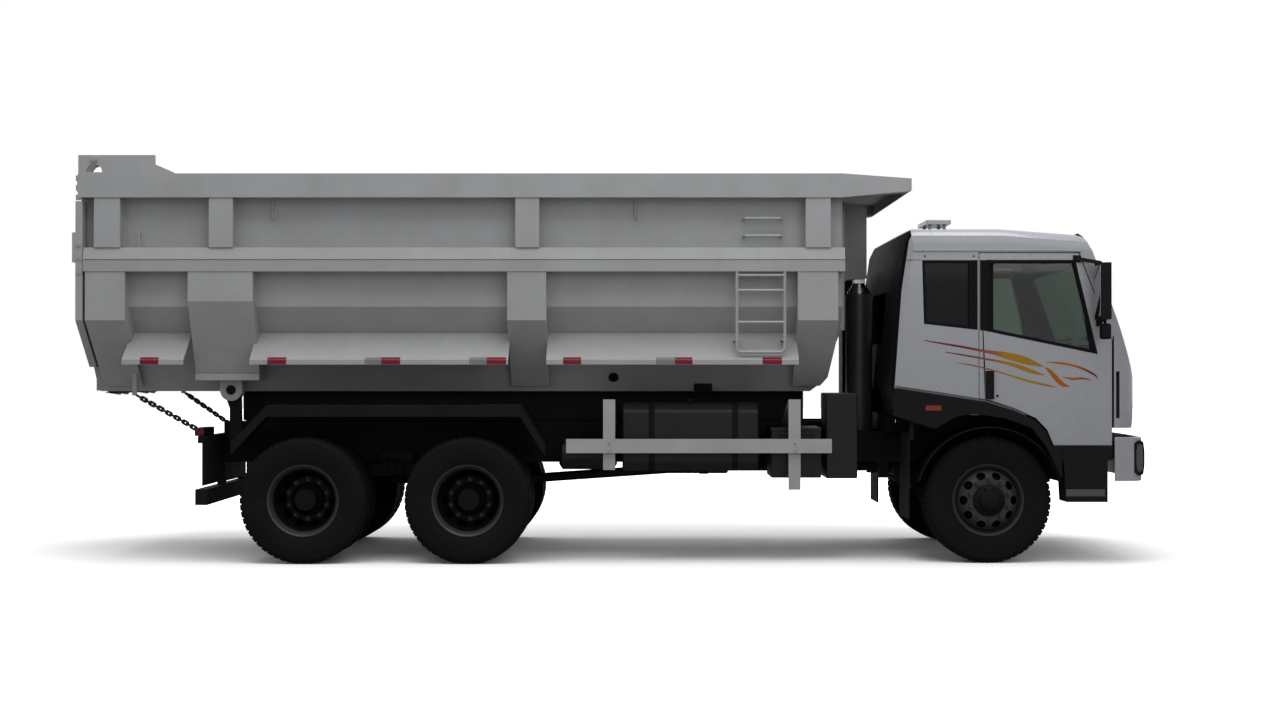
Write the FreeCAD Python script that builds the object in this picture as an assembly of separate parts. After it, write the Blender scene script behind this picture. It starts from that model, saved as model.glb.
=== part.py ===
"""Dump truck with a front hoist: bed, tilting cab, steered front wheels and a twin-wheel bogie.

All sizes are millimetres. X points forward, Y to the left and Z up from the ground the tyres
stand on. The origin is the middle of the truck's length and width, on the ground.
"""
import FreeCAD, Part
import math
import os

V = FreeCAD.Vector

# Overall reach
BODY_HALF_WIDTH = 1250.0
HALF_LENGTH = 4494.0
FRONT_AXLE_X = 3143.0
FRONT_OVERHANG = 1351.0         # from the front axle to the bumper's nose
WHEELBASE = 4350.0
BOGIE_SPREAD = 1370.0
NOSE_X = FRONT_AXLE_X + FRONT_OVERHANG
TAIL_X = NOSE_X - 2 * HALF_LENGTH
MIDDLE_X = NOSE_X - HALF_LENGTH     # the truck's middle, which write() moves to the origin
FORWARD_AXLE_X = FRONT_AXLE_X - WHEELBASE
LAST_AXLE_X = FORWARD_AXLE_X - BOGIE_SPREAD
REAR_AXLE_XS = (FORWARD_AXLE_X, LAST_AXLE_X)
GAP = 5.0                       # running gap between moving bodies
WING_GAP = 18.0                 # gap between the cab or its door and the wing below it
SEAT = 0.3                      # gap of a piece that rests against another body
FIT = 0.1                       # radial clearance of a pin in its hole

# Wheels and axles
AXLE_Z = 527.0                  # tyre radius under load, and height of every axle
TYRE_WIDTH = 280.0
TREAD_WIDTH = 236.0
SIDEWALL_RADIUS = 410.0
BEAD_RADIUS = 286.0
BEAD_WIDTH = 226.0
FLANGE_RADIUS = 299.0
FLANGE_THICKNESS = 12.0
WHEEL_SIDES = 28                # flats round each tyre and rim
HUB_SIDES = 12
FRONT_TRACK_HALF = 1000.0
DUAL_INNER_Y = 775.0
DUAL_SPACING = 320.0
KINGPIN_Y = 880.0
KINGPIN_RADIUS = 24.0
SPINDLE_RADIUS = 45.0
REAR_SPINDLE_RADIUS = 52.0
DRIVE_TUBE_RADIUS = 85.0
DIFF_RADIUS = 225.0

# Chassis frame
FRAME_TOP_Z = 1080.0
FRAME_HEIGHT = 270.0
RAIL_OUTER_Y = 425.0
RAIL_FLANGE = 80.0
RAIL_WEB = 10.0
FRAME_FRONT_X = NOSE_X - 194.0
FRAME_TAIL_X = LAST_AXLE_X - 843.0
SUBFRAME_HEIGHT = 90.0
SUBFRAME_FRONT_X = 2120.0
TAIL_BAR_DEPTH = 70.0
TAIL_BAR_HALF = 1060.0
TAIL_BAR_Z = (1000.0, 1060.0)
UNDERRUN_HALF = 1150.0
UNDERRUN_Z = (486.0, 618.0)

ENGINE_X = (2700.0, 3860.0)
GEARBOX_X = 2480.0
GEARBOX_SHAFT_Z = 752.0
SHAFT_Z = 637.0                 # height of the shafts at the driven axles
SHAFT_RADIUS = 42.0
YOKE_RADIUS = 62.0
BEARING_X = 800.0
BEARING_Z = 750.0
CROSSMEMBER_WIDTH = 90.0
CROSSMEMBER_XS = (LAST_AXLE_X, (LAST_AXLE_X + FORWARD_AXLE_X) / 2, FORWARD_AXLE_X, FORWARD_AXLE_X + 907.0,
                  BEARING_X, 1650.0, 2400.0, 3980.0)

# Tipping bed
TIP_X = LAST_AXLE_X - 685.0
TIP_Z = 1446.0
TIP_PIN_RADIUS = 40.0
TIP_EAR_RADIUS = 76.0
TIP_LUG_Y = 790.0               # middle of the chassis lug
TIP_LUG_THICKNESS = 40.0
TIP_ARM_Z = (1000.0, 1130.0)    # height of the outrigger arm
BED_FRONT_X = 1913.0
BED_TAIL_X = TAIL_X + 51.0
BED_TOP_Z = 3250.0
BED_FLOOR_Z = 1433.0
BED_FLOOR_HALF = 616.0
BED_RAIL_DEPTH = 140.0
BED_WALL_Y = BODY_HALF_WIDTH - BED_RAIL_DEPTH
BED_BEND_Z = 2145.0
BED_PLATE = 12.0
HEADBOARD_BENDS = ((-233.0, 0.0), (-161.0, 57.0), (-85.0, 256.0), (0.0, 507.0))
RIB_FRONT_BENDS = ((-172.0, 0.0), (-75.0, 122.0), (-37.0, 400.0))
RAIL_HEIGHT = 200.0
MID_RAIL_TOP_Z = 2635.0
MID_RAIL_GROOVE = 24.0
RIB_FACE_Y = BODY_HALF_WIDTH - 10.0
RIB_BEND_Z = 2029.0
RIB_FOOT_Y = 700.0
RIB_FOOT_Z = 1480.0
PIVOT_RIB_BEND_Z = 2187.0
PIVOT_RIB_FOOT_Y = 960.0
PIVOT_PLATE_Z = 1529.0
PIVOT_PLATE_HEIGHT = 56.0
MIDDLE_RIB_X = (TIP_X + BED_FRONT_X) / 2 - 39.5
UPPER_STAKES = ((BED_TAIL_X + 131.0, BED_TAIL_X + 347.0), (TIP_X - 95.0, TIP_X + 104.0),
                (MIDDLE_RIB_X - 95.0, MIDDLE_RIB_X + 104.0), (BED_FRONT_X - 307.0, BED_FRONT_X - 99.0))
TAIL_RIB = (BED_TAIL_X + 57.0, BED_TAIL_X + 389.0)
PIVOT_RIB = (TIP_X - 270.0, TIP_X + 270.0)
MIDDLE_RIB = (MIDDLE_RIB_X - 162.0, MIDDLE_RIB_X + 162.0)
FRONT_RIB = (BED_FRONT_X - 373.0, BED_FRONT_X - 37.0)
LOWER_RIBS = (TAIL_RIB, MIDDLE_RIB, FRONT_RIB)
SKIRTS = ((TAIL_RIB[1] - 25.0, PIVOT_RIB[0] - 33.0), (PIVOT_RIB[1] - 25.0, MIDDLE_RIB[0] + 9.0),
          (MIDDLE_RIB[1], FRONT_RIB[0] + 8.0))
SKIRT_ROOT_Z = 1930.0
SKIRT_EDGE_Z = 1702.0
SKIRT_LIP = 42.0
SKIRT_PLATE = 8.0
COLUMN_Y = 620.0                # columns on the headboard's front
COLUMN_DEPTH = 70.0
SILL_OUTER_Y = 425.0
SILL_WIDTH = 80.0
BEARER_START = 400.0
BEARER_PITCH = 780.0
BEARER_DEPTH = 110.0

# Bed ladder
LADDER_BAR = 28.0
LADDER_XS = (BED_FRONT_X - 879.0, BED_FRONT_X - 481.0)
LADDER_FOOT_Z = 1764.0
LADDER_RUNG_ZS = (2403.0, 2278.0, 2013.0)
STAPLE_XS = (LADDER_XS[0] + 66.0, LADDER_XS[1] - 24.0)
STAPLE_ZS = (2880.0, 2735.0)    # the steps above the ladder

# Cab guard
GUARD_FRONT_X = BED_FRONT_X + 573.0
GUARD_ROOT_Z = 3009.0
GUARD_LIP_Z = 3108.0
GUARD_LIP_TOP_Z = 3208.0
GUARD_PLATE = 10.0

# Tailgate
GATE_HINGE_X = BED_TAIL_X + 123.0
GATE_HINGE_Z = 3372.0
GATE_HINGE_Y = BED_WALL_Y - 100.0
GATE_TOP_Z = 3230.0
GATE_FOOT_Z = 1416.0
GATE_PIN_RADIUS = 24.0
GATE_ARM = 40.0
GATE_FLANGE_TOP_Z = 3020.0
GATE_FLANGE_START = 159 / 540   # how far up the ribs' slope the gate's flange starts
GATE_FLANGE_FOOT = (RIB_FOOT_Y + GATE_FLANGE_START * (RIB_FACE_Y - RIB_FOOT_Y), 1642.0)
GATE_FLANGE_X = (BED_TAIL_X - 23.0, BED_TAIL_X + 35.0)
GATE_PLATE = 12.0
GATE_BAR_Z = (2511.0, 2760.0)     # the deep bar across the gate
GATE_LOW_BAR_Z = (2029.0, 2150.0)
GATE_TOP_BAR = 120.0
GATE_POST_YS = (-700.0, 0.0, 700.0)
HINGE_PLATE_Y = BED_WALL_Y + 70.0
HINGE_PLATE_TOP_Z = 3407.0
HINGE_ARCH_RADIUS = 66.0

# Hoist
HOIST_X = BED_FRONT_X + 290.0
HOIST_BASE_Z = 1000.0
HOIST_TOP_Z = 2480.0
HOIST_EYE_RADIUS = 62.0
HOIST_EYE_WIDTH = 110.0
HOIST_PIN_RADIUS = 30.0
HOIST_RADII = (118.0, 102.0, 86.0, 70.0, 54.0)
HOIST_PLAY = 1.0                # radial play between two stages
HOIST_STEP = 26.0               # how far each stage stands out of the last one at rest
HOIST_FOOT_RISE = 75.0
HOIST_SIDES = 20
HOIST_FORK_THICKNESS = 25.0
HOIST_EAR = 30.0

# Cab
CAB_HALF_WIDTH = BODY_HALF_WIDTH - 25.0
CAB_FRONT_X = 4365.0
CAB_REAR_X = 2328.0
CAB_ROOF_Z = 2797.0             # roof at its shoulders
CAB_TOP_Z = 2833.0              # roof in the middle
CAB_SHOULDER = ((0.0, 132.0), (22.0, 62.0), (65.0, 22.0), (130.0, 0.0))
CAB_ROOF_BREAK_X = 3240.0       # where the roof starts to fall towards the windscreen
CAB_ROOF_FALL = 0.075
CAB_REAR_ROUND = ((0.0, 70.0), (21.0, 21.0), (70.0, 0.0))
CAB_LIP_SETBACK = 30.0          # how far the nose's lower edge stands back
CAB_FLOOR_Z = 1240.0
CAB_WALL = 50.0
CAB_SKIN_LIP = 35.0             # depth of the recess that the wing flare fills
CAB_FRONT_LIP_Z = 1133.0
CAB_CORNER_RADIUS = 170.0
CAB_TILT_X = 4250.0
CAB_TILT_Z = 1090.0
CAB_PIN_RADIUS = 28.0
CAB_LUG_Y = 520.0
CAB_LUG_THICKNESS = 40.0
HUMP_HALF_WIDTH = 400.0
HUMP_TOP_Z = 1500.0
HUMP_X = (CAB_REAR_X + 92.0, 3900.0)
HUMP_WALL = 40.0
FOOTWELL_INNER_Y = 640.0
FOOTWELL_X = (3680.0, 4163.0)
DOOR_REAR_X = 3050.0
DOOR_FRONT_X = 4154.0
DOOR_TOP_Z = 2590.0
DOOR_TOP_FRONT_X = DOOR_FRONT_X - 274.0
DOOR_BEND_Z = 1860.0            # where its front edge starts to lean back
DOOR_BOTTOM_Z = 988.0
DOOR_THICKNESS = 50.0
STRIKER_Z = 1500.0
GLASS_THICKNESS = 8.0
WINDOW_BORDER = 60.0
WINDOW_SILL_Z = 1940.0
WINDOW_FALL = 0.207             # slope of the window's sill
HANDLE_Z = (1375.0, 1610.0)
HANDLE_DEPTH = 22.0
QUARTER_FRONT_X = DOOR_REAR_X - 65.0
SCREEN_HALF = CAB_HALF_WIDTH - 135.0
SCREEN_Z = (1760.0, 2500.0)
REAR_WINDOW_HALF = 420.0
REAR_WINDOW_Z = (1850.0, 2300.0)
GRILLE_HALF = CAB_HALF_WIDTH - 345.0
GRILLE_ZS = (1190.0, 1270.0, 1350.0, 1430.0)
GRILLE_SLAT = 34.0
GRILLE_DEPTH = 14.0
SEAT_Y = 640.0
DASH_HALF = CAB_HALF_WIDTH - 165.0
DASH_FOOT_RISE = 320.0
WHEEL_CENTRE = (3800.0, 1860.0) # the steering wheel's place
WHEEL_TILT = -48.0
WHEEL_RADII = (202.0, 230.0)
HATCH_X = (2772.0, 2992.0)
HATCH_HALF_WIDTH = 240.0
HATCH_HEIGHT = 118.0
MIRROR_HEAD_X = (3990.0, 4075.0)
MIRROR_HEAD_OUT = (75.0, 285.0)
MIRROR_HEAD_Z = (2030.0, 2495.0)
MIRROR_ARM = 28.0
MIRROR_FOOT = 14.0              # thickness of the pads that carry the mirror arms

# Wings, steps and bumper
ARCH_RADIUS = 605.0
LINER_THICKNESS = 12.0
LINER_INNER_Y = 700.0
FLARE_OUTER_Y = CAB_HALF_WIDTH + 20.0
STEP_INNER_Y = FLARE_OUTER_Y - 245.0
SILL_REAR_X = 3735.0
STEP_REAR_X = 3745.0
STEP_FRONT_X = 4113.0
STEP_BOTTOM_Z = 518.0
STEP_TOP_Z = 866.0
BUMPER_TOP_Z = 1058.0
BUMPER_BOTTOM_Z = 693.0
BUMPER_END_X = NOSE_X - 323.0
BUMPER_CORNER_X = NOSE_X - 74.0
BUMPER_WALL = 25.0
BUMPER_BRACKET_Z = (840.0, 1000.0)
LAMP_INNER_Y = 880.0
LAMP_REAR_X = NOSE_X - 161.0
LAMP_Z = (760.0, 1010.0)
TAIL_LAMP_Y = (690.0, 1050.0)
TAIL_LAMP_HEIGHT = 70.0

# Equipment along the frame
FLAP_THICKNESS = 12.0
LEAF_THICKNESS = 22.0
LEAF_SHORTER = 0.17             # share of the span by which each leaf is shorter
FRONT_FLAP_X = 2474.0
CHAIN_TOP = (BED_TAIL_X + 372.0, 800.0, 1395.0)
CHAIN_FOOT = (FRAME_TAIL_X - 100.0, 600.0, 1050.0)
CHAIN_INNER = 60.0
CHAIN_WIRE = 12.0
TANK_X = (FORWARD_AXLE_X + 1286.0, 1224.0)
TANK_Z = (770.0, 1340.0)
TANK_Y = (520.0, BODY_HALF_WIDTH - 130.0)
TANK_CHAMFER = 70.0
BRACKET_REACH_Y = 560.0         # outer end of the brackets that carry boxes beside the frame
BATTERY_X = (1330.0, 1750.0)
BATTERY_OUTER_Y = BODY_HALF_WIDTH - 170.0
BATTERY_Z = (710.0, 1120.0)
OIL_TANK_X = (1800.0, 2065.0)
OIL_TANK_OUTER_Y = BODY_HALF_WIDTH - 250.0
OIL_TANK_Z = (700.0, 1420.0)
AIR_TANK_Y = 640.0
AIR_TANK_DOME = 30.0
AIR_DRUM_X = (FORWARD_AXLE_X + 1347.0, 1040.0)
AIR_DRUM_ZS = (760.0, 1010.0)
AIR_DRUM_RADII = (70.0, 110.0)
AIR_DRUM_HANGERS = (19 / 90, 76 / 90)  # shares of the drums' length
SINGLE_TANK_X = FORWARD_AXLE_X + 767.0
SINGLE_TANK_LENGTH = 440.0
SINGLE_TANK_Z = 885.0
SINGLE_TANK_RADII = (80.0, 125.0)
SILENCER_X = (1330.0, 1900.0)
SILENCER_Y = (520.0, 900.0)
SILENCER_Z = (700.0, 1020.0)
TAILPIPE_RADIUS = 50.0
INTAKE_DUCT_X = (2140.0, 2290.0)
INTAKE_DUCT_Y = (760.0, 1060.0)
INTAKE_TOP_Z = 2560.0
CANISTER_X = (2010.0, 2300.0)
CANISTER_OUTER_Y = 1100.0
CANISTER_Z = (900.0, 1180.0)
GUARD_RAIL_Z = (925.0, 1042.0)
GUARD_RAIL_X = (FORWARD_AXLE_X + 821.0, 1822.0)
GUARD_POST_XS = (GUARD_RAIL_X[0] + 357.0, GUARD_RAIL_X[1] - 307.0)
GUARD_POST_FEET = (784.0, 618.0)
GUARD_POST_HALF = 50.0
GUARD_RAIL_DEPTH = 30.0
MUDGUARD_TOP_Z = 1325.0
MUDGUARD_FOOT_Z = (1008.0, 992.0)  # lower edges behind the last and ahead of the forward wheels
MUDGUARD_PLATE = 14.0
MUDGUARD_LIP = 100.0
MUDGUARD_Y = (DUAL_INNER_Y - 135.0, DUAL_INNER_Y + DUAL_SPACING + TYRE_WIDTH / 2 + GAP)
MUDGUARD_STAY_XS = (LAST_AXLE_X + 77.0, FORWARD_AXLE_X + 57.0)
REAR_FLAP_Z = (651.0, 1050.0)
FRONT_FLAP_Z = (369.0, 1090.0)
FRONT_FLAP_Y = (LINER_INNER_Y, CAB_HALF_WIDTH - CAB_SKIN_LIP)


def box(x0, x1, y0, y1, z0, z1):
    """Box between two corners."""
    return Part.makeBox(x1 - x0, y1 - y0, z1 - z0, V(x0, y0, z0))


def polygon_face(points):
    """Flat face inside a closed outline."""
    return Part.Face(Part.makePolygon(list(points) + [points[0]]))


def prism_x(points, x0, x1):
    """Outline of (y, z) points drawn along X."""
    return polygon_face([V(x0, y, z) for y, z in points]).extrude(V(x1 - x0, 0, 0))


def prism_y(points, y0, y1):
    """Outline of (x, z) points drawn along Y."""
    return polygon_face([V(x, y0, z) for x, z in points]).extrude(V(0, y1 - y0, 0))


def prism_z(points, z0, z1):
    """Outline of (x, y) points drawn along Z."""
    return polygon_face([V(x, y, z0) for x, y in points]).extrude(V(0, 0, z1 - z0))


def rod(start, end, radius):
    """Round bar from one point to another."""
    run = end - start
    return Part.makeCylinder(radius, run.Length, start, run)


def square_bar(start, end, width):
    """Bar of square section between two points."""
    run = end - start
    across = run.cross(V(0, 1, 0))
    if across.Length < 1e-6:
        across = V(0, 0, 1)
    across.normalize()
    other = run.cross(across)
    other.normalize()
    half = width / 2
    ring = [start + across * (half * a) + other * (half * b) for a, b in ((1, 1), (1, -1), (-1, -1), (-1, 1))]
    return polygon_face(ring).extrude(run)


def mirrored(shape):
    """The same piece on the truck's other side."""
    return shape.mirror(V(0, 0, 0), V(0, 1, 0))


def both(shape):
    """A piece and its mirror image."""
    return [shape, mirrored(shape)]


def fused(shapes):
    """One solid from several that touch or overlap."""
    shapes = list(shapes)
    return shapes[0].multiFuse(shapes[1:]).removeSplitter()


def ring_points(radius, along, sides, axis):
    """Corners of a flat-sided ring about Y or Z, with a flat at its lowest point."""
    reach = radius / math.cos(math.pi / sides)
    points = []
    for i in range(sides):
        turn = 2 * math.pi * (i + 0.5) / sides - math.pi / 2
        a, b = reach * math.cos(turn), reach * math.sin(turn)
        points.append(V(a, along, b) if axis == "y" else V(a, b, along))
    return points


def turned(profile, sides, axis="y", ring=False):
    """Flat-sided turned solid through (radius, distance along the axis) pairs, or a closed ring."""
    rings = [ring_points(r, along, sides, axis) for r, along in profile]
    pairs = list(zip(rings, rings[1:]))
    if ring:
        pairs.append((rings[-1], rings[0]))
        faces = []
    else:
        faces = [polygon_face(rings[0]), polygon_face(rings[-1])]
    for first, second in pairs:
        for i in range(sides):
            j = (i + 1) % sides
            faces.append(polygon_face([first[i], first[j], second[j], second[i]]))
    solid = Part.Solid(Part.Shell(faces))
    if solid.Volume < 0:
        solid.reverse()
    return solid


def at(shape, x, y, z):
    """A copy moved by a vector."""
    moved = shape.copy()
    moved.translate(V(x, y, z))
    return moved


def write(name, shapes):
    """One STEP file for a sub-part made of one or more solids."""
    solids = [s for shape in shapes for s in shape.Solids]
    shape = solids[0] if len(solids) == 1 else Part.makeCompound(solids)
    at(shape, -MIDDLE_X, 0, 0).exportStep("parts/" + name + ".step")


def line_at(points, x):
    """Height of an open outline of (x, z) points at x."""
    for (xa, za), (xb, zb) in zip(points, points[1:]):
        if min(xa, xb) <= x <= max(xa, xb):
            return za + (zb - za) * (x - xa) / (xb - xa)
    return points[-1][1]


# Wheels


def tyre():
    """Tyre about the Y axis, its middle at the origin."""
    bead = BEAD_RADIUS + SEAT
    half = [(bead, BEAD_WIDTH / 2), (FLANGE_RADIUS + 1.0, BEAD_WIDTH / 2), (SIDEWALL_RADIUS, TYRE_WIDTH / 2),
            (AXLE_Z, TREAD_WIDTH / 2)]
    return turned([(r, -y) for r, y in half] + half[::-1], WHEEL_SIDES, ring=True)


def front_rim():
    """Left front rim with its bulged disc, drum and hub, about the Y axis at the tyre's middle."""
    half = BEAD_WIDTH / 2
    face = half + FLANGE_THICKNESS
    outer = [(BEAD_RADIUS, -half), (BEAD_RADIUS, half + SEAT), (FLANGE_RADIUS, half + SEAT),
             (FLANGE_RADIUS, face)]
    body = turned(outer, WHEEL_SIDES)
    dish = turned([(262.0, face), (236.0, 84.0)], HUB_SIDES)
    back = turned([(262.0, -half), (222.0, 50.0)], HUB_SIDES)
    hub = turned([(165.0, 84.0), (152.0, 168.0), (84.0, 184.0), (78.0, 214.0)], HUB_SIDES)
    drum = turned([(205.0, -10.0), (205.0, 50.0)], HUB_SIDES)
    rim = fused([body.cut(dish).cut(back), hub, drum])
    return rim.cut(turned([(SPINDLE_RADIUS + FIT, -30.0), (SPINDLE_RADIUS + FIT, 160.0)], HUB_SIDES))


def rear_rims():
    """Left pair of rims bolted back to back, with hub and drum, at the inner tyre's middle."""
    half = BEAD_WIDTH / 2
    lip = DUAL_SPACING + half + SEAT
    face = DUAL_SPACING + half + FLANGE_THICKNESS
    body = turned([(BEAD_RADIUS, -half), (BEAD_RADIUS, lip), (FLANGE_RADIUS, lip), (FLANGE_RADIUS, face)],
                  WHEEL_SIDES)
    disc = DUAL_SPACING - 118.0
    dish = turned([(264.0, face), (240.0, disc)], HUB_SIDES)
    hub = turned([(168.0, disc), (150.0, disc + 78.0), (96.0, disc + 104.0), (90.0, disc + 142.0)], HUB_SIDES)
    rim = fused([body.cut(dish), hub])
    bore = REAR_SPINDLE_RADIUS + FIT
    return rim.cut(turned([(bore, -half - 1.0), (bore, -half + 130.0)], HUB_SIDES))


def make_wheels():
    """Every tyre and rim, one pair of files for each wheel body."""
    one = tyre()
    left_rim = front_rim()
    for side, name in ((1, "left"), (-1, "right")):
        place = (FRONT_AXLE_X, side * FRONT_TRACK_HALF, AXLE_Z)
        write("tyre_front_" + name, [at(one, *place)])
        rim = at(left_rim, FRONT_AXLE_X, FRONT_TRACK_HALF, AXLE_Z)
        write("rim_front_" + name, [rim if side > 0 else mirrored(rim)])
    pair = rear_rims()
    for number, axle_x in enumerate(REAR_AXLE_XS, 1):
        for side, name in ((1, "left"), (-1, "right")):
            ys = (DUAL_INNER_Y, DUAL_INNER_Y + DUAL_SPACING)
            write("tyres_rear%d_%s" % (number, name), [at(one, axle_x, side * y, AXLE_Z) for y in ys])
            rims = at(pair, axle_x, DUAL_INNER_Y, AXLE_Z)
            write("rims_rear%d_%s" % (number, name), [rims if side > 0 else mirrored(rims)])


# Front axle and steering

EYE_HALF = 55.0                 # half height of the axle's eye for the kingpin
EAR_HEIGHT = 40.0
BEAM_WIDTH = 96.0


def make_front_axle():
    """Dropped I-beam with a bored eye at each end."""
    lower = [(0.0, 395.0), (480.0, 395.0), (690.0, AXLE_Z - EYE_HALF), (KINGPIN_Y, AXLE_Z - EYE_HALF)]
    upper = [(KINGPIN_Y, AXLE_Z + EYE_HALF), (700.0, AXLE_Z + EYE_HALF), (480.0, 490.0), (0.0, 490.0)]
    half_beam = prism_x(lower + upper, FRONT_AXLE_X - BEAM_WIDTH / 2, FRONT_AXLE_X + BEAM_WIDTH / 2)
    foot = V(FRONT_AXLE_X, KINGPIN_Y, AXLE_Z - EYE_HALF)
    eye = Part.makeCylinder(BEAM_WIDTH / 2, 2 * EYE_HALF, foot)
    hole = Part.makeCylinder(KINGPIN_RADIUS + FIT, 2 * EYE_HALF, foot)
    half = fused([half_beam, eye]).cut(hole)
    write("front_axle", [fused([half, mirrored(half)])])


def knuckle():
    """Left steering knuckle: kingpin, two ears, spindle and steering arm."""
    x, z = FRONT_AXLE_X, AXLE_Z
    reach = EYE_HALF + GAP
    pin = Part.makeCylinder(KINGPIN_RADIUS, 2 * (reach + EAR_HEIGHT), V(x, KINGPIN_Y, z - reach - EAR_HEIGHT))
    web_y = KINGPIN_Y + BEAM_WIDTH / 2 + GAP
    parts = [pin]
    for low in (z + reach, z - reach - EAR_HEIGHT):
        parts.append(box(x - 45.0, x + 45.0, KINGPIN_Y - 42.0, web_y + 30.0, low, low + EAR_HEIGHT))
    parts.append(box(x - 60.0, x + 60.0, web_y, web_y + 30.0, z - reach - EAR_HEIGHT, z + reach + EAR_HEIGHT))
    parts.append(Part.makeCylinder(SPINDLE_RADIUS, 154.0, V(x, web_y + 30.0, z), V(0, 1, 0)))
    low = z - reach - EAR_HEIGHT
    parts.append(prism_z([(x - 40.0, 850.0), (x - 40.0, 900.0), (x - 230.0, 850.0), (x - 230.0, 800.0)],
                         low, low + 30.0))
    return fused(parts)


def make_knuckles():
    """Both steering knuckles."""
    left = knuckle()
    write("knuckle_left", [left])
    write("knuckle_right", [mirrored(left)])


# Chassis

FRAME_BOTTOM_Z = FRAME_TOP_Z - FRAME_HEIGHT
SUBFRAME_TOP_Z = FRAME_TOP_Z + SUBFRAME_HEIGHT
RAIL_INNER_Y = RAIL_OUTER_Y - RAIL_FLANGE
TAIL_BAR_X = FRAME_TAIL_X - TAIL_BAR_DEPTH
TAIL_LEG_SETBACK = 10.0


def channel(z0, z1, x0, x1):
    """Left channel rail, open towards the middle."""
    outer, inner, web = RAIL_OUTER_Y, RAIL_INNER_Y, RAIL_WEB
    outline = [
        (outer, z0), (outer, z1), (inner, z1), (inner, z1 - web),
        (outer - web, z1 - web), (outer - web, z0 + web), (inner, z0 + web), (inner, z0),
    ]
    return prism_x(outline, x0, x1)


def make_tip_brackets():
    """Outriggers with the lugs and pins that the bed turns on."""
    y0 = TIP_LUG_Y - TIP_LUG_THICKNESS / 2
    y1 = TIP_LUG_Y + TIP_LUG_THICKNESS / 2
    low, high = TIP_ARM_Z
    rear, front = TIP_X - 20.0, TIP_X + 84.0
    arm = box(rear, front, RAIL_OUTER_Y, y1, low, high)
    neck = [(rear, low), (front, low), (front, high), (TIP_X + TIP_EAR_RADIUS, TIP_Z),
            (TIP_X - TIP_EAR_RADIUS, TIP_Z),
            (rear, TIP_Z - 2 * TIP_EAR_RADIUS)]
    lug = prism_y(neck, y0, y1)
    cap = Part.makeCylinder(TIP_EAR_RADIUS, TIP_LUG_THICKNESS, V(TIP_X, y0, TIP_Z), V(0, 1, 0))
    pin = Part.makeCylinder(TIP_PIN_RADIUS, TIP_LUG_THICKNESS + 90.0, V(TIP_X, y0 - 45.0, TIP_Z), V(0, 1, 0))
    write("tip_brackets", both(fused([arm, lug, cap, pin])))


def cab_bracket():
    """Left front bracket and pin that the cab tilts on."""
    y0, y1 = RAIL_OUTER_Y, CAB_LUG_Y - CAB_LUG_THICKNESS / 2 - SEAT
    outline = [(CAB_TILT_X - 90.0, FRAME_BOTTOM_Z + 60.0), (CAB_TILT_X + 50.0, FRAME_BOTTOM_Z + 60.0),
               (CAB_TILT_X + 42.0, CAB_TILT_Z), (CAB_TILT_X, CAB_TILT_Z + 42.0),
               (CAB_TILT_X - 42.0, CAB_TILT_Z)]
    plate = prism_y(outline, y0, y1)
    pin_end = CAB_LUG_Y + CAB_LUG_THICKNESS / 2 + SEAT
    pin = Part.makeCylinder(CAB_PIN_RADIUS, pin_end - y0, V(CAB_TILT_X, y0, CAB_TILT_Z), V(0, 1, 0))
    return fused([plate, pin])


def hoist_mount():
    """Cross beam between the rails with two ears and the pin for the hoist's foot."""
    inner = RAIL_OUTER_Y - RAIL_WEB
    half = HOIST_EYE_WIDTH / 2
    beam_top = FRAME_BOTTOM_Z + 110.0
    parts = [box(HOIST_X - 150.0, HOIST_X + 90.0, -inner, inner, FRAME_BOTTOM_Z + RAIL_WEB, beam_top)]
    reach = HOIST_FOOT_RISE - 15.0
    outline = [(HOIST_X - 80.0, beam_top), (HOIST_X + 80.0, beam_top), (HOIST_X + reach, HOIST_BASE_Z),
               (HOIST_X + reach * 0.7, HOIST_BASE_Z + reach * 0.7),
               (HOIST_X - reach * 0.7, HOIST_BASE_Z + reach * 0.7),
               (HOIST_X - reach, HOIST_BASE_Z)]
    ear = prism_y(outline, half + GAP, half + GAP + HOIST_EAR)
    parts.extend(both(ear))
    pin_half = half + GAP + HOIST_EAR
    parts.append(Part.makeCylinder(HOIST_PIN_RADIUS, 2 * pin_half, V(HOIST_X, -pin_half, HOIST_BASE_Z),
                                   V(0, 1, 0)))
    return fused(parts)


def tail_carrier():
    """Cross bar for lamps and chains at the tail, and the underrun bar on its two legs."""
    leg_foot, leg_top = UNDERRUN_Z[1], TAIL_BAR_Z[0]
    bar = box(TAIL_BAR_X, FRAME_TAIL_X, 0.0, TAIL_BAR_HALF, *TAIL_BAR_Z)
    leg = box(TAIL_BAR_X + TAIL_LEG_SETBACK, FRAME_TAIL_X, RAIL_INNER_Y, RAIL_OUTER_Y, leg_foot, leg_top)
    underrun = box(TAIL_BAR_X, FRAME_TAIL_X + 30.0, 0.0, UNDERRUN_HALF, *UNDERRUN_Z)
    plate = box(FRAME_TAIL_X - 20.0, FRAME_TAIL_X, 0.0, RAIL_INNER_Y, leg_foot + 22.0, leg_top)
    return fused([s for half in (bar, leg, underrun, plate, chain_lug("foot")) for s in both(half)])


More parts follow.
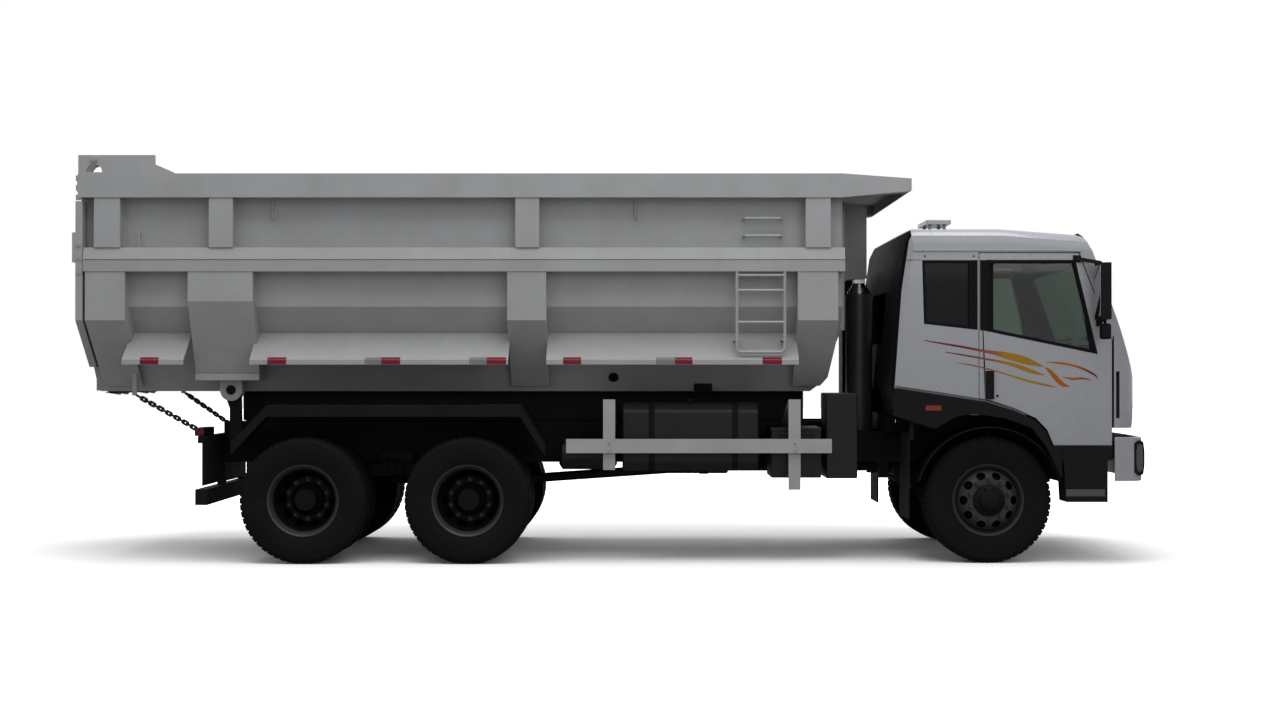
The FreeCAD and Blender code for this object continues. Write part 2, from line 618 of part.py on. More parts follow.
def bumper_plan(inset):
    """Bumper outline seen from above, moved inwards by inset, from right end to left end."""
    side = BODY_HALF_WIDTH - inset
    corner = BUMPER_CORNER_X - inset
    nose = NOSE_X - inset
    right = Part.makePolygon([V(BUMPER_END_X, -side, 0), V(corner - 110.0, -side, 0)])
    turn_out = Part.Arc(V(corner - 110.0, -side, 0), V(corner - 32.0, -side + 40.0, 0),
                        V(corner, -side + 120.0, 0))
    bow = Part.Arc(V(corner, -side + 120.0, 0), V(nose, 0, 0), V(corner, side - 120.0, 0))
    turn_in = Part.Arc(V(corner, side - 120.0, 0), V(corner - 32.0, side - 40.0, 0),
                       V(corner - 110.0, side, 0))
    left = Part.makePolygon([V(corner - 110.0, side, 0), V(BUMPER_END_X, side, 0)])
    back = Part.makePolygon([V(BUMPER_END_X, side, 0), V(BUMPER_END_X, -side, 0)])
    edges = right.Edges + [turn_out.toShape(), bow.toShape(), turn_in.toShape()] + left.Edges + back.Edges
    return Part.Wire(edges)


def bumper_block(inset, z0, z1):
    """Solid inside the bumper's outline between two heights."""
    face = Part.Face(bumper_plan(inset))
    face.translate(V(0, 0, z0))
    return face.extrude(V(0, 0, z1 - z0))


def make_frame():
    """Ladder frame: rails with their subframe, bolted cross members, brackets, hoist mount and tail."""
    rail = fused([channel(FRAME_BOTTOM_Z, FRAME_TOP_Z, FRAME_TAIL_X, FRAME_FRONT_X),
                  channel(FRAME_TOP_Z, SUBFRAME_TOP_Z, FRAME_TAIL_X, SUBFRAME_FRONT_X)])
    bracket = box(FRAME_FRONT_X, NOSE_X, RAIL_INNER_Y, RAIL_OUTER_Y, *BUMPER_BRACKET_Z)
    bracket = bracket.common(bumper_block(BUMPER_WALL, *BUMPER_BRACKET_Z))
    solids = both(rail) + both(cab_bracket()) + both(bracket)
    for x in CROSSMEMBER_XS:
        half = CROSSMEMBER_WIDTH / 2
        inner = RAIL_OUTER_Y - RAIL_WEB
        solids.append(box(x - half, x + half, -inner, inner, FRAME_BOTTOM_Z + RAIL_WEB,
                          FRAME_BOTTOM_Z + 130.0))
    mount = box(CAB_REAR_X + 30.0, CAB_REAR_X + 120.0, -RAIL_OUTER_Y - 140.0, RAIL_OUTER_Y + 140.0,
                FRAME_TOP_Z,
                CAB_FLOOR_Z - GAP)
    write("chassis_frame", solids + [mount, hoist_mount(), tail_carrier()])


def leaf_spring(x, half_span, width, middle_y, seat_z, camber, leaves):
    """Bowed stack of leaves, each shorter than the one above, as one stepped outline."""
    def bow(reach):
        return seat_z + camber * (reach / half_span) ** 2

    reaches = [half_span * (1 - LEAF_SHORTER * i) for i in range(leaves)]
    half = [(0.0, bow(0.0))]
    for level, reach in enumerate(reaches[::-1]):
        half.append((reach, bow(reach) + level * LEAF_THICKNESS))
        half.append((reach, bow(reach) + (level + 1) * LEAF_THICKNESS))
    half.append((half_span / 2, bow(half_span / 2) + leaves * LEAF_THICKNESS))
    half.append((0.0, bow(0.0) + leaves * LEAF_THICKNESS))
    outline = [(x + a, z) for a, z in half] + [(x - a, z) for a, z in half[-2:0:-1]]
    return prism_y(outline, middle_y - width / 2, middle_y + width / 2)


def make_springs():
    """Front leaf springs under the rails and the bogie's springs beside them."""
    front_y = (RAIL_INNER_Y + RAIL_OUTER_Y) / 2
    seat = 490.0
    front = [leaf_spring(FRONT_AXLE_X, 820.0, 76.0, front_y, seat, 150.0, 4)]
    top = seat + 4 * LEAF_THICKNESS + 120.0
    for end in (-1, 1):
        x = FRONT_AXLE_X + end * 780.0
        front.append(box(x - 40.0, x + 40.0, RAIL_INNER_Y, RAIL_OUTER_Y, top - 26.0, FRAME_BOTTOM_Z))
    middle = sum(REAR_AXLE_XS) / 2
    bogie_y = RAIL_OUTER_Y + 70.0
    rear = [leaf_spring(middle, BOGIE_SPREAD / 2 + 60.0, 90.0, bogie_y, 700.0, -70.0, 5)]
    rear.append(prism_y([(middle - 120.0, 810.0), (middle + 120.0, 810.0), (middle + 170.0, 900.0),
                         (middle - 170.0, 900.0)], RAIL_OUTER_Y, bogie_y + 45.0))
    bore = turned([(DRIVE_TUBE_RADIUS + SEAT, RAIL_OUTER_Y), (DRIVE_TUBE_RADIUS + SEAT, bogie_y + 90.0)],
                  HUB_SIDES)
    for axle_x in REAR_AXLE_XS:
        saddle = box(axle_x - 70.0, axle_x + 70.0, bogie_y - 45.0, bogie_y + 45.0, AXLE_Z + 40.0, 730.0)
        rear.append(saddle.cut(at(bore, axle_x, 0, AXLE_Z)))
    shapes = [fused(front), fused(rear)]
    write("springs", [s for shape in shapes for s in both(shape)])


def make_drive_axles():
    """Two driven axles, each a tube with a bulged housing in the middle."""
    solids = []
    end = DUAL_INNER_Y - BEAD_WIDTH / 2 - GAP
    for axle_x in REAR_AXLE_XS:
        profile = [(DRIVE_TUBE_RADIUS, -end), (DRIVE_TUBE_RADIUS, -330.0), (DIFF_RADIUS, -110.0),
                   (DIFF_RADIUS, 110.0),
                   (DRIVE_TUBE_RADIUS, 330.0), (DRIVE_TUBE_RADIUS, end)]
        tube = at(turned(profile, HUB_SIDES), axle_x, 0, AXLE_Z)
        reach = end + 115.0
        spindle = Part.makeCylinder(REAR_SPINDLE_RADIUS, 2 * reach, V(axle_x, -reach, AXLE_Z), V(0, 1, 0))
        nose = turned([(130.0, 0.0), (70.0, 170.0)], HUB_SIDES, "z")
        nose.rotate(V(0, 0, 0), V(0, 1, 0), 90)
        nose.translate(V(axle_x + DIFF_RADIUS - 60.0, 0, SHAFT_Z))
        solids.append(fused([tube, spindle, nose]))
    write("drive_axles", solids)


def make_engine():
    """Plain block at the engine's place between the rails, with its gearbox behind."""
    block = box(ENGINE_X[0], ENGINE_X[1], -310.0, 310.0, 640.0, 1400.0)
    write("engine", [block])


def make_driveline():
    """Gearbox, and propeller shafts over a centre bearing to the two driven axles."""
    gearbox = prism_x([(-210.0, 640.0), (210.0, 640.0), (250.0, 760.0), (150.0, 940.0), (-150.0, 940.0),
                       (-250.0, 760.0)],
                      GEARBOX_X, ENGINE_X[0])
    nose_x = REAR_AXLE_XS[0] + DIFF_RADIUS + 110.0
    middle = V(BEARING_X, 0, BEARING_Z)
    under = FRAME_BOTTOM_Z + RAIL_WEB
    bearing = box(BEARING_X - 40.0, BEARING_X + 40.0, -90.0, 90.0, BEARING_Z - 65.0, under)
    yokes = [x_cylinder(YOKE_RADIUS, 60.0, GEARBOX_X - 60.0, GEARBOX_SHAFT_Z),
             x_cylinder(YOKE_RADIUS, 60.0, nose_x, SHAFT_Z)]
    front = rod(middle, V(GEARBOX_X - 40.0, 0, GEARBOX_SHAFT_Z), SHAFT_RADIUS)
    rear = rod(V(nose_x + 40.0, 0, SHAFT_Z), middle, SHAFT_RADIUS)
    back_x = REAR_AXLE_XS[1] + DIFF_RADIUS + 110.0
    last = rod(V(REAR_AXLE_XS[0] - DIFF_RADIUS + 60.0, 0, SHAFT_Z), V(back_x, 0, SHAFT_Z), SHAFT_RADIUS)
    write("driveline", [gearbox, fused([front, rear, bearing] + yokes), last.cut(through_axle())])


def x_cylinder(radius, length, x, z):
    """Cylinder along X in the truck's middle."""
    return Part.makeCylinder(radius, length, V(x, 0, z), V(1, 0, 0))


def through_axle():
    """Room that the forward axle's housing takes at the shaft between the axles."""
    reach = DIFF_RADIUS / math.cos(math.pi / HUB_SIDES)
    profile = [(reach, -110.0), (reach, 110.0)]
    return at(turned(profile, HUB_SIDES), REAR_AXLE_XS[0], 0, AXLE_Z)


def make_side_equipment():
    """Fuel tank, battery box, air tanks, silencer and intake."""
    x0, x1 = TANK_X
    y0, y1 = TANK_Y
    z0, z1 = TANK_Z
    chamfer = TANK_CHAMFER
    section = [(y0, z0 + chamfer), (y0 + chamfer, z0), (y1 - chamfer, z0), (y1, z0 + chamfer),
               (y1, z1 - chamfer), (y1 - chamfer, z1), (y0 + chamfer, z1), (y0, z1 - chamfer)]
    tank = prism_x(section, x0, x1)
    straps = [box(x - 30.0, x + 30.0, RAIL_OUTER_Y, y0, 860.0, 1000.0) for x in (x0 + 220.0, x1 - 220.0)]
    write("fuel_tank", [mirrored(fused([tank] + straps))])
    write("battery_box", [mirrored(battery_box())])
    write("air_tanks", [air_drums(), mirrored(single_air_tank())])
    oil = fused([box(*OIL_TANK_X, BRACKET_REACH_Y, OIL_TANK_OUTER_Y, *OIL_TANK_Z),
                 box(OIL_TANK_X[0] + 50.0, OIL_TANK_X[1] - 65.0, RAIL_OUTER_Y, BRACKET_REACH_Y, 880.0,
                     980.0)])
    write("oil_tank", [mirrored(oil)])
    write("exhaust", [exhaust()])
    write("air_intake", [air_intake()])


def battery_box():
    """Battery box on its bracket."""
    x0, x1 = BATTERY_X
    body = box(x0, x1, BRACKET_REACH_Y, BATTERY_OUTER_Y, *BATTERY_Z)
    return fused([body, box(x0 + 70.0, x1 - 70.0, RAIL_OUTER_Y, BRACKET_REACH_Y, 860.0, 940.0)])


def air_tank(x, z, length, radii):
    """Round tank along X with a dome at each end, beside the left rail."""
    end, body = radii
    tank = turned([(end, -AIR_TANK_DOME), (body, 0.0), (body, length), (end, length + AIR_TANK_DOME)],
                  HUB_SIDES, "z")
    tank.rotate(V(0, 0, 0), V(0, 1, 0), 90)
    return at(tank, x, AIR_TANK_Y, z)


def air_drums():
    """Two drums, one over the other, on their hangers."""
    x0, x1 = AIR_DRUM_X
    drums = [air_tank(x0, z, x1 - x0, AIR_DRUM_RADII) for z in AIR_DRUM_ZS]
    xs = [x0 + share * (x1 - x0) for share in AIR_DRUM_HANGERS]
    return fused(drums + [box(x - 25.0, x + 25.0, RAIL_OUTER_Y, BRACKET_REACH_Y, 700.0, 1060.0) for x in xs])


def single_air_tank():
    """Larger tank on one strap."""
    x = SINGLE_TANK_X + SINGLE_TANK_LENGTH / 2
    strap = box(x - 25.0, x + 25.0, RAIL_OUTER_Y, BRACKET_REACH_Y, SINGLE_TANK_Z - 45.0, SINGLE_TANK_Z + 75.0)
    return fused([air_tank(SINGLE_TANK_X, SINGLE_TANK_Z, SINGLE_TANK_LENGTH, SINGLE_TANK_RADII), strap])


def exhaust():
    """Silencer box on its arm, with the pipe that leads down behind it."""
    x0, x1 = SILENCER_X
    y0, y1 = SILENCER_Y
    arm = box(x0 + 170.0, x1 - 200.0, RAIL_OUTER_Y, y0, 860.0, 960.0)
    pipe = rod(V(x0, 700.0, 860.0), V(x0 - 150.0, 700.0, SILENCER_Z[0]), TAILPIPE_RADIUS)
    return fused([box(x0, x1, y0, y1, *SILENCER_Z), arm, pipe])


def air_intake():
    """Upright duct over the filter's canister, on a shelf."""
    duct = box(*INTAKE_DUCT_X, *INTAKE_DUCT_Y, CANISTER_Z[1], INTAKE_TOP_Z)
    canister = box(*CANISTER_X, BRACKET_REACH_Y, CANISTER_OUTER_Y, *CANISTER_Z)
    shelf = box(CANISTER_X[0] + 50.0, CANISTER_X[1] - 60.0, RAIL_OUTER_Y, BRACKET_REACH_Y, 940.0, 1040.0)
    return fused([duct, canister, shelf])


def make_side_guards():
    """Right and left guard rails on their posts, which bend in over the tank."""
    outer = RIB_FACE_Y
    face = outer - GUARD_RAIL_DEPTH
    back = face - 30.0
    parts = [box(*GUARD_RAIL_X, face, outer, *GUARD_RAIL_Z)]
    top = [(back, 1345.0), (face, 1372.0), (RAIL_OUTER_Y, 1150.0), (RAIL_OUTER_Y, 1120.0)]
    for x, foot in zip(GUARD_POST_XS, GUARD_POST_FEET):
        post = [(face, foot), (back, foot), (back, 1350.0), (face, 1370.0)]
        parts += [prism_x(outline, x - GUARD_POST_HALF, x + GUARD_POST_HALF) for outline in (post, top)]
    write("side_guards", both(fused(parts)))


def make_rear_mudguards():
    """Flat-topped mudguard over each side's two twin wheels."""
    inner, outer = MUDGUARD_Y
    line = [(LAST_AXLE_X - 598.0, MUDGUARD_FOOT_Z[0]), (LAST_AXLE_X - 299.0, MUDGUARD_TOP_Z),
            (FORWARD_AXLE_X + 439.0, MUDGUARD_TOP_Z), (FORWARD_AXLE_X + 647.0, MUDGUARD_FOOT_Z[1])]
    sheet = prism_y(line + lowered(line, MUDGUARD_PLATE), inner, outer)
    lip = prism_y(line + lowered(line, MUDGUARD_LIP), outer - MUDGUARD_PLATE, outer)
    low, high = SUBFRAME_TOP_Z - 60.0, MUDGUARD_TOP_Z - 60.0
    parts = [sheet, lip]
    for x in MUDGUARD_STAY_XS:
        parts.append(box(x - 25.0, x + 25.0, RAIL_OUTER_Y, inner + 60.0, high,
                         MUDGUARD_TOP_Z - MUDGUARD_PLATE))
        parts.append(box(x - 25.0, x + 25.0, RAIL_OUTER_Y, RAIL_OUTER_Y + 10.0, low, high))
    write("rear_mudguards", both(fused(parts)))


def lowered(line, drop):
    """Open outline of (x, z) points moved down, in the opposite order."""
    return [(x, z - drop) for x, z in line[::-1]]


def make_mud_flaps():
    """Rubber flaps behind the rear and the front wheels."""
    rear = box(FRAME_TAIL_X, FRAME_TAIL_X + FLAP_THICKNESS, RAIL_OUTER_Y + 20.0, MUDGUARD_Y[1] - 40.0,
               *REAR_FLAP_Z)
    front = box(FRONT_FLAP_X - FLAP_THICKNESS, FRONT_FLAP_X, *FRONT_FLAP_Y, *FRONT_FLAP_Z)
    write("mud_flaps", both(rear) + both(front))


# Front wings and steps

ARCH_EDGE = ((2370.0, 1482.0), (2739.0, 1428.0), (3108.0, 1369.0), (3349.0, 1294.0), (3523.0, 1213.0),
             (3615.0, 1116.0), (3665.0, 992.0))
FLARE_LOWER = ((2336.0, 1233.0), (2677.0, 1125.0), (2859.0, 1228.0), (3009.0, 1249.0), (3258.0, 1213.0),
               (3482.0, 1133.0), (3598.0, 984.0), (3673.0, 834.0), (SILL_REAR_X, 701.0))


def make_front_wings():
    """Wing flare, wheel arch liner, step box and sill of each side."""
    inner_y = CAB_HALF_WIDTH - CAB_SKIN_LIP + GAP
    upper = parallel(ARCH_EDGE, WING_GAP)
    sill_top = DOOR_BOTTOM_Z - GAP
    front = [(upper[-1][0], sill_top), (SILL_REAR_X, sill_top), FLARE_LOWER[-1]]
    rear = (FLARE_LOWER[0][0], upper[0][1])
    flare = prism_y([rear] + upper[:-1] + front + list(FLARE_LOWER[-2::-1]), inner_y, FLARE_OUTER_Y)
    outer = Part.makeCylinder(ARCH_RADIUS + LINER_THICKNESS, inner_y - LINER_INNER_Y,
                              V(FRONT_AXLE_X, LINER_INNER_Y, AXLE_Z), V(0, 1, 0), 150)
    inner = Part.makeCylinder(ARCH_RADIUS, inner_y - LINER_INNER_Y, V(FRONT_AXLE_X, LINER_INNER_Y, AXLE_Z),
                              V(0, 1, 0), 360)
    liner = outer.cut(inner)
    liner.rotate(V(FRONT_AXLE_X, 0, AXLE_Z), V(0, 1, 0), -75.0)
    steps = prism_y([(STEP_REAR_X, STEP_TOP_Z), (STEP_REAR_X + 20.0, STEP_BOTTOM_Z),
                     (STEP_FRONT_X, STEP_BOTTOM_Z),
                     (STEP_FRONT_X, STEP_TOP_Z)], STEP_INNER_Y, FLARE_OUTER_Y)
    sill = box(SILL_REAR_X, DOOR_FRONT_X, STEP_INNER_Y, FLARE_OUTER_Y, STEP_TOP_Z, sill_top)
    arm = box(3800.0, 3880.0, RAIL_OUTER_Y, STEP_INNER_Y, 840.0, 920.0)
    flap_bar = box(FRONT_FLAP_X, FRONT_FLAP_X + 36.0, RAIL_OUTER_Y, inner_y, 1030.0, 1090.0)
    post = box(FRONT_FLAP_X, FRONT_FLAP_X + 36.0, inner_y - 36.0, inner_y, 1090.0, CAB_FLOOR_Z - GAP)
    pieces = [flare, liner, fused([steps, sill, arm]), fused([flap_bar, post])]
    write("front_wings", [s for piece in pieces for s in both(piece)])


def make_bumper():
    """Bowed bumper with wrapped ends, and the lamps let into its corners."""
    wall = bumper_block(0, BUMPER_BOTTOM_Z, BUMPER_TOP_Z).cut(bumper_block(BUMPER_WALL, 0, 2000.0))
    side = BODY_HALF_WIDTH - 2 * BUMPER_WALL
    wall = wall.cut(box(BUMPER_END_X - 1.0, BUMPER_END_X + BUMPER_WALL + 2.0, -side, side, 0, 2000.0))
    window = box(LAMP_REAR_X, NOSE_X + 50.0, LAMP_INNER_Y, BODY_HALF_WIDTH + 50.0, *LAMP_Z)
    windows = both(window)
    lamps = [wall.common(w) for w in windows]
    for w in windows:
        wall = wall.cut(w)
    write("bumper", [wall])
    low = TAIL_BAR_Z[1]
    tail = box(TAIL_BAR_X - 30.0, FRAME_TAIL_X - 20.0, *TAIL_LAMP_Y, low, low + TAIL_LAMP_HEIGHT)
    write("lamps", lamps + both(tail))


def chain_run():
    """Start and unit direction of the left chain, and its length."""
    top, foot = V(*CHAIN_TOP), V(*CHAIN_FOOT)
    run = foot - top
    length = run.Length
    return top, run / length, length


def chain_lug(end):
    """Square stub in line with the left chain at its top or its foot."""
    top, along, length = chain_run()
    if end == "top":
        return square_bar(top - along * 30.0, top, 16.0)
    foot = top + along * length
    return square_bar(foot, foot + along * 50.0, 16.0)


def make_chains():
    """Two chains of oval links from the bed's tail to the chassis tail."""
    top, along, length = chain_run()
    pitch = CHAIN_INNER - SEAT
    ends = CHAIN_INNER + 2 * CHAIN_WIRE
    count = int((length - ends) / pitch) + 1
    pitch = (length - 2 * SEAT - ends) / (count - 1)
    inner = pitch + SEAT
    start = SEAT + CHAIN_WIRE + inner / 2 - (inner - CHAIN_INNER) / 2
    link = chain_link(CHAIN_INNER, CHAIN_WIRE)
    turn = FreeCAD.Rotation(V(1, 0, 0), along)
    solids = []
    for i in range(count):
        one = link.copy()
        if i % 2:
            one.rotate(V(0, 0, 0), V(1, 0, 0), 90)
        one.Placement = FreeCAD.Placement(top + along * (start + i * pitch), turn).multiply(one.Placement)
        solids.extend(both(one))
    write("tailgate_chains", solids)


def chain_link(inner, wire):
    """One flat link along X with six-cornered ends."""
    half, side, cut = inner / 2 + wire, 20.0, 12.0
    outer = [(half, 0), (half - cut, side), (-half + cut, side), (-half, 0), (-half + cut, -side),
             (half - cut, -side)]
    reach, inside = inner / 2, side - wire + 2.0
    hole = [(reach, 0), (reach - cut / 2, inside), (-reach + cut / 2, inside), (-reach, 0),
            (-reach + cut / 2, -inside), (reach - cut / 2, -inside)]
    return prism_z(outer, -wire / 2, wire / 2).cut(prism_z(hole, -wire, wire))


# Bed

def wall_y(z):
    """Outer half width of the bed's wall at a height."""
    if z >= BED_BEND_Z:
        return BED_WALL_Y
    share = (z - BED_FLOOR_Z) / (BED_BEND_Z - BED_FLOOR_Z)
    return BED_FLOOR_HALF + share * (BED_WALL_Y - BED_FLOOR_HALF)


def chamfer_offset():
    """Plate thickness measured level across the sloped lower wall."""
    run = BED_WALL_Y - BED_FLOOR_HALF
    rise = BED_BEND_Z - BED_FLOOR_Z
    return BED_PLATE * math.hypot(run, rise) / rise


def parallel(points, distance):
    """Open outline moved sideways by a distance, its corners mitred."""
    normals = []
    for (xa, za), (xb, zb) in zip(points, points[1:]):
        length = math.hypot(xb - xa, zb - za)
        normals.append(((zb - za) / length, (xa - xb) / length))
    normals = [normals[0]] + normals + [normals[-1]]
    moved = []
    for (x, z), (ax, az), (bx, bz) in zip(points, normals, normals[1:]):
        share = distance / (1 + ax * bx + az * bz)
        moved.append((x + (ax + bx) * share, z + (az + bz) * share))
    return moved


def headboard_line(bends=HEADBOARD_BENDS):
    """Inner face of the headboard from the side, swept back at its foot to clear the raised hoist."""
    return [(BED_FRONT_X + dx, BED_FLOOR_Z + dz) for dx, dz in bends] + [(BED_FRONT_X, BED_TOP_Z)]


def front_space(bends=HEADBOARD_BENDS):
    """All the room ahead of the headboard's inner face, or of another front line."""
    line = headboard_line(bends)
    ahead = BED_FRONT_X + 2 * BED_WALL_Y
    region = [(line[0][0], 0.0)] + line + [(ahead, BED_TOP_Z), (ahead, 0.0)]
    return prism_y(region, -2 * BED_WALL_Y, 2 * BED_WALL_Y)


def make_bed_floor():
    """Floor with its two sloped lower walls, folded from one plate and cut to the headboard's line."""
    level = chamfer_offset()
    top = BED_FLOOR_Z + BED_PLATE
    half = [(BED_FLOOR_HALF, BED_FLOOR_Z), (BED_WALL_Y, BED_BEND_Z), (BED_WALL_Y - level, BED_BEND_Z),
            (wall_y(top) - level, top)]
    outline = half + [(-y, z) for y, z in half[::-1]]
    write("bed_floor", [prism_x(outline, BED_TAIL_X, BED_FRONT_X).cut(front_space())])


def make_bed_sides():
    """Upright side walls above the bend."""
    side = box(BED_TAIL_X, BED_FRONT_X, BED_WALL_Y - BED_PLATE, BED_WALL_Y, BED_BEND_Z, BED_TOP_Z)
    write("bed_sides", both(side))


def make_headboard():
    """Front wall of the bed, its columns and the two gusset plates of the hoist's top pin."""
    line = headboard_line()
    band = prism_y(line + parallel(line, BED_PLATE)[::-1], -BED_WALL_Y, BED_WALL_Y)
    half_section = [(BED_FLOOR_HALF, BED_FLOOR_Z), (BED_WALL_Y, BED_BEND_Z), (BED_WALL_Y, BED_TOP_Z)]
    section = half_section + [(-y, z) for y, z in half_section[::-1]]
    parts = [band.common(prism_x(section, line[0][0], BED_FRONT_X + BED_PLATE))]
    half = HOIST_EYE_WIDTH / 2 + GAP
    face = BED_FRONT_X + BED_PLATE
    nose = HOIST_X + HOIST_EYE_RADIUS - 3.0
    gusset = [(face, HOIST_TOP_Z - 150.0), (HOIST_X - 113.0, HOIST_TOP_Z - 55.0), (nose, HOIST_TOP_Z - 42.0),
              (nose, HOIST_TOP_Z + 600.0), (face, HOIST_TOP_Z + 670.0)]
    parts.extend(both(prism_y(gusset, half, half + HOIST_FORK_THICKNESS)))
    parts.append(box(face, nose, -half, half, HOIST_TOP_Z + 420.0, HOIST_TOP_Z + 445.0))
    foot = BED_FLOOR_Z + HEADBOARD_BENDS[-1][1] + 20.0
    parts.extend(both(box(face, face + COLUMN_DEPTH, COLUMN_Y - 50.0, COLUMN_Y + 50.0, foot,
                          BED_TOP_Z - 250.0)))
    write("bed_headboard", [fused(parts)])


def rib(x0, x1, bend_z, foot_y, foot_z):
    """Left lower rib, welded to the wall and its slope."""
    top = MID_RAIL_TOP_Z - RAIL_HEIGHT
    outline = [(BED_WALL_Y, top), (RIB_FACE_Y, top), (RIB_FACE_Y, bend_z), (foot_y, foot_z),
               (wall_y(foot_z), foot_z), (BED_WALL_Y, BED_BEND_Z)]
    return prism_x(outline, x0, x1)


def pivot_ears():
    """Left pivot rib's foot plate with the two ears that hang on the tip pin."""
    x0, x1 = PIVOT_RIB
    low, high = PIVOT_PLATE_Z, PIVOT_PLATE_Z + PIVOT_PLATE_HEIGHT
    plate = prism_x([(wall_y(low), low), (PIVOT_RIB_FOOT_Y + 20.0, low), (PIVOT_RIB_FOOT_Y + 20.0, high),
                     (wall_y(high), high)], x0, x1)
    parts = [plate]
    reach = TIP_EAR_RADIUS + 18.0
    for side in (1, -1):
        near = TIP_LUG_Y + side * (TIP_LUG_THICKNESS / 2 + GAP)
        far = near + side * 30.0
        y0, y1 = min(near, far), max(near, far)
        ear = fused([box(TIP_X - reach, TIP_X + reach, y0, y1, TIP_Z, low),
                     Part.makeCylinder(reach, y1 - y0, V(TIP_X, y0, TIP_Z), V(0, 1, 0))])
        hole = Part.makeCylinder(TIP_PIN_RADIUS + FIT, y1 - y0, V(TIP_X, y0, TIP_Z), V(0, 1, 0))
        parts.append(ear.cut(hole))
    return fused(parts)


def make_bed_ribs():
    """Upper stakes and lower ribs along both walls, with the pivot ribs."""
    solids = []
    low = MID_RAIL_TOP_Z
    high = BED_TOP_Z - RAIL_HEIGHT
    for x0, x1 in UPPER_STAKES:
        solids.append(box(x0, x1, BED_WALL_Y, RIB_FACE_Y, low, high))
    for x0, x1 in LOWER_RIBS:
        solids.append(rib(x0, x1, RIB_BEND_Z, RIB_FOOT_Y, RIB_FOOT_Z).cut(front_space(RIB_FRONT_BENDS)))
    x, y, z = CHAIN_TOP
    hanger = box(x - 46.0, x - 6.0, y - 8.0, y + 8.0, z + 4.0, z + 220.0)
    solids[-3] = fused([solids[-3], hanger, chain_lug("top")])
    top = PIVOT_PLATE_Z + PIVOT_PLATE_HEIGHT
    pivot = rib(PIVOT_RIB[0], PIVOT_RIB[1], PIVOT_RIB_BEND_Z, PIVOT_RIB_FOOT_Y, top)
    solids.append(fused([pivot, pivot_ears()]))
    write("bed_ribs", [s for shape in solids for s in both(shape)])


def make_bed_rails():
    """Top rail with its tailgate hinge, and two-step middle rail, of each side."""
    top = box(BED_TAIL_X, BED_FRONT_X, BED_WALL_Y, BODY_HALF_WIDTH, BED_TOP_Z - RAIL_HEIGHT, BED_TOP_Z)
    z1 = MID_RAIL_TOP_Z
    z0 = z1 - RAIL_HEIGHT
    groove = z0 + 95.0
    outline = [(BED_WALL_Y, z0), (BODY_HALF_WIDTH - 4.0, z0), (BODY_HALF_WIDTH - 4.0, groove),
               (BODY_HALF_WIDTH - 10.0, groove),
               (BODY_HALF_WIDTH - 10.0, groove + 6.0), (BODY_HALF_WIDTH, groove + 6.0),
               (BODY_HALF_WIDTH - MID_RAIL_GROOVE, z1), (BED_WALL_Y, z1)]
    middle = prism_x(outline, BED_TAIL_X + 40.0, BED_FRONT_X + 20.0)
    write("bed_rails", both(fused([top, gate_hinge()])) + both(middle))


def make_bed_skirts():
    """Sloped skirt plates between the ribs, with an upright lip at the lower edge."""
    solids = []
    outer = BODY_HALF_WIDTH - 2.0
    top_z, edge_z = SKIRT_ROOT_Z, SKIRT_EDGE_Z
    root = wall_y(top_z)
    outline = [(root, top_z), (outer, edge_z), (outer, edge_z - SKIRT_LIP),
               (outer - SKIRT_PLATE, edge_z - SKIRT_LIP),
               (outer - SKIRT_PLATE, edge_z - SKIRT_PLATE), (wall_y(top_z - 10.0), top_z - 10.0)]
    for x0, x1 in SKIRTS:
        solids.append(prism_x(outline, x0, x1))
    ribs = fused([rib(x0, x1, RIB_BEND_Z, RIB_FOOT_Y, RIB_FOOT_Z) for x0, x1 in LOWER_RIBS])
    top = PIVOT_PLATE_Z + PIVOT_PLATE_HEIGHT
    pivot = rib(PIVOT_RIB[0], PIVOT_RIB[1], PIVOT_RIB_BEND_Z, PIVOT_RIB_FOOT_Y, top)
    cut = [s.cut(ribs).cut(pivot) for s in solids]
    write("bed_skirts", [s for shape in cut for s in both(shape)])


def make_cab_guard():
    """Canopy plate over the cab with a side gusset at each end."""
    face = BED_FRONT_X + BED_PLATE
    root = BED_TOP_Z - 40.0
    canopy = prism_y([(face, root + GUARD_PLATE), (GUARD_FRONT_X, GUARD_LIP_TOP_Z),
                      (GUARD_FRONT_X, GUARD_LIP_TOP_Z - GUARD_PLATE), (face, root)], -BED_WALL_Y, BED_WALL_Y)
    lip = box(GUARD_FRONT_X - GUARD_PLATE, GUARD_FRONT_X, -BED_WALL_Y, BED_WALL_Y, GUARD_LIP_Z,
              GUARD_LIP_TOP_Z)
    side = prism_y([(BED_FRONT_X, GUARD_ROOT_Z + 41.0), (BED_FRONT_X, BED_TOP_Z),
                    (GUARD_FRONT_X, GUARD_LIP_TOP_Z),
                    (GUARD_FRONT_X, GUARD_LIP_Z), (GUARD_FRONT_X - 40.0, GUARD_LIP_Z - 8.0)],
                   BED_WALL_Y, BODY_HALF_WIDTH)
    write("cab_guard", [fused([canopy, lip] + both(side))])


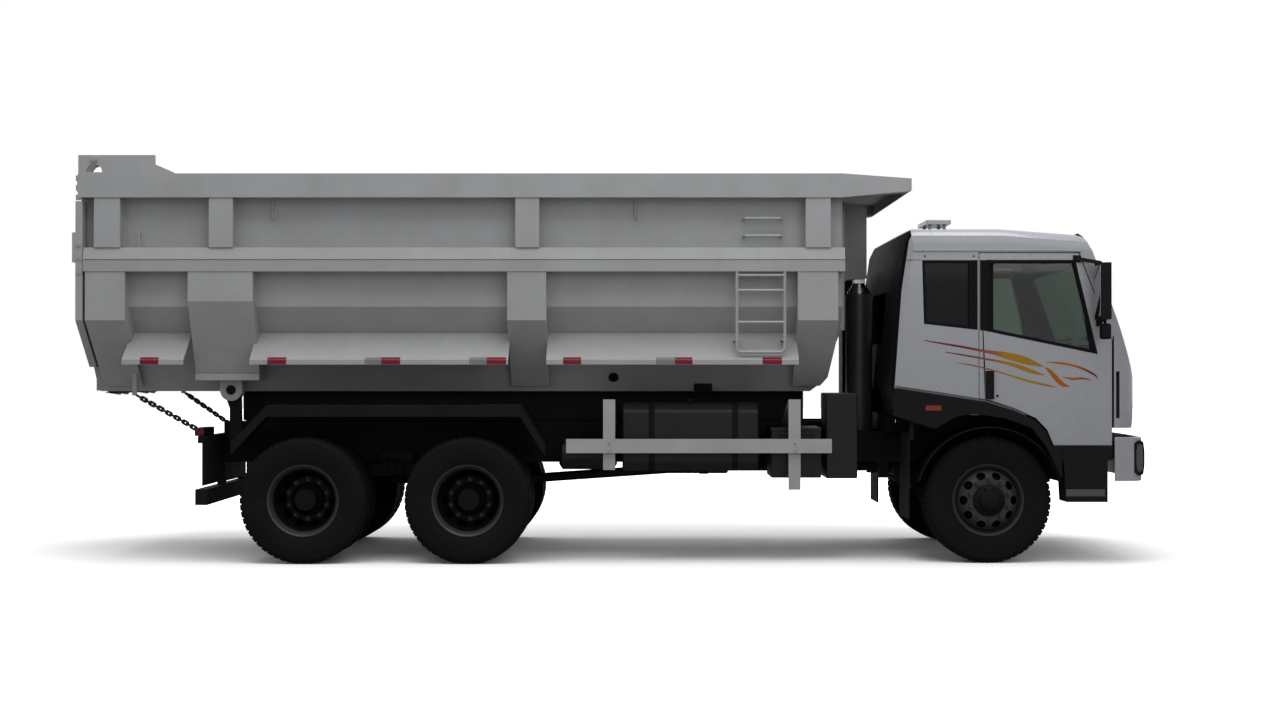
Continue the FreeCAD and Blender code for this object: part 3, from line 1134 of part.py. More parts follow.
def make_bed_ladder():
    """Right side ladder with two staple steps above it."""
    half = LADDER_BAR / 2
    y = BODY_HALF_WIDTH - half - 2.0
    top = MID_RAIL_TOP_Z - RAIL_HEIGHT
    parts = [box(x - half, x + half, y - half, y + half, LADDER_FOOT_Z, top) for x in LADDER_XS]
    for z in LADDER_RUNG_ZS + (LADDER_FOOT_Z + half,):
        parts.append(box(*LADDER_XS, y - half, y + half, z - half, z + half))
    ladder = mirrored(fused(parts))
    steps = []
    x0, x1 = STAPLE_XS
    out = BODY_HALF_WIDTH - 50.0
    for z in STAPLE_ZS:
        step = [box(x - half, x + half, BED_WALL_Y, out, z - half, z + half) for x in STAPLE_XS]
        step.append(box(x0 - half, x1 + half, out - half, out + half, z - half, z + half))
        steps.append(mirrored(fused(step)))
    write("bed_ladder", [ladder] + steps)


def make_bed_sills():
    """Two long sills under the floor with the cross bearers between them."""
    low = SUBFRAME_TOP_Z + GAP
    front = headboard_line()[0][0]
    sill = box(TIP_X + 10.0, front - 20.0, SILL_OUTER_Y - SILL_WIDTH, SILL_OUTER_Y, low, BED_FLOOR_Z)
    bearers = []
    inner = SILL_OUTER_Y - SILL_WIDTH
    x = TIP_X + BEARER_START
    while x < front - 100.0:
        bearers.append(box(x - 40.0, x + 40.0, -inner, inner, BED_FLOOR_Z - BEARER_DEPTH, BED_FLOOR_Z))
        x += BEARER_PITCH
    tail = box(BED_TAIL_X + 60.0, BED_TAIL_X + 160.0, -580.0, 580.0, BED_FLOOR_Z - 17.0, BED_FLOOR_Z)
    write("bed_sills", both(sill) + bearers + [tail])


def make_tailgate():
    """Top-hung tailgate with its frame bars and hinge arms."""
    x1 = BED_TAIL_X - GAP
    x0 = x1 - GATE_PLATE
    outline = [(wall_y(GATE_FOOT_Z + 30.0) - 10.0, GATE_FOOT_Z + 22.0), (BED_WALL_Y, BED_BEND_Z),
               (BED_WALL_Y, GATE_TOP_Z)]
    outline = outline + [(-y, z) for y, z in outline[::-1]]
    plate = prism_x(outline, x0, x1)
    parts = [plate] + both(gate_flange(x0, x1))
    top_bar_z = GATE_TOP_Z - GATE_TOP_BAR
    bars = ((BED_WALL_Y, top_bar_z, GATE_TOP_Z), (RIB_FACE_Y, *GATE_BAR_Z), (BED_WALL_Y, *GATE_LOW_BAR_Z))
    for half, z0, z1 in bars:
        parts.append(box(TAIL_X, x0, -half, half, z0, z1))
    foot_half = BED_FLOOR_HALF - 10.0
    parts.append(box(TAIL_X + 10.0, x0, -foot_half, foot_half, GATE_FOOT_Z + 22.0, GATE_FOOT_Z + 140.0))
    for y in GATE_POST_YS:
        parts.append(box(TAIL_X + 6.0, x0, y - 45.0, y + 45.0, GATE_LOW_BAR_Z[1], GATE_BAR_Z[0]))
        parts.append(box(TAIL_X + 6.0, x0, y - 45.0, y + 45.0, GATE_BAR_Z[1], top_bar_z))
    for side in (1, -1):
        y0 = side * GATE_HINGE_Y
        arm = prism_y([(TAIL_X, GATE_TOP_Z), (TAIL_X, GATE_HINGE_Z + 10.0),
                       (GATE_HINGE_X - 20.0, HINGE_PLATE_TOP_Z),
                       (GATE_HINGE_X + 36.0, GATE_HINGE_Z), (GATE_HINGE_X, GATE_HINGE_Z - 33.0),
                       (GATE_HINGE_X - 80.0, GATE_HINGE_Z - 42.0), (x1, GATE_TOP_Z)],
                      y0 - GATE_ARM / 2, y0 + GATE_ARM / 2)
        hole = Part.makeCylinder(GATE_PIN_RADIUS + FIT, GATE_ARM,
                                 V(GATE_HINGE_X, y0 - GATE_ARM / 2, GATE_HINGE_Z),
                                 V(0, 1, 0))
        parts.append(arm.cut(hole))
    write("tailgate", [fused(parts)])


def gate_flange(x0, x1):
    """Left side of the gate behind the ribs: a web in the gate's plane and a flange towards the ribs."""
    foot_y, foot_z = GATE_FLANGE_FOOT
    outer = [(RIB_FACE_Y, GATE_FLANGE_TOP_Z), (RIB_FACE_Y, RIB_BEND_Z), (foot_y, foot_z)]
    web = prism_x(outer + [(wall_y(foot_z) - 10.0, foot_z), (BED_WALL_Y - 10.0, BED_BEND_Z),
                           (BED_WALL_Y - 10.0, GATE_FLANGE_TOP_Z)], x0, x1)
    clear = 2 * GAP
    flange = prism_x(outer + [(wall_y(foot_z) + clear, foot_z), (BED_WALL_Y + clear, BED_BEND_Z),
                              (BED_WALL_Y + clear, GATE_FLANGE_TOP_Z)], *GATE_FLANGE_X)
    return fused([web, flange])


def gate_hinge():
    """Left hinge post on the top rail, with the tailgate's pin over an open arch."""
    y0, y1 = GATE_HINGE_Y + GATE_ARM / 2 + SEAT, GATE_HINGE_Y + GATE_ARM / 2 + SEAT + 30.0
    x, z = GATE_HINGE_X, GATE_HINGE_Z
    top, foot = HINGE_PLATE_TOP_Z, BED_TOP_Z + 14.0
    outline = [(x - 133.0, BED_TOP_Z), (x - 133.0, top), (x + 505.0, top), (x + 505.0, BED_TOP_Z + 82.0),
               (x + 672.0, BED_TOP_Z + 8.0), (x + 680.0, BED_TOP_Z)]
    plate = prism_y(outline, HINGE_PLATE_Y, HINGE_PLATE_Y + 30.0)
    arm = box(x - 100.0, x + 100.0, y0, y1, BED_TOP_Z, top)
    pin_y = GATE_HINGE_Y - GATE_ARM / 2
    pin = Part.makeCylinder(GATE_PIN_RADIUS, HINGE_PLATE_Y - pin_y, V(x, pin_y, z), V(0, 1, 0))
    seat = box(x - 100.0, x + 100.0, y0, HINGE_PLATE_Y, BED_TOP_Z, foot)
    arch = Part.makeCylinder(HINGE_ARCH_RADIUS, BODY_HALF_WIDTH, V(x, 0, foot), V(0, 1, 0))
    arch = arch.common(box(x - 200.0, x + 200.0, 0, BODY_HALF_WIDTH, foot, top))
    return fused([plate, arm, seat]).cut(arch).fuse(pin).removeSplitter()


# Hoist

def make_hoist():
    """Barrel and its sliding stages, closed at rest."""
    foot = HOIST_BASE_Z + HOIST_FOOT_RISE
    top = HOIST_TOP_Z - HOIST_EYE_RADIUS - 12.0
    last = len(HOIST_RADII) - 1
    for i, radius in enumerate(HOIST_RADII):
        low = foot + 24.0 * i
        high = top - HOIST_STEP * (last - i)
        tube = turned([(radius, low), (radius, high)], HOIST_SIDES, "z")
        if i < last:
            inner = HOIST_RADII[i + 1] + HOIST_PLAY
            tube = tube.cut(turned([(inner, low + 20.0), (inner, high + 1.0)], HOIST_SIDES, "z"))
        tube = at(tube, HOIST_X, 0, 0)
        if i == 0:
            tube = fused([tube, hoist_eye(HOIST_BASE_Z, foot + 10.0, FIT)])
        if i == last:
            tube = fused([tube, hoist_eye(HOIST_TOP_Z, high - 10.0, None)])
        write("hoist_stage_%d" % i if i else "hoist_barrel", [tube])


def hoist_eye(z, join_z, clearance):
    """Eye at one end of the hoist with its neck, bored where a chassis pin passes."""
    half = HOIST_EYE_WIDTH / 2
    eye = Part.makeCylinder(HOIST_EYE_RADIUS, HOIST_EYE_WIDTH, V(HOIST_X, -half, z), V(0, 1, 0))
    neck = box(HOIST_X - 50.0, HOIST_X + 50.0, -half, half, min(z, join_z), max(z, join_z))
    body = fused([eye, neck])
    if clearance is None:
        return body
    return body.cut(Part.makeCylinder(HOIST_PIN_RADIUS + clearance, HOIST_EYE_WIDTH, V(HOIST_X, -half, z),
                                      V(0, 1, 0)))


# Cab

CAB_BACK = ((CAB_REAR_X + 42.0, CAB_FLOOR_Z), (CAB_REAR_X, 1490.0), (CAB_REAR_X + 58.0, 2278.0),
            (CAB_REAR_X + 120.0, 2690.0),
            (CAB_REAR_X + 168.0, 2790.0), (CAB_REAR_X + 232.0, CAB_TOP_Z))
CAB_NOSE = ((CAB_FRONT_X - 550.0, 2790.0), (CAB_FRONT_X - 430.0, 2722.0), (CAB_FRONT_X - 369.0, 2600.0),
            (CAB_FRONT_X - 150.0, 1988.0), (CAB_FRONT_X - 40.0, 1648.0), (CAB_FRONT_X, 1520.0),
            (CAB_FRONT_X, 1290.0))
CAB_LIP_X = CAB_FRONT_X - CAB_LIP_SETBACK
CAB_OUTLINE = CAB_BACK + ((CAB_ROOF_BREAK_X, CAB_TOP_Z),) + CAB_NOSE + (
    (CAB_LIP_X, CAB_FRONT_LIP_Z), (CAB_LIP_X - CAB_WALL, CAB_FRONT_LIP_Z),
    (CAB_LIP_X - CAB_WALL, CAB_FLOOR_Z))
FLOOR_TOP_Z = CAB_FLOOR_Z + CAB_WALL


def cab_inside():
    """Side outline of the room inside the cab."""
    wall = CAB_WALL
    back = [(CAB_REAR_X + wall + 8.0, FLOOR_TOP_Z)] + [(x + wall, z) for x, z in CAB_BACK[1:4]]
    roof = [(CAB_BACK[-1][0] + 10.0, CAB_TOP_Z - wall), (CAB_ROOF_BREAK_X - 10.0, CAB_TOP_Z - wall)]
    nose = [(x - 20.0, z - wall) for x, z in CAB_NOSE[:1]] + [(x - wall + 8.0, z - 32.0) for x,
                                                              z in CAB_NOSE[1:2]]
    front = [(x - wall - 4.0, z) for x, z in CAB_NOSE[2:6]]
    return back + roof + nose + front + [(CAB_FRONT_X - wall - 4.0, FLOOR_TOP_Z)]


def cab_section(inset):
    """Room under the crowned roof with its round shoulders, falling towards the windscreen."""
    side, roof = CAB_HALF_WIDTH - inset, CAB_ROOF_Z - inset
    half = [(side, 0.0)] + [(side - dy, roof - dz) for dy, dz in CAB_SHOULDER]
    half += [(side / 2, roof + (CAB_TOP_Z - CAB_ROOF_Z) * 0.75), (side / 6, CAB_TOP_Z - inset)]
    section = half + [(-y, z) for y, z in half[::-1]]
    run = CAB_FRONT_X + 100.0 - CAB_ROOF_BREAK_X
    front = polygon_face([V(CAB_ROOF_BREAK_X, y, z) for y, z in section]).extrude(V(run, 0,
                                                                                    -run * CAB_ROOF_FALL))
    return fused([prism_x(section, CAB_REAR_X - 100.0, CAB_ROOF_BREAK_X), front])


def cab_rear_corner():
    """Left wedge that is cut away behind the cab's rounded rear corner."""
    line = [(CAB_BACK[0][0], CAB_FLOOR_Z - 200.0)] + list(CAB_BACK) + [(CAB_BACK[-1][0], CAB_TOP_Z + 100.0)]
    wedges = []
    for (shift, inwards), (next_shift, next_inwards) in zip(CAB_REAR_ROUND, CAB_REAR_ROUND[1:]):
        y = CAB_HALF_WIDTH - inwards
        ring = [(x + shift, z) for x, z in line]
        ring += [(CAB_REAR_X - 300.0, ring[-1][1]), (CAB_REAR_X - 300.0, ring[0][1])]
        run = V(next_shift - shift, inwards - next_inwards, 0)
        wedges.append(polygon_face([V(x, y, z) for x, z in ring]).extrude(run))
    return fused(wedges)


def cab_plan(inset):
    """Plan of the cab with rounded front corners, moved inwards by inset."""
    side = CAB_HALF_WIDTH - inset
    nose = CAB_FRONT_X - inset
    radius = CAB_CORNER_RADIUS - inset
    rear = CAB_REAR_X - 50.0 + inset
    bend = radius * (1 - math.sqrt(0.5))
    edges = Part.makePolygon([V(nose, -side + radius, 0), V(nose, side - radius, 0)]).Edges
    edges.append(Part.Arc(V(nose, side - radius, 0), V(nose - bend, side - bend, 0),
                          V(nose - radius, side, 0)).toShape())
    edges += Part.makePolygon([V(nose - radius, side, 0), V(rear, side, 0), V(rear, -side, 0),
                               V(nose - radius, -side, 0)]).Edges
    edges.append(Part.Arc(V(nose - radius, -side, 0), V(nose - bend, -side + bend, 0),
                          V(nose, -side + radius, 0)).toShape())
    return Part.Face(Part.Wire(edges))


def cab_block(outline, inset):
    """Solid of a side outline inside the rounded plan and under the crowned roof."""
    plan = cab_plan(inset).extrude(V(0, 0, 4000.0))
    block = prism_y(list(outline), -CAB_HALF_WIDTH - 10.0, CAB_HALF_WIDTH + 10.0)
    return block.common(plan).common(cab_section(inset))


def door_outline(grow):
    """Side outline of the door, grown by the running gap for its opening."""
    rise = grow * 0.4
    lower = [(x, z - rise) for x, z in ARCH_EDGE if x > DOOR_REAR_X + 20.0]
    first = (DOOR_REAR_X - grow, line_at(ARCH_EDGE, DOOR_REAR_X) - rise)
    foot = [(ARCH_EDGE[-1][0] + 8.0, DOOR_BOTTOM_Z - grow), (DOOR_FRONT_X + grow, DOOR_BOTTOM_Z - grow)]
    top = [(DOOR_FRONT_X + grow, DOOR_BEND_Z), (DOOR_TOP_FRONT_X + grow, DOOR_TOP_Z + grow),
           (DOOR_REAR_X - grow, DOOR_TOP_Z + grow)]
    return [first] + lower + foot + top


def door_window():
    """Side outline of the door's window."""
    x0, x1 = DOOR_REAR_X + WINDOW_BORDER, DOOR_FRONT_X - 119.0
    top = DOOR_TOP_Z - WINDOW_BORDER
    front_z = WINDOW_SILL_Z - WINDOW_FALL * (x1 - x0)
    return [(x0, WINDOW_SILL_Z), (x1, front_z), (DOOR_TOP_FRONT_X - 30.0, top), (x0, top)]


def quarter_window():
    """Side outline of the fixed window behind the door."""
    rear = CAB_REAR_X + 262.0
    return [(rear, 2000.0), (QUARTER_FRONT_X, 1955.0), (QUARTER_FRONT_X, 2530.0), (rear - 15.0, 2530.0)]


def door_striker():
    """Left striker block on the rear door post, which the closed door rests against."""
    inner = CAB_HALF_WIDTH - DOOR_THICKNESS
    plate = box(DOOR_REAR_X - 50.0, DOOR_REAR_X + 25.0, inner - 35.0, inner - SEAT, STRIKER_Z,
                STRIKER_Z + 60.0)
    root = box(DOOR_REAR_X - 50.0, DOOR_REAR_X - 2 * GAP, inner - 35.0, inner + GAP, STRIKER_Z,
               STRIKER_Z + 60.0)
    return fused([plate, root])


def make_cab():
    """Cab shell with its openings, and the fixed glass."""
    shell = cab_block(CAB_OUTLINE, 0).cut(cab_block(cab_inside(), CAB_WALL))
    half, wall = HUMP_HALF_WIDTH, HUMP_WALL
    hump = box(*HUMP_X, -half, half, CAB_FLOOR_Z, HUMP_TOP_Z)
    tunnel = box(HUMP_X[0] - 120.0, HUMP_X[1] - 20.0, -half + wall, half - wall, CAB_FLOOR_Z - 10.0,
                 HUMP_TOP_Z - wall)
    shell = without(fused([shell, hump]).cut(tunnel), cab_rear_corner())
    well_outer, well_inner = footwell()
    shell = without(fused([shell] + both(well_outer) + both(front_corner())), well_inner)
    side_window = prism_y(quarter_window(), CAB_HALF_WIDTH - 100.0, CAB_HALF_WIDTH + 20.0)
    for piece in (wing_recess(), door_opening(), side_window):
        shell = without(shell, piece)
    rear_window = box(CAB_REAR_X - 128.0, CAB_REAR_X + 142.0, -REAR_WINDOW_HALF, REAR_WINDOW_HALF,
                      *REAR_WINDOW_Z)
    shell = shell.cut(screen_room(CAB_FRONT_X - 450.0)).cut(rear_window)
    write("cab_shell", [fused([shell] + both(cab_lug()) + both(door_striker()))])
    glass_band = cab_block(CAB_OUTLINE, 10.0).cut(cab_block([(x - 12.0, z) for x, z in CAB_OUTLINE], 22.0))
    screen = glass_band.common(screen_room(CAB_FRONT_X - 665.0))
    quarter = prism_y(quarter_window(), CAB_HALF_WIDTH - 30.0, CAB_HALF_WIDTH - 30.0 + GLASS_THICKNESS)
    write("cab_glass", both(quarter) + [screen])


def without(shape, piece):
    """A shape cut by a left piece and by its mirror image."""
    for cutter in both(piece):
        shape = shape.cut(cutter)
    return shape


def footwell():
    """Outer block and inner room of the left footwell that hangs below the floor."""
    x0, x1 = FOOTWELL_X
    y0, y1 = FOOTWELL_INNER_Y, CAB_HALF_WIDTH - CAB_SKIN_LIP
    inner = box(x0 + 40.0, x1 - 43.0, y0 + 40.0, CAB_HALF_WIDTH, DOOR_BOTTOM_Z + 40.0, FLOOR_TOP_Z + 1.0)
    return box(x0, x1, y0, y1, DOOR_BOTTOM_Z, CAB_FLOOR_Z + 10.0), inner


def front_corner():
    """Left corner of the cab ahead of the door, down to the nose's lip."""
    x0, x1 = DOOR_FRONT_X + GAP, CAB_LIP_X - 10.0
    outline = [(x0, DOOR_BEND_Z), (x0, CAB_FRONT_LIP_Z), (x1, CAB_FRONT_LIP_Z), (x1, 1500.0)]
    plan = cab_plan(0).extrude(V(0, 0, 4000.0))
    return prism_y(outline, CAB_HALF_WIDTH - 60.0, CAB_HALF_WIDTH).common(plan)


def wing_recess():
    """Room that the left wing flare takes in the cab's side."""
    x, low = CAB_REAR_X - 128.0, 900.0
    outline = [(x, low), (x, CAB_BACK[1][1])] + list(ARCH_EDGE) + [(ARCH_EDGE[-1][0], low)]
    return prism_y(outline, CAB_HALF_WIDTH - CAB_SKIN_LIP, CAB_HALF_WIDTH + 20.0)


def door_opening():
    """Room that the left door takes in the cab's side."""
    return prism_y(door_outline(GAP), CAB_HALF_WIDTH - 120.0, CAB_HALF_WIDTH + 20.0)


def screen_room(rear):
    """Block round the windscreen, from a station to beyond the cab's front."""
    return box(rear, CAB_FRONT_X + 20.0, -SCREEN_HALF, SCREEN_HALF, *SCREEN_Z)


def cab_lug():
    """Left lug under the floor, bored for the pin that the cab tilts on."""
    y0, y1 = CAB_LUG_Y - CAB_LUG_THICKNESS / 2, CAB_LUG_Y + CAB_LUG_THICKNESS / 2
    radius = 40.0
    foot = V(CAB_TILT_X, y0, CAB_TILT_Z)
    lug = fused([box(CAB_TILT_X - radius, CAB_TILT_X + radius, y0, y1, CAB_TILT_Z, CAB_FLOOR_Z),
                 Part.makeCylinder(radius, CAB_LUG_THICKNESS, foot, V(0, 1, 0))])
    return lug.cut(Part.makeCylinder(CAB_PIN_RADIUS + FIT, CAB_LUG_THICKNESS, foot, V(0, 1, 0)))


def make_cab_front():
    """Grille panel on the cab's nose."""
    x0, x1 = CAB_FRONT_X, CAB_FRONT_X + GRILLE_DEPTH
    bars = [box(x0, x1, -GRILLE_HALF, GRILLE_HALF, z, z + GRILLE_SLAT) for z in GRILLE_ZS]
    post = box(x0, x1, GRILLE_HALF - 20.0, GRILLE_HALF + 20.0, GRILLE_ZS[0], GRILLE_ZS[-1] + GRILLE_SLAT)
    write("cab_grille", [fused(bars + both(post))])


def seat(y):
    """Seat with its box, cushion and back."""
    base = box(2800.0, 3240.0, y - 230.0, y + 230.0, FLOOR_TOP_Z, 1500.0)
    cushion = box(2760.0, 3290.0, y - 255.0, y + 255.0, 1500.0, 1620.0)
    back = prism_y([(2760.0, 1620.0), (2880.0, 1620.0), (2760.0, 2300.0), (2660.0, 2300.0)], y - 240.0,
                   y + 240.0)
    return fused([base, cushion, back])


def make_interior():
    """Two seats, dashboard and steering wheel."""
    low = FLOOR_TOP_Z + DASH_FOOT_RISE
    outline = [(3950.0, low), (3920.0, 1740.0), (4000.0, 1840.0), (4120.0, 1800.0), (4190.0, 1660.0),
               (4200.0, low)]
    dash = prism_y(outline, -DASH_HALF, DASH_HALF)
    foot = box(4040.0, 4200.0, -600.0, 600.0, FLOOR_TOP_Z, low)
    hub = V(WHEEL_CENTRE[0], SEAT_Y, WHEEL_CENTRE[1])
    column = rod(hub + V(180.0, 0, -160.0), hub, 30.0)
    write("cab_interior", [seat(SEAT_Y), seat(-SEAT_Y), fused([dash, foot, column, steering_wheel(hub)])])


def steering_wheel(hub):
    """Rim and spoke, leant towards the driver."""
    inner, outer = WHEEL_RADII
    ring = turned([(outer, -14.0), (outer, 14.0)], HUB_SIDES, "z")
    wheel = fused([ring.cut(turned([(inner, -20.0), (inner, 20.0)], HUB_SIDES, "z")),
                   box(-inner - 10.0, inner + 10.0, -20.0, 20.0, -10.0, 10.0)])
    wheel.rotate(V(0, 0, 0), V(0, 1, 0), WHEEL_TILT)
    wheel.translate(hub)
    return wheel


def make_roof_hatch():
    """Raised vent hatch on its four posts above the roof."""
    x0, x1 = HATCH_X
    half, height = HATCH_HALF_WIDTH, HATCH_HEIGHT
    frame = box(x0 + 20.0, x1 - 20.0, -half + 20.0, half - 20.0, CAB_TOP_Z, CAB_TOP_Z + 20.0).common(
        box(x0, x1, -CAB_HALF_WIDTH / 6, CAB_HALF_WIDTH / 6, 0.0, CAB_TOP_Z + height))
    posts = [box(x - 14.0, x + 14.0, y - 14.0, y + 14.0, CAB_TOP_Z, CAB_TOP_Z + height - 40.0)
             for x in (x0 + 45.0, x1 - 45.0) for y in (-150.0, 150.0)]
    lid = box(x0, x1, -half, half, CAB_TOP_Z + height - 40.0, CAB_TOP_Z + height)
    write("roof_hatch", [fused([frame, lid] + posts)])


def door_mirror():
    """Left mirror head on its two arms, each with a pad on the door."""
    outer = CAB_HALF_WIDTH
    root = outer + MIRROR_FOOT
    upper, lower = V(3860.0, root, 2540.0), V(4045.0, root, 2010.0)
    feet = [box(upper.x - 30.0, upper.x + 30.0, outer, root, upper.z - 30.0, upper.z + 30.0),
            box(lower.x - 25.0, lower.x + 25.0, outer, root, lower.z - 30.0, lower.z + 30.0)]
    arms = [square_bar(upper, V(4030.0, outer + 130.0, 2500.0), MIRROR_ARM),
            square_bar(lower, V(4060.0, outer + 120.0, 2050.0), MIRROR_ARM)]
    near, far = MIRROR_HEAD_OUT
    return fused(feet + arms + [box(*MIRROR_HEAD_X, outer + near, outer + far, *MIRROR_HEAD_Z)])


def make_doors():
    """Both doors with their glass and mirrors."""
    outer, inner = CAB_HALF_WIDTH, CAB_HALF_WIDTH - DOOR_THICKNESS
    panel = prism_y(door_outline(0), inner, outer).cut(prism_y(door_window(), inner - 5.0, outer + 5.0))
    handle = box(DOOR_REAR_X + 50.0, DOOR_REAR_X + 120.0, outer, outer + HANDLE_DEPTH, *HANDLE_Z)
    door = fused([panel, handle])
    pane = prism_y(door_window(), inner + 18.0, inner + 18.0 + GLASS_THICKNESS)
    mirror = door_mirror()
    for side, name in ((1, "left"), (-1, "right")):
        pick = (lambda s: s) if side > 0 else mirrored
        write("door_" + name, [pick(door)])
        write("door_glass_" + name, [pick(pane)])
        write("mirror_" + name, [pick(mirror)])


def main():
    """Write every sub-part."""
    os.makedirs("parts", exist_ok=True)
    make_frame()
    make_tip_brackets()
    make_front_axle()
    make_knuckles()
    make_springs()
    make_drive_axles()
    make_engine()
    make_driveline()
    make_side_equipment()
    make_side_guards()
    make_rear_mudguards()
    make_mud_flaps()
    make_front_wings()
    make_bumper()
    make_chains()
    make_bed_floor()
    make_bed_sides()
    make_headboard()
    make_bed_ribs()
    make_bed_rails()
    make_bed_skirts()
    make_cab_guard()
    make_bed_ladder()
    make_bed_sills()
    make_tailgate()
    make_hoist()
    make_cab()
    make_cab_front()
    make_interior()
    make_roof_hatch()
    make_doors()
    make_wheels()


main()
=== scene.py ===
"""Looks of a three-axle dump truck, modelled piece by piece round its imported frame.

X points forward, Y to the left and Z up from the ground. Every size is in metres.
"""
import logging
import math
from collections.abc import Callable, Iterable, Iterator, Sequence
from contextlib import contextmanager
from dataclasses import dataclass
from enum import Enum

import bmesh
import bpy
from mathutils import Matrix, Vector


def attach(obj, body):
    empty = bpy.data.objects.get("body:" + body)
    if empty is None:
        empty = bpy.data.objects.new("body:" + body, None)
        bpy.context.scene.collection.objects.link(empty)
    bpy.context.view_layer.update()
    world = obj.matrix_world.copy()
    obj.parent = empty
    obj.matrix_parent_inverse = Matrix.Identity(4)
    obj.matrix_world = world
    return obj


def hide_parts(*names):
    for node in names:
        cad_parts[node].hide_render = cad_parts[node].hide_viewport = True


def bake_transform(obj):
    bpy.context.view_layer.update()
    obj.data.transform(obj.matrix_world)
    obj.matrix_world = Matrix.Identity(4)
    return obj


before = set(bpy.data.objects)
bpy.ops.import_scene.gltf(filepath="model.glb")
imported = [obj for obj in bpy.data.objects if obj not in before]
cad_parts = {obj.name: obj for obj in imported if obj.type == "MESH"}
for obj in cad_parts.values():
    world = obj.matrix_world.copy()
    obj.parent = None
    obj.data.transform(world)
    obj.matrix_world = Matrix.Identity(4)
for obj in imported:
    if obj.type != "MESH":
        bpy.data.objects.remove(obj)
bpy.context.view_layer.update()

LOG = logging.getLogger("dump_truck")
Point = tuple[float, float, float]
Pair = tuple[float, float]
Colour = tuple[float, float, float]
Piece = bpy.types.Object
Socket = bpy.types.NodeSocket
Sockets = bpy.types.bpy_prop_collection
MIRROR = Matrix.Scale(-1.0, 4, (0.0, 1.0, 0.0))
FACET = 1e-5                            # corners closer than this are one
SMOOTH_ANGLE = math.radians(32)         # smallest turn between faces that is shaded as an edge
SKIN_ANGLE = 25.0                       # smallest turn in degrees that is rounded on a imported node's copy
TUBE_ROUNDS = 2                         # how finely a tube's section is rounded

AXLE_Z = 0.527
FRONT_AXLE_X = 3.143
REAR_AXLE_XS = (-1.207, -2.577)
FRONT_TRACK_HALF = 1.0
DUAL_INNER_Y = 0.775
DUAL_SPACING = 0.32


class Side(Enum):
    """The truck's two sides, as the sign of Y."""

    LEFT = 1
    RIGHT = -1

    @property
    def word(self) -> str:
        """The side's name as it stands in the names of bodies and pieces."""
        return self.name.lower()


class Line(Enum):
    """How a curve runs through its points."""

    SMOOTH = "NURBS"
    STRAIGHT = "POLY"


# Modelling tools

def deselect() -> None:
    """Go back to Object mode with nothing selected."""
    if bpy.context.object and bpy.context.object.mode != "OBJECT":
        bpy.ops.object.mode_set(mode="OBJECT")
    bpy.ops.object.select_all(action="DESELECT")


def activate(piece: Piece) -> Piece:
    """Select one piece alone and make it the active one.

    Args:
        piece: the piece to select.

    Returns:
        The same piece.
    """
    deselect()
    piece.select_set(True)
    bpy.context.view_layer.objects.active = piece
    return piece


@contextmanager
def editing(piece: Piece, kind: str = "FACE") -> Iterator[None]:
    """Work on a piece in Edit mode.

    Args:
        piece: the mesh to open.
        kind: VERT, EDGE or FACE select mode.
    """
    activate(piece)
    bpy.ops.object.mode_set(mode="EDIT")
    bpy.ops.mesh.select_mode(type=kind)
    bpy.ops.mesh.select_all(action="SELECT")
    yield
    bpy.ops.object.mode_set(mode="OBJECT")


def pick_faces(piece: Piece, test: Callable[[Vector, Vector], bool]) -> None:
    """Select the faces whose centre and normal pass a test, in Edit mode.

    Args:
        piece: the mesh being edited.
        test: takes a face's centre and normal.
    """
    bpy.ops.mesh.select_all(action="DESELECT")
    mesh = bmesh.from_edit_mesh(piece.data)
    for face in mesh.faces:
        face.select_set(test(face.calc_center_median(), face.normal))
    bmesh.update_edit_mesh(piece.data)


def settled(piece: Piece, name: str) -> Piece:
    """Name a piece and move its place into its mesh.

    Args:
        piece: the object to settle.
        name: its new name.

    Returns:
        The same object, at the origin.
    """
    activate(piece)
    piece.name = name
    bpy.ops.object.transform_apply(location=True, rotation=True, scale=True)
    return piece


def modified(piece: Piece, kind: str, **values: object) -> Piece:
    """Add a modifier, set it and apply it.

    Args:
        piece: the mesh to change.
        kind: the modifier's type.
        values: its settings.

    Returns:
        The same piece.
    """
    activate(piece)
    modifier = piece.modifiers.new(kind.title(), kind)
    for key, value in values.items():
        setattr(modifier, key, value)
    bpy.ops.object.modifier_apply(modifier=modifier.name)
    return piece


def eased(piece: Piece, width: float, segments: int = 2, angle: float = 30.0) -> Piece:
    """Round the edges of a piece.

    Args:
        piece: the mesh to round.
        width: width of the rounding.
        segments: faces across it.
        angle: smallest turn in degrees that counts as an edge.

    Returns:
        The same piece.
    """
    return modified(piece, "BEVEL", width=width, segments=segments, limit_method="ANGLE",
                    angle_limit=math.radians(angle), use_clamp_overlap=True)


def block(name: str, low: Sequence[float], high: Sequence[float], ease: float = 0.0,
          segments: int = 2) -> Piece:
    """Box between two corners with eased edges.

    Args:
        name: the piece's name.
        low: lowest corner.
        high: highest corner.
        ease: width of its rounded edges, or 0 for none.
        segments: faces across each rounding.

    Returns:
        The new piece.
    """
    deselect()
    centre = [(a + b) / 2 for a, b in zip(low, high)]
    size = [b - a for a, b in zip(low, high)]
    bpy.ops.mesh.primitive_cube_add(size=1, location=centre, scale=size)
    piece = settled(bpy.context.object, name)
    return eased(piece, ease, segments) if ease else piece


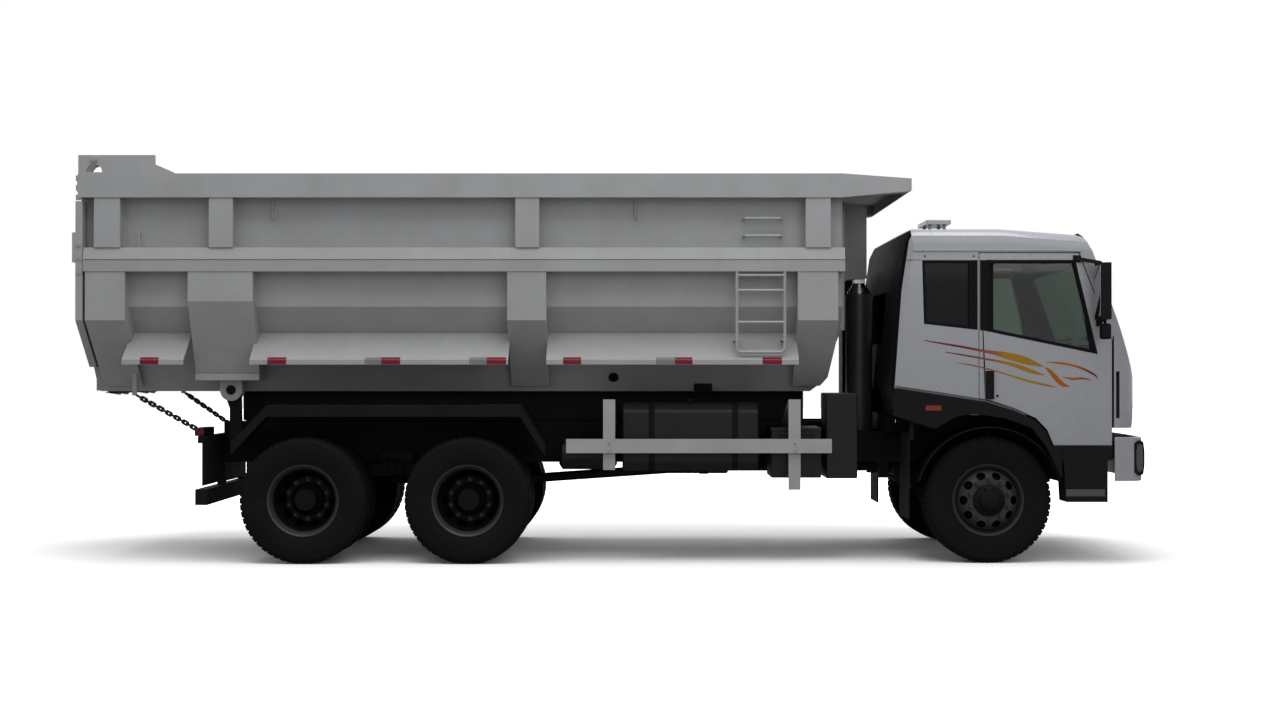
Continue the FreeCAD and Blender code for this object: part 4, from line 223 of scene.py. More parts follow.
def drum(name: str, start: Sequence[float], end: Sequence[float], radius: float, sides: int = 24,
         ease: float = 0.0) -> Piece:
    """Round bar between two points.

    Args:
        name: the piece's name.
        start: middle of its first end.
        end: middle of its other end.
        radius: its radius.
        sides: faces round it.
        ease: width of its rounded rims, or 0 for none.

    Returns:
        The new piece.
    """
    deselect()
    run = Vector(end) - Vector(start)
    bpy.ops.mesh.primitive_cone_add(vertices=sides, radius1=radius, radius2=radius, depth=run.length,
                                    location=(Vector(start) + Vector(end)) / 2,
                                    rotation=run.to_track_quat("Z", "Y").to_euler())
    piece = settled(bpy.context.object, name)
    return eased(piece, ease, 2, 50.0) if ease else piece


def wire(name: str, points: Sequence[Sequence[float]], closed: bool) -> Piece:
    """Line drawn point by point, from a plane merged to one vertex and extruded.

    Args:
        name: the piece's name.
        points: the corners of the line.
        closed: whether to fill it as a face.

    Returns:
        The new piece.
    """
    deselect()
    bpy.ops.mesh.primitive_plane_add(size=0.01, location=points[0])
    piece = settled(bpy.context.object, name)
    with editing(piece, "VERT"):
        bpy.ops.mesh.merge(type="CENTER")
        for before, after in zip(points, points[1:]):
            step = Vector(after) - Vector(before)
            bpy.ops.mesh.extrude_region_move(TRANSFORM_OT_translate={"value": step})
        if closed:
            bpy.ops.mesh.select_all(action="SELECT")
            bpy.ops.mesh.edge_face_add()
    return piece


def extrude_all(*moves: Sequence[float]) -> None:
    """Extrude the whole mesh in Edit mode, then turn its faces outwards.

    Args:
        moves: one vector for each extrusion.
    """
    for move in moves:
        bpy.ops.mesh.select_all(action="SELECT")
        bpy.ops.mesh.extrude_region_move(TRANSFORM_OT_translate={"value": Vector(move)})
    bpy.ops.mesh.select_all(action="SELECT")
    bpy.ops.mesh.normals_make_consistent(inside=False)


def plate(name: str, outline: Sequence[Sequence[float]], depth: Sequence[float], ease: float = 0.0,
          segments: int = 2) -> Piece:
    """Plate cut to an outline.

    Args:
        name: the piece's name.
        outline: corners of one face.
        depth: vector from that face to the other.
        ease: width of its rounded edges, or 0 for none.
        segments: faces across each rounding.

    Returns:
        The new piece.
    """
    piece = wire(name, outline, True)
    with editing(piece):
        extrude_all(depth)
    return eased(piece, ease, segments) if ease else piece


def hoop(name: str, outline: Sequence[Sequence[float]], width: float, depth: Sequence[float],
         ease: float) -> Piece:
    """Flat frame that follows an outline.

    Args:
        name: the piece's name.
        outline: its outer corners on one face.
        width: how wide it is, inwards.
        depth: vector from that face to the other.
        ease: width of its rounded edges.

    Returns:
        The new piece.
    """
    piece = wire(name, outline, True)
    with editing(piece):
        bpy.ops.mesh.inset(thickness=width, use_even_offset=True)
        bpy.ops.mesh.delete(type="FACE")
        extrude_all(depth)
    return eased(piece, ease)


def turned(name: str, profile: Sequence[Pair], centre: Sequence[float], steps: int,
           ring: bool = False) -> Piece:
    """Profile spun round a line along Y.

    Args:
        name: the piece's name.
        profile: (radius, distance along the line) pairs.
        centre: the point on the line where that distance is 0.
        steps: faces round the turn.
        ring: whether the profile closes on itself.

    Returns:
        The new piece.
    """
    along = Vector((0, 1, 0))
    points = [Vector(centre) + Vector((0, 0, 1)) * r + along * d for r, d in profile]
    if ring:
        points.append(points[0])
    piece = wire(name, points, False)
    with editing(piece, "VERT"):
        bpy.ops.mesh.spin(steps=steps, angle=2 * math.pi, center=tuple(centre), axis=tuple(along))
        bpy.ops.mesh.select_all(action="SELECT")
        bpy.ops.mesh.remove_doubles(threshold=FACET)
        bpy.ops.mesh.normals_make_consistent(inside=False)
    return piece


def tube(name: str, line: Line, points: Sequence[Sequence[float]], radius: float,
         closed: bool = False) -> Piece:
    """Round tube along a curve, as a mesh.

    Args:
        name: the piece's name.
        line: how the curve runs through its points.
        points: its control points.
        radius: the tube's radius.
        closed: whether it joins up into a ring.

    Returns:
        The new piece.
    """
    curve = bpy.data.curves.new(name, "CURVE")
    curve.dimensions = "3D"
    spline = curve.splines.new(line.value)
    spline.points.add(len(points) - 1)
    for target, point in zip(spline.points, points):
        target.co = (*point, 1.0)
    if line is Line.SMOOTH:
        spline.order_u = 3
        spline.use_endpoint_u = True
        curve.resolution_u = 6
    spline.use_cyclic_u = closed
    curve.bevel_depth = radius
    curve.bevel_resolution = TUBE_ROUNDS
    curve.use_fill_caps = not closed
    piece = bpy.data.objects.new(name, curve)
    bpy.context.scene.collection.objects.link(piece)
    activate(piece)
    bpy.ops.object.convert(target="MESH")
    return settled(bpy.context.object, name)


def bent(name: str, points: Sequence[Sequence[float]], radius: float, bend: float,
         closed: bool = False) -> Piece:
    """Straight tube runs joined by round bends.

    Args:
        name: the piece's name.
        points: corners of its centreline.
        radius: its radius.
        bend: how far from each corner its bend starts.
        closed: whether it joins up into a ring.

    Returns:
        The new piece.
    """
    corners = [Vector(point) for point in points]
    path = [] if closed else [corners[0]]
    count = len(corners)
    for i in range(0 if closed else 1, count if closed else count - 1):
        before, corner, after = corners[i - 1], corners[i], corners[(i + 1) % count]
        start = corner + (before - corner).normalized() * bend
        end = corner + (after - corner).normalized() * bend
        path += [start.lerp(corner, t).lerp(corner.lerp(end, t), t) for t in (0.0, 0.25, 0.5, 0.75, 1.0)]
    path += [] if closed else [corners[-1]]
    return tube(name, Line.STRAIGHT, path, radius, closed)


def split_off(piece: Piece, name: str, test: Callable[[Vector, Vector], bool]) -> Piece:
    """Faces of a piece moved into a piece of their own.

    Args:
        piece: the mesh to take them from.
        name: the new piece's name.
        test: takes a face's centre and normal.

    Returns:
        The new piece.
    """
    with editing(piece):
        pick_faces(piece, test)
        bpy.ops.mesh.separate(type="SELECTED")
    other = next(item for item in bpy.context.selected_objects if item is not piece)
    other.name = name
    return other


def copied(piece: Piece, change: Matrix) -> Piece:
    """Copy of a piece with its own mesh, moved by a matrix.

    Args:
        piece: the piece to copy.
        change: the move, turn or mirror.

    Returns:
        The copy.
    """
    other = piece.copy()
    other.data = piece.data.copy()
    other.data.transform(change)
    if change.determinant() < 0:
        other.data.flip_normals()
    bpy.context.scene.collection.objects.link(other)
    return other


def repeated(piece: Piece, changes: Iterable[Matrix]) -> list[Piece]:
    """Copies of a piece at several places, without the first.

    Args:
        piece: the pattern, which is removed.
        changes: one matrix for each copy.

    Returns:
        The copies.
    """
    others = [copied(piece, change) for change in changes]
    bpy.data.objects.remove(piece)
    return others


def joined(name: str, parts: Iterable[Piece]) -> Piece:
    """Several meshes as one piece.

    Args:
        name: the joined piece's name.
        parts: the meshes.

    Returns:
        The joined piece.
    """
    parts = list(parts)
    activate(parts[0])
    for part in parts[1:]:
        part.select_set(True)
    if len(parts) > 1:
        bpy.ops.object.join()
    parts[0].name = name
    return parts[0]


def about_y(turn: float, x: float, z: float) -> Matrix:
    """Turn round a line along Y.

    Args:
        turn: angle in radians.
        x: the line's X.
        z: the line's Z.

    Returns:
        The turn as a matrix.
    """
    centre = Matrix.Translation((x, 0, z))
    return centre @ Matrix.Rotation(turn, 4, "Y") @ centre.inverted()


def on_side(piece: Piece, side: Side) -> Piece:
    """A piece modelled on the left, mirrored if it belongs on the right.

    Args:
        piece: the left piece.
        side: the side it is for.

    Returns:
        The piece on its side.
    """
    if side is Side.RIGHT:
        piece.data.transform(MIRROR)
        piece.data.flip_normals()
    return piece


def skin(node: str, ease: float, segments: int = 2) -> Piece:
    """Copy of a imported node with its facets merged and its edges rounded.

    Args:
        node: the node's name.
        ease: width of the rounded edges.
        segments: faces across each rounding.

    Returns:
        The copy.
    """
    activate(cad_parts[node])
    bpy.ops.object.duplicate(linked=False)
    piece = bpy.context.object
    piece.parent = None
    for key in list(piece.keys()):
        del piece[key]
    piece.name = node + "_finished"
    with editing(piece, "VERT"):
        bpy.ops.mesh.remove_doubles(threshold=FACET * 2)
        bpy.ops.mesh.dissolve_limited(angle_limit=math.radians(1.0))
    return eased(piece, ease, segments, SKIN_ANGLE) if ease else piece


def both_sides(piece: Piece) -> Piece:
    """A left piece joined with its mirror image."""
    return joined(piece.name, [piece, copied(piece, MIRROR)])


# Finishes

def tone(red: float, green: float, blue: float) -> tuple[float, float, float, float]:
    """Linear colour of a display colour.

    Args:
        red: its red from 0 to 255.
        green: its green.
        blue: its blue.

    Returns:
        The colour with an alpha of 1.
    """
    channels = [channel / 255 for channel in (red, green, blue)]
    shares = [((c + 0.055) / 1.055) ** 2.4 if c > 0.0404 else c / 12.92 for c in channels]
    return (*shares, 1.0)


class Tree:
    """Adds and joins the nodes of one material or group."""

    def __init__(self, tree: bpy.types.NodeTree) -> None:
        """Work on a node tree."""
        self.tree = tree

    def add(self, kind: str, *feeds: object, **values: object) -> bpy.types.Node:
        """Add a node and feed its inputs in order.

        Args:
            kind: the node's type without its Shader prefix.
            feeds: sockets or plain values for its first inputs, None to skip one.
            values: its settings.

        Returns:
            The node.
        """
        node = self.tree.nodes.new("ShaderNode" + kind)
        for key, value in values.items():
            setattr(node, key, value)
        for socket, feed in zip(node.inputs, feeds):
            self.feed(socket, feed)
        return node

    def feed(self, socket: Socket, feed: object) -> None:
        """Link a socket into an input, or set its plain value."""
        if feed is None:
            return
        if isinstance(feed, Socket):
            self.tree.links.new(feed, socket)
        else:
            socket.default_value = feed

    def maths(self, operation: str, first: object, second: object = None, clamp: bool = False) -> Socket:
        """Output of a Math node."""
        return self.add("Math", first, second, operation=operation, use_clamp=clamp).outputs[0]

    def ramp(self, value: object, low: float, high: float, at_low: float = 0.0,
             at_high: float = 1.0) -> Socket:
        """Value carried from one range to another, with its ends held."""
        node = self.add("MapRange", value, low, high, at_low, at_high, clamp=True)
        return node.outputs[0]

    def noise(self, place: object, scale: float, detail: float = 4.0, roughness: float = 0.55) -> Socket:
        """Plain noise.

        Args:
            place: where on the piece.
            scale: how many patches there are in a metre.
            detail: how many finer layers it has.
            roughness: how strong these are.

        Returns:
            Its value from 0 to 1.
        """
        node = self.add("TexNoise", place)
        node.inputs["Scale"].default_value = scale
        node.inputs["Detail"].default_value = detail
        node.inputs["Roughness"].default_value = roughness
        return node.outputs["Fac"]

    def mix(self, share: object, first: object, second: object) -> Socket:
        """Mix of two colours.

        Args:
            share: how much of the second one shows.
            first: the colour at 0.
            second: the colour at 1.

        Returns:
            The mixed colour.
        """
        node = self.add("Mix", data_type="RGBA")
        self.feed(node.inputs[0], share)
        self.feed(node.inputs[6], first)
        self.feed(node.inputs[7], second)
        return node.outputs[2]


def new_group(name: str, inputs: dict[str, object],
              outputs: dict[str, str]) -> tuple[bpy.types.NodeTree, Tree, Sockets, Sockets]:
    """Empty shader node group with named sockets.

    Args:
        name: the group's name.
        inputs: socket names with their start values, a number, colour or vector.
        outputs: socket names with their kinds.

    Returns:
        The group, a Tree on it, the sockets it is given and the sockets of its result.
    """
    group = bpy.data.node_groups.new(name, "ShaderNodeTree")
    kinds = {float: "NodeSocketFloat", tuple: "NodeSocketColor", Vector: "NodeSocketVector"}
    for label, value in inputs.items():
        socket = group.interface.new_socket(name=label, in_out="INPUT", socket_type=kinds[type(value)])
        socket.default_value = value
    for label, kind in outputs.items():
        group.interface.new_socket(name=label, in_out="OUTPUT", socket_type="NodeSocket" + kind)
    given = group.nodes.new("NodeGroupInput")
    result = group.nodes.new("NodeGroupOutput")
    return group, Tree(group), given.outputs, result.inputs


class Effects:
    """Node groups that several finishes share."""

    def __init__(self) -> None:
        """Build every group once."""
        self.grime = self.make_grime()
        self.wear = self.make_wear()
        self.relief = self.make_relief()

    def make_grime(self) -> bpy.types.NodeTree:
        """Dust that gathers low down and in streaks, as a colour and a mask."""
        start = {"Place": Vector((0, 0, 0)), "Colour": (0.5, 0.5, 0.5, 1.0), "Dust": (0.3, 0.26, 0.2, 1.0),
                 "Amount": 0.3, "Low": 0.0, "High": 2.0}
        group, tree, given, result = new_group("grime", start, {"Colour": "Color", "Mask": "Float"})
        height = tree.add("SeparateXYZ", given["Place"]).outputs[2]
        fall = tree.add("MapRange", height, given["Low"], given["High"], 1.0, 0.0, clamp=True).outputs[0]
        patches = tree.ramp(tree.noise(given["Place"], 2.3, 8.0, 0.65), 0.35, 0.75)
        squeezed = tree.add("VectorMath", given["Place"], (9.0, 9.0, 0.5), operation="MULTIPLY").outputs[0]
        streaks = tree.ramp(tree.noise(squeezed, 1.0, 5.0, 0.6), 0.5, 0.8)
        specks = tree.ramp(tree.noise(given["Place"], 60.0, 3.0), 0.3, 0.8)
        base = tree.maths("MULTIPLY", fall, tree.maths("ADD", patches, 0.35))
        runs = tree.maths("MULTIPLY", streaks, 0.45)
        total = tree.maths("MULTIPLY", tree.maths("ADD", base, runs), tree.maths("ADD", specks, 0.5))
        mask = tree.maths("MULTIPLY", total, given["Amount"], True)
        tree.feed(result["Colour"], tree.mix(mask, given["Colour"], given["Dust"]))
        tree.feed(result["Mask"], mask)
        return group

    def make_wear(self) -> bpy.types.NodeTree:
        """Rubbed edges, broken up by noise, as a mask."""
        start = {"Place": Vector((0, 0, 0)), "Radius": 0.006, "Amount": 0.5}
        group, tree, given, result = new_group("edge_wear", start, {"Mask": "Float"})
        soft = tree.add("Bevel", given["Radius"], samples=4).outputs[0]
        hard = tree.add("NewGeometry").outputs["Normal"]
        match = tree.add("VectorMath", soft, hard, operation="DOT_PRODUCT").outputs["Value"]
        edge = tree.ramp(match, 0.80, 0.99, 1.0, 0.0)
        chips = tree.ramp(tree.noise(given["Place"], 38.0, 6.0, 0.7), 0.48, 0.62)
        rubbed = tree.maths("MULTIPLY", edge, chips)
        tree.feed(result["Mask"], tree.maths("MULTIPLY", rubbed, given["Amount"], True))
        return group

    def make_relief(self) -> bpy.types.NodeTree:
        """Fine grain on a broad gentle unevenness, as a height in metres."""
        start = {"Place": Vector((0, 0, 0)), "Fine Scale": 250.0, "Fine": 0.00002, "Broad Scale": 1.5,
                 "Broad": 0.001}
        group, tree, given, result = new_group("relief", start, {"Height": "Float"})
        heights = []
        for label, detail in (("Fine", 2.0), ("Broad", 1.0)):
            node = tree.add("TexNoise", given["Place"])
            node.inputs["Detail"].default_value = detail
            tree.feed(node.inputs["Scale"], given[label + " Scale"])
            heights.append(tree.maths("MULTIPLY", node.outputs["Fac"], given[label]))
        tree.feed(result["Height"], tree.maths("ADD", *heights))
        return group


EFFECTS = Effects()
MADE: dict[str, bpy.types.Material] = {}


def new_material(name: str) -> tuple[bpy.types.Material, Tree, bpy.types.Node]:
    """Empty material.

    Args:
        name: the finish's name.

    Returns:
        The material, a Tree on its nodes and its Principled shader.
    """
    material = bpy.data.materials.new("finish_" + name)
    material.use_nodes = True
    return material, Tree(material.node_tree), material.node_tree.nodes["Principled BSDF"]


@dataclass(frozen=True)
class Surface:
    """What every finish has: a name, a display colour and one material."""

    name: str
    colour: Colour

    def made(self) -> bpy.types.Material:
        """The finish as a material, built the first time it is asked for."""
        if self.name not in MADE:
            MADE[self.name] = self.build()
        return MADE[self.name]

    def build(self) -> bpy.types.Material:
        """A new material, which each kind of finish builds in its own way."""
        raise NotImplementedError(self.name)


def dress(piece: Piece, body: str, finish: Surface, replaces: Sequence[str] = (),
          angle: float = SMOOTH_ANGLE) -> Piece:
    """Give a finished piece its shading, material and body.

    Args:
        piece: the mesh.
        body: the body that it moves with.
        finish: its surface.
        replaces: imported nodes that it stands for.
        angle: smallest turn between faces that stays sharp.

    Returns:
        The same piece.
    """
    settled(piece, piece.name)
    piece.data.materials.clear()
    piece.data.materials.append(finish.made())
    bpy.ops.object.shade_smooth_by_angle(angle=angle)
    modified(piece, "WEIGHTED_NORMAL", keep_sharp=True, weight=80)
    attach(piece, body)
    if replaces:
        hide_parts(*replaces)
    return piece


@dataclass(frozen=True)
class Finish(Surface):
    """Painted, bare or moulded finish, as plain numbers and display colours."""

    roughness: float = 0.5
    metallic: float = 0.0
    coat: float = 0.0
    specular: float = 0.5
    second: Colour | None = None
    mottle_scale: float = 3.0
    dust: Colour = (120.0, 112.0, 98.0)
    dust_amount: float = 0.25
    dust_low: float = 0.2
    dust_high: float = 2.2
    wear: Colour = (70.0, 66.0, 62.0)
    wear_amount: float = 0.0
    fine: float = 0.00003
    fine_scale: float = 260.0
    broad: float = 0.0
    broad_scale: float = 1.6

    def coloured(self, tree: Tree, place: Socket) -> Socket:
        """Plain colour with a soft mottle of a second one.

        Args:
            tree: the material's nodes.
            place: where on the piece.

        Returns:
            The colour before dust and wear.
        """
        base = tone(*self.colour)
        other = tone(*(self.second or [c * 0.93 for c in self.colour]))
        share = tree.ramp(tree.noise(place, self.mottle_scale, 6.0, 0.6), 0.35, 0.7)
        return tree.mix(share, base, other)

    def height(self, tree: Tree, place: Socket) -> Socket:
        """Relief of the surface in metres.

        Args:
            tree: the material's nodes.
            place: where on the piece.

        Returns:
            The height.
        """
        relief = tree.add("Group", node_tree=EFFECTS.relief)
        for label, value in (("Place", place), ("Fine Scale", self.fine_scale), ("Fine", self.fine),
                             ("Broad Scale", self.broad_scale), ("Broad", self.broad)):
            tree.feed(relief.inputs[label], value)
        return relief.outputs["Height"]

    def build(self) -> bpy.types.Material:
        """A new material with this finish."""
        material, tree, shader = new_material(self.name)
        place = tree.add("TexCoord").outputs["Object"]
        colour = self.coloured(tree, place)
        if self.wear_amount:
            wear = tree.add("Group", node_tree=EFFECTS.wear)
            tree.feed(wear.inputs["Place"], place)
            tree.feed(wear.inputs["Amount"], self.wear_amount)
            colour = tree.mix(wear.outputs["Mask"], colour, tone(*self.wear))
        grime = tree.add("Group", node_tree=EFFECTS.grime)
        for label, value in (("Place", place), ("Colour", colour), ("Dust", tone(*self.dust)),
                             ("Amount", self.dust_amount), ("Low", self.dust_low), ("High", self.dust_high)):
            tree.feed(grime.inputs[label], value)
        tree.feed(shader.inputs["Base Color"], grime.outputs["Colour"])
        patchy = tree.ramp(tree.noise(place, 14.0, 5.0), 0.3, 0.7, self.roughness - 0.05,
                           self.roughness + 0.07)
        rough = tree.add("MapRange", grime.outputs["Mask"], 0.0, 1.0, patchy, 0.9, clamp=True).outputs[0]
        tree.feed(shader.inputs["Roughness"], rough)
        bump = tree.add("Bump", 1.0, 1.0)
        tree.feed(bump.inputs["Height"], self.height(tree, place))
        tree.feed(shader.inputs["Normal"], bump.outputs[0])
        shader.inputs["Specular IOR Level"].default_value = self.specular
        shader.inputs["Metallic"].default_value = self.metallic
        shader.inputs["Coat Weight"].default_value = self.coat
        shader.inputs["Coat Roughness"].default_value = 0.08
        return material


BED_PAINT = Finish("bed_paint", (138, 140, 142), 0.45, second=(131, 132, 133), dust_amount=0.22, dust_low=1.3,
                   dust_high=3.4, wear=(98, 92, 86), wear_amount=0.55, broad=0.0022, broad_scale=1.9)
CAB_PAINT = Finish("cab_paint", (125, 128, 133), 0.28, coat=0.5, second=(123, 125, 130), dust_amount=0.05,
                   dust_low=0.9, dust_high=2.4, fine=0.000012, broad=0.0004, broad_scale=1.2)
GUARD_PAINT = Finish("guard_paint", (140, 141, 144), 0.4, dust_amount=0.3, wear_amount=0.4, wear=(90, 84, 78))
# Chassis black; on the bed's sills it is painted shade, and on the cab's rear wall it is partly painted
# shade.
CHASSIS_BLACK = Finish("chassis_black", (13, 13, 14), 0.55, second=(17, 17, 17), dust=(38, 35, 31),
                       dust_amount=0.3, dust_high=1.5, wear_amount=0.3, wear=(34, 31, 28), specular=0.07)
AXLE_CAST = Finish("axle_cast", (14, 14, 14), 0.6, second=(18, 17, 16), dust=(38, 35, 31), dust_amount=0.35,
                   dust_high=1.2, fine=0.00035, fine_scale=130.0, specular=0.16)
RIM_PAINT = Finish("rim_paint", (38, 38, 39), 0.42, second=(32, 32, 33), dust=(46, 43, 39), dust_amount=0.35,
                   wear_amount=0.4, wear=(52, 49, 46), specular=0.3)
# Hub black, also laid on the rear wheels' dished discs as painted shade.
HUB_BLACK = Finish("hub_black", (11, 11, 12), 0.4, dust=(28, 26, 24), dust_amount=0.15, specular=0.08)
STEP_METAL = Finish("step_metal", (54, 54, 55), 0.5, dust=(60, 56, 50), dust_amount=0.3)
NUT_STEEL = Finish("nut_steel", (52, 51, 50), 0.4, metallic=0.6, dust=(44, 40, 36), dust_amount=0.4)
FLAP_RUBBER = Finish("flap_rubber", (13, 13, 13), 0.75, dust=(38, 35, 31), dust_amount=0.3, fine=0.0001,
                     specular=0.12)
SEAL_RUBBER = Finish("seal_rubber", (12, 13, 14), 0.6, dust_amount=0.03, specular=0.06)
GRAINED_PLASTIC = Finish("grained_plastic", (15, 16, 16), 0.52, second=(13, 13, 14), dust=(32, 30, 27),
                         dust_amount=0.15, dust_high=1.6, fine=0.00012, fine_scale=420.0, specular=0.09)
CABIN_PLASTIC = Finish("cabin_plastic", (20, 21, 22), 0.6, dust_amount=0.04, fine=0.0001, fine_scale=480.0,
                       specular=0.2)
LINING = Finish("cab_lining", (30, 31, 31), 0.8, dust_amount=0.03, fine=0.00012, fine_scale=300.0,
                specular=0.2)
ENGINE_CAST = Finish("engine_cast", (26, 27, 28), 0.6, second=(30, 29, 27), dust=(40, 37, 33),
                     dust_amount=0.4, fine=0.0004, fine_scale=120.0, specular=0.2)
TANK_PAINT = Finish("tank_paint", (15, 16, 16), 0.42, second=(18, 18, 19), dust=(40, 37, 33),
                    dust_amount=0.25, dust_high=1.6, broad=0.0008, specular=0.22)
HOIST_PAINT = Finish("hoist_paint", (44, 45, 46), 0.4, dust=(50, 46, 41), dust_amount=0.3)
STAGE_STEEL = Finish("stage_steel", (150, 150, 152), 0.22, metallic=1.0, dust=(60, 52, 40), dust_amount=0.3,
                     fine=0.00001, fine_scale=600.0)
CHAIN_STEEL = Finish("chain_steel", (40, 38, 36), 0.5, metallic=0.5, second=(50, 42, 36), mottle_scale=25.0,
                     dust_amount=0.1, specular=0.3)


@dataclass(frozen=True)
class TyreFinish(Finish):
    """Tyre rubber with fine rings round its walls, read from the spun UV map."""

    rings: float = 46.0
    ring_height: float = 0.0006

    def height(self, tree: Tree, place: Socket) -> Socket:
        """Relief with moulded rings.

        Args:
            tree: the material's nodes.
            place: where on the piece.

        Returns:
            The height in metres.
        """
        across = tree.add("SeparateXYZ", tree.add("UVMap").outputs[0]).outputs[1]
        wave = tree.maths("SINE", tree.maths("MULTIPLY", across, self.rings * 2 * math.pi))
        ring = tree.maths("MULTIPLY", wave, self.ring_height)
        return tree.maths("ADD", super().height(tree, place), ring)


TYRE = TyreFinish("tyre_rubber", (13, 13, 13), 0.78, second=(16, 16, 16), dust=(30, 28, 25), dust_amount=0.2,
                  dust_low=0.0, dust_high=1.3, fine=0.00015, fine_scale=300.0, specular=0.07)


@dataclass(frozen=True)
class LensFinish(Surface):
    """Clear or coloured lens or mirror."""

    roughness: float = 0.12
    metallic: float = 0.0
    transmission: float = 0.0
    ribs: float = 0.0
    specular: float = 0.5

    def build(self) -> bpy.types.Material:
        """A new material with this lens."""
        material, tree, shader = new_material(self.name)
        place = tree.add("TexCoord").outputs["Object"]
        film = tree.ramp(tree.noise(place, 7.0, 6.0), 0.45, 0.8, 0.0, 0.22)
        dusty = tone(*[c * 0.8 for c in self.colour])
        tree.feed(shader.inputs["Base Color"], tree.mix(film, tone(*self.colour), dusty))
        tree.feed(shader.inputs["Roughness"],
                  tree.ramp(film, 0.0, 0.22, self.roughness, self.roughness + 0.1))
        shader.inputs["Metallic"].default_value = self.metallic
        shader.inputs["Transmission Weight"].default_value = self.transmission
        shader.inputs["Specular IOR Level"].default_value = self.specular
        shader.inputs["IOR"].default_value = 1.45
        if self.ribs:
            split = tree.add("SeparateXYZ", place)
            waves = [tree.maths("SINE", tree.maths("MULTIPLY", split.outputs[i], self.ribs)) for i in (1, 2)]
            bump = tree.add("Bump", 0.6, 0.002)
            tree.feed(bump.inputs["Height"], tree.maths("ADD", *waves))
            tree.feed(shader.inputs["Normal"], bump.outputs[0])
        return material


CAB_GLASS = LensFinish("cab_glass_tint", (122, 136, 127), 0.03, transmission=1.0, specular=0.2)
DARK_GLASS = LensFinish("dark_glass", (18, 19, 21), 0.06, specular=0.14)
MIRROR_GLASS = LensFinish("mirror_glass", (190, 192, 194), 0.03, metallic=1.0)
RED_LENS = LensFinish("red_lens", (84, 12, 16), 0.15, ribs=900.0, specular=0.15)
AMBER_LENS = LensFinish("amber_lens", (112, 36, 22), 0.15, ribs=900.0, specular=0.15)
CLEAR_LENS = LensFinish("clear_lens", (198, 202, 206), 0.05, transmission=0.9)
CORNER_LENS = LensFinish("corner_lens", (60, 62, 64), 0.1, ribs=500.0, specular=0.3)
LAMP_BOWL = LensFinish("lamp_bowl", (180, 182, 186), 0.12, metallic=1.0)
RED_TAPE = LensFinish("red_tape", (104, 16, 34), 0.3, ribs=700.0, specular=0.12)
SILVER_TAPE = LensFinish("silver_tape", (104, 106, 110), 0.28, ribs=700.0, specular=0.2)


@dataclass(frozen=True)
class StripeFinish(Finish):
    """Printed film that runs from crimson through orange to yellow along the cab."""

    start_x: float = 2.90
    middle_x: float = 3.16
    end_x: float = 3.26
    flame_from: Pair = (3.52, 3.66)
    flame_to: Pair = (3.86, 3.98)
    warm: Colour = (126, 66, 44)
    light: Colour = (132, 98, 26)
    flame: Colour = (138, 74, 16)

    def coloured(self, tree: Tree, place: Socket) -> Socket:
        """Colour by place along X.

        Args:
            tree: the material's nodes.
            place: where on the piece.

        Returns:
            The film's colour.
        """
        along = tree.add("SeparateXYZ", place).outputs[0]
        first = tree.mix(tree.ramp(along, self.start_x, self.middle_x), tone(*self.colour), tone(*self.warm))
        second = tree.mix(tree.ramp(along, self.middle_x, self.end_x), first, tone(*self.light))
        third = tree.mix(tree.ramp(along, *self.flame_from), second, tone(*self.flame))
        return tree.mix(tree.ramp(along, *self.flame_to), third, tone(*self.colour))


STRIPE_FILM = StripeFinish("stripe_film", (92, 8, 36), 0.4, dust_amount=0.03, specular=0.1)


@dataclass(frozen=True)
class ClothFinish(Finish):
    """Seat cloth with a woven relief."""

    weave: float = 900.0
    thread: float = 0.0005

    def height(self, tree: Tree, place: Socket) -> Socket:
        """Relief of crossing threads.

        Args:
            tree: the material's nodes.
            place: where on the piece.

        Returns:
            The height in metres.
        """
        split = tree.add("SeparateXYZ", place)
        waves = [tree.maths("SINE", tree.maths("MULTIPLY", split.outputs[i], self.weave)) for i in (0, 1, 2)]
        crossed = tree.maths("ADD", waves[1], tree.maths("ADD", waves[0], waves[2]))
        woven = tree.maths("MULTIPLY", crossed, self.thread)
        return tree.maths("ADD", super().height(tree, place), woven)


SEAT_CLOTH = ClothFinish("seat_cloth", (26, 27, 30), 0.9, second=(20, 21, 24), dust_amount=0.03, specular=0.2)
LAMP_CASE = Finish("lamp_case", (14, 14, 15), 0.45, dust=(38, 35, 31), dust_amount=0.15, specular=0.25)


# Wheels

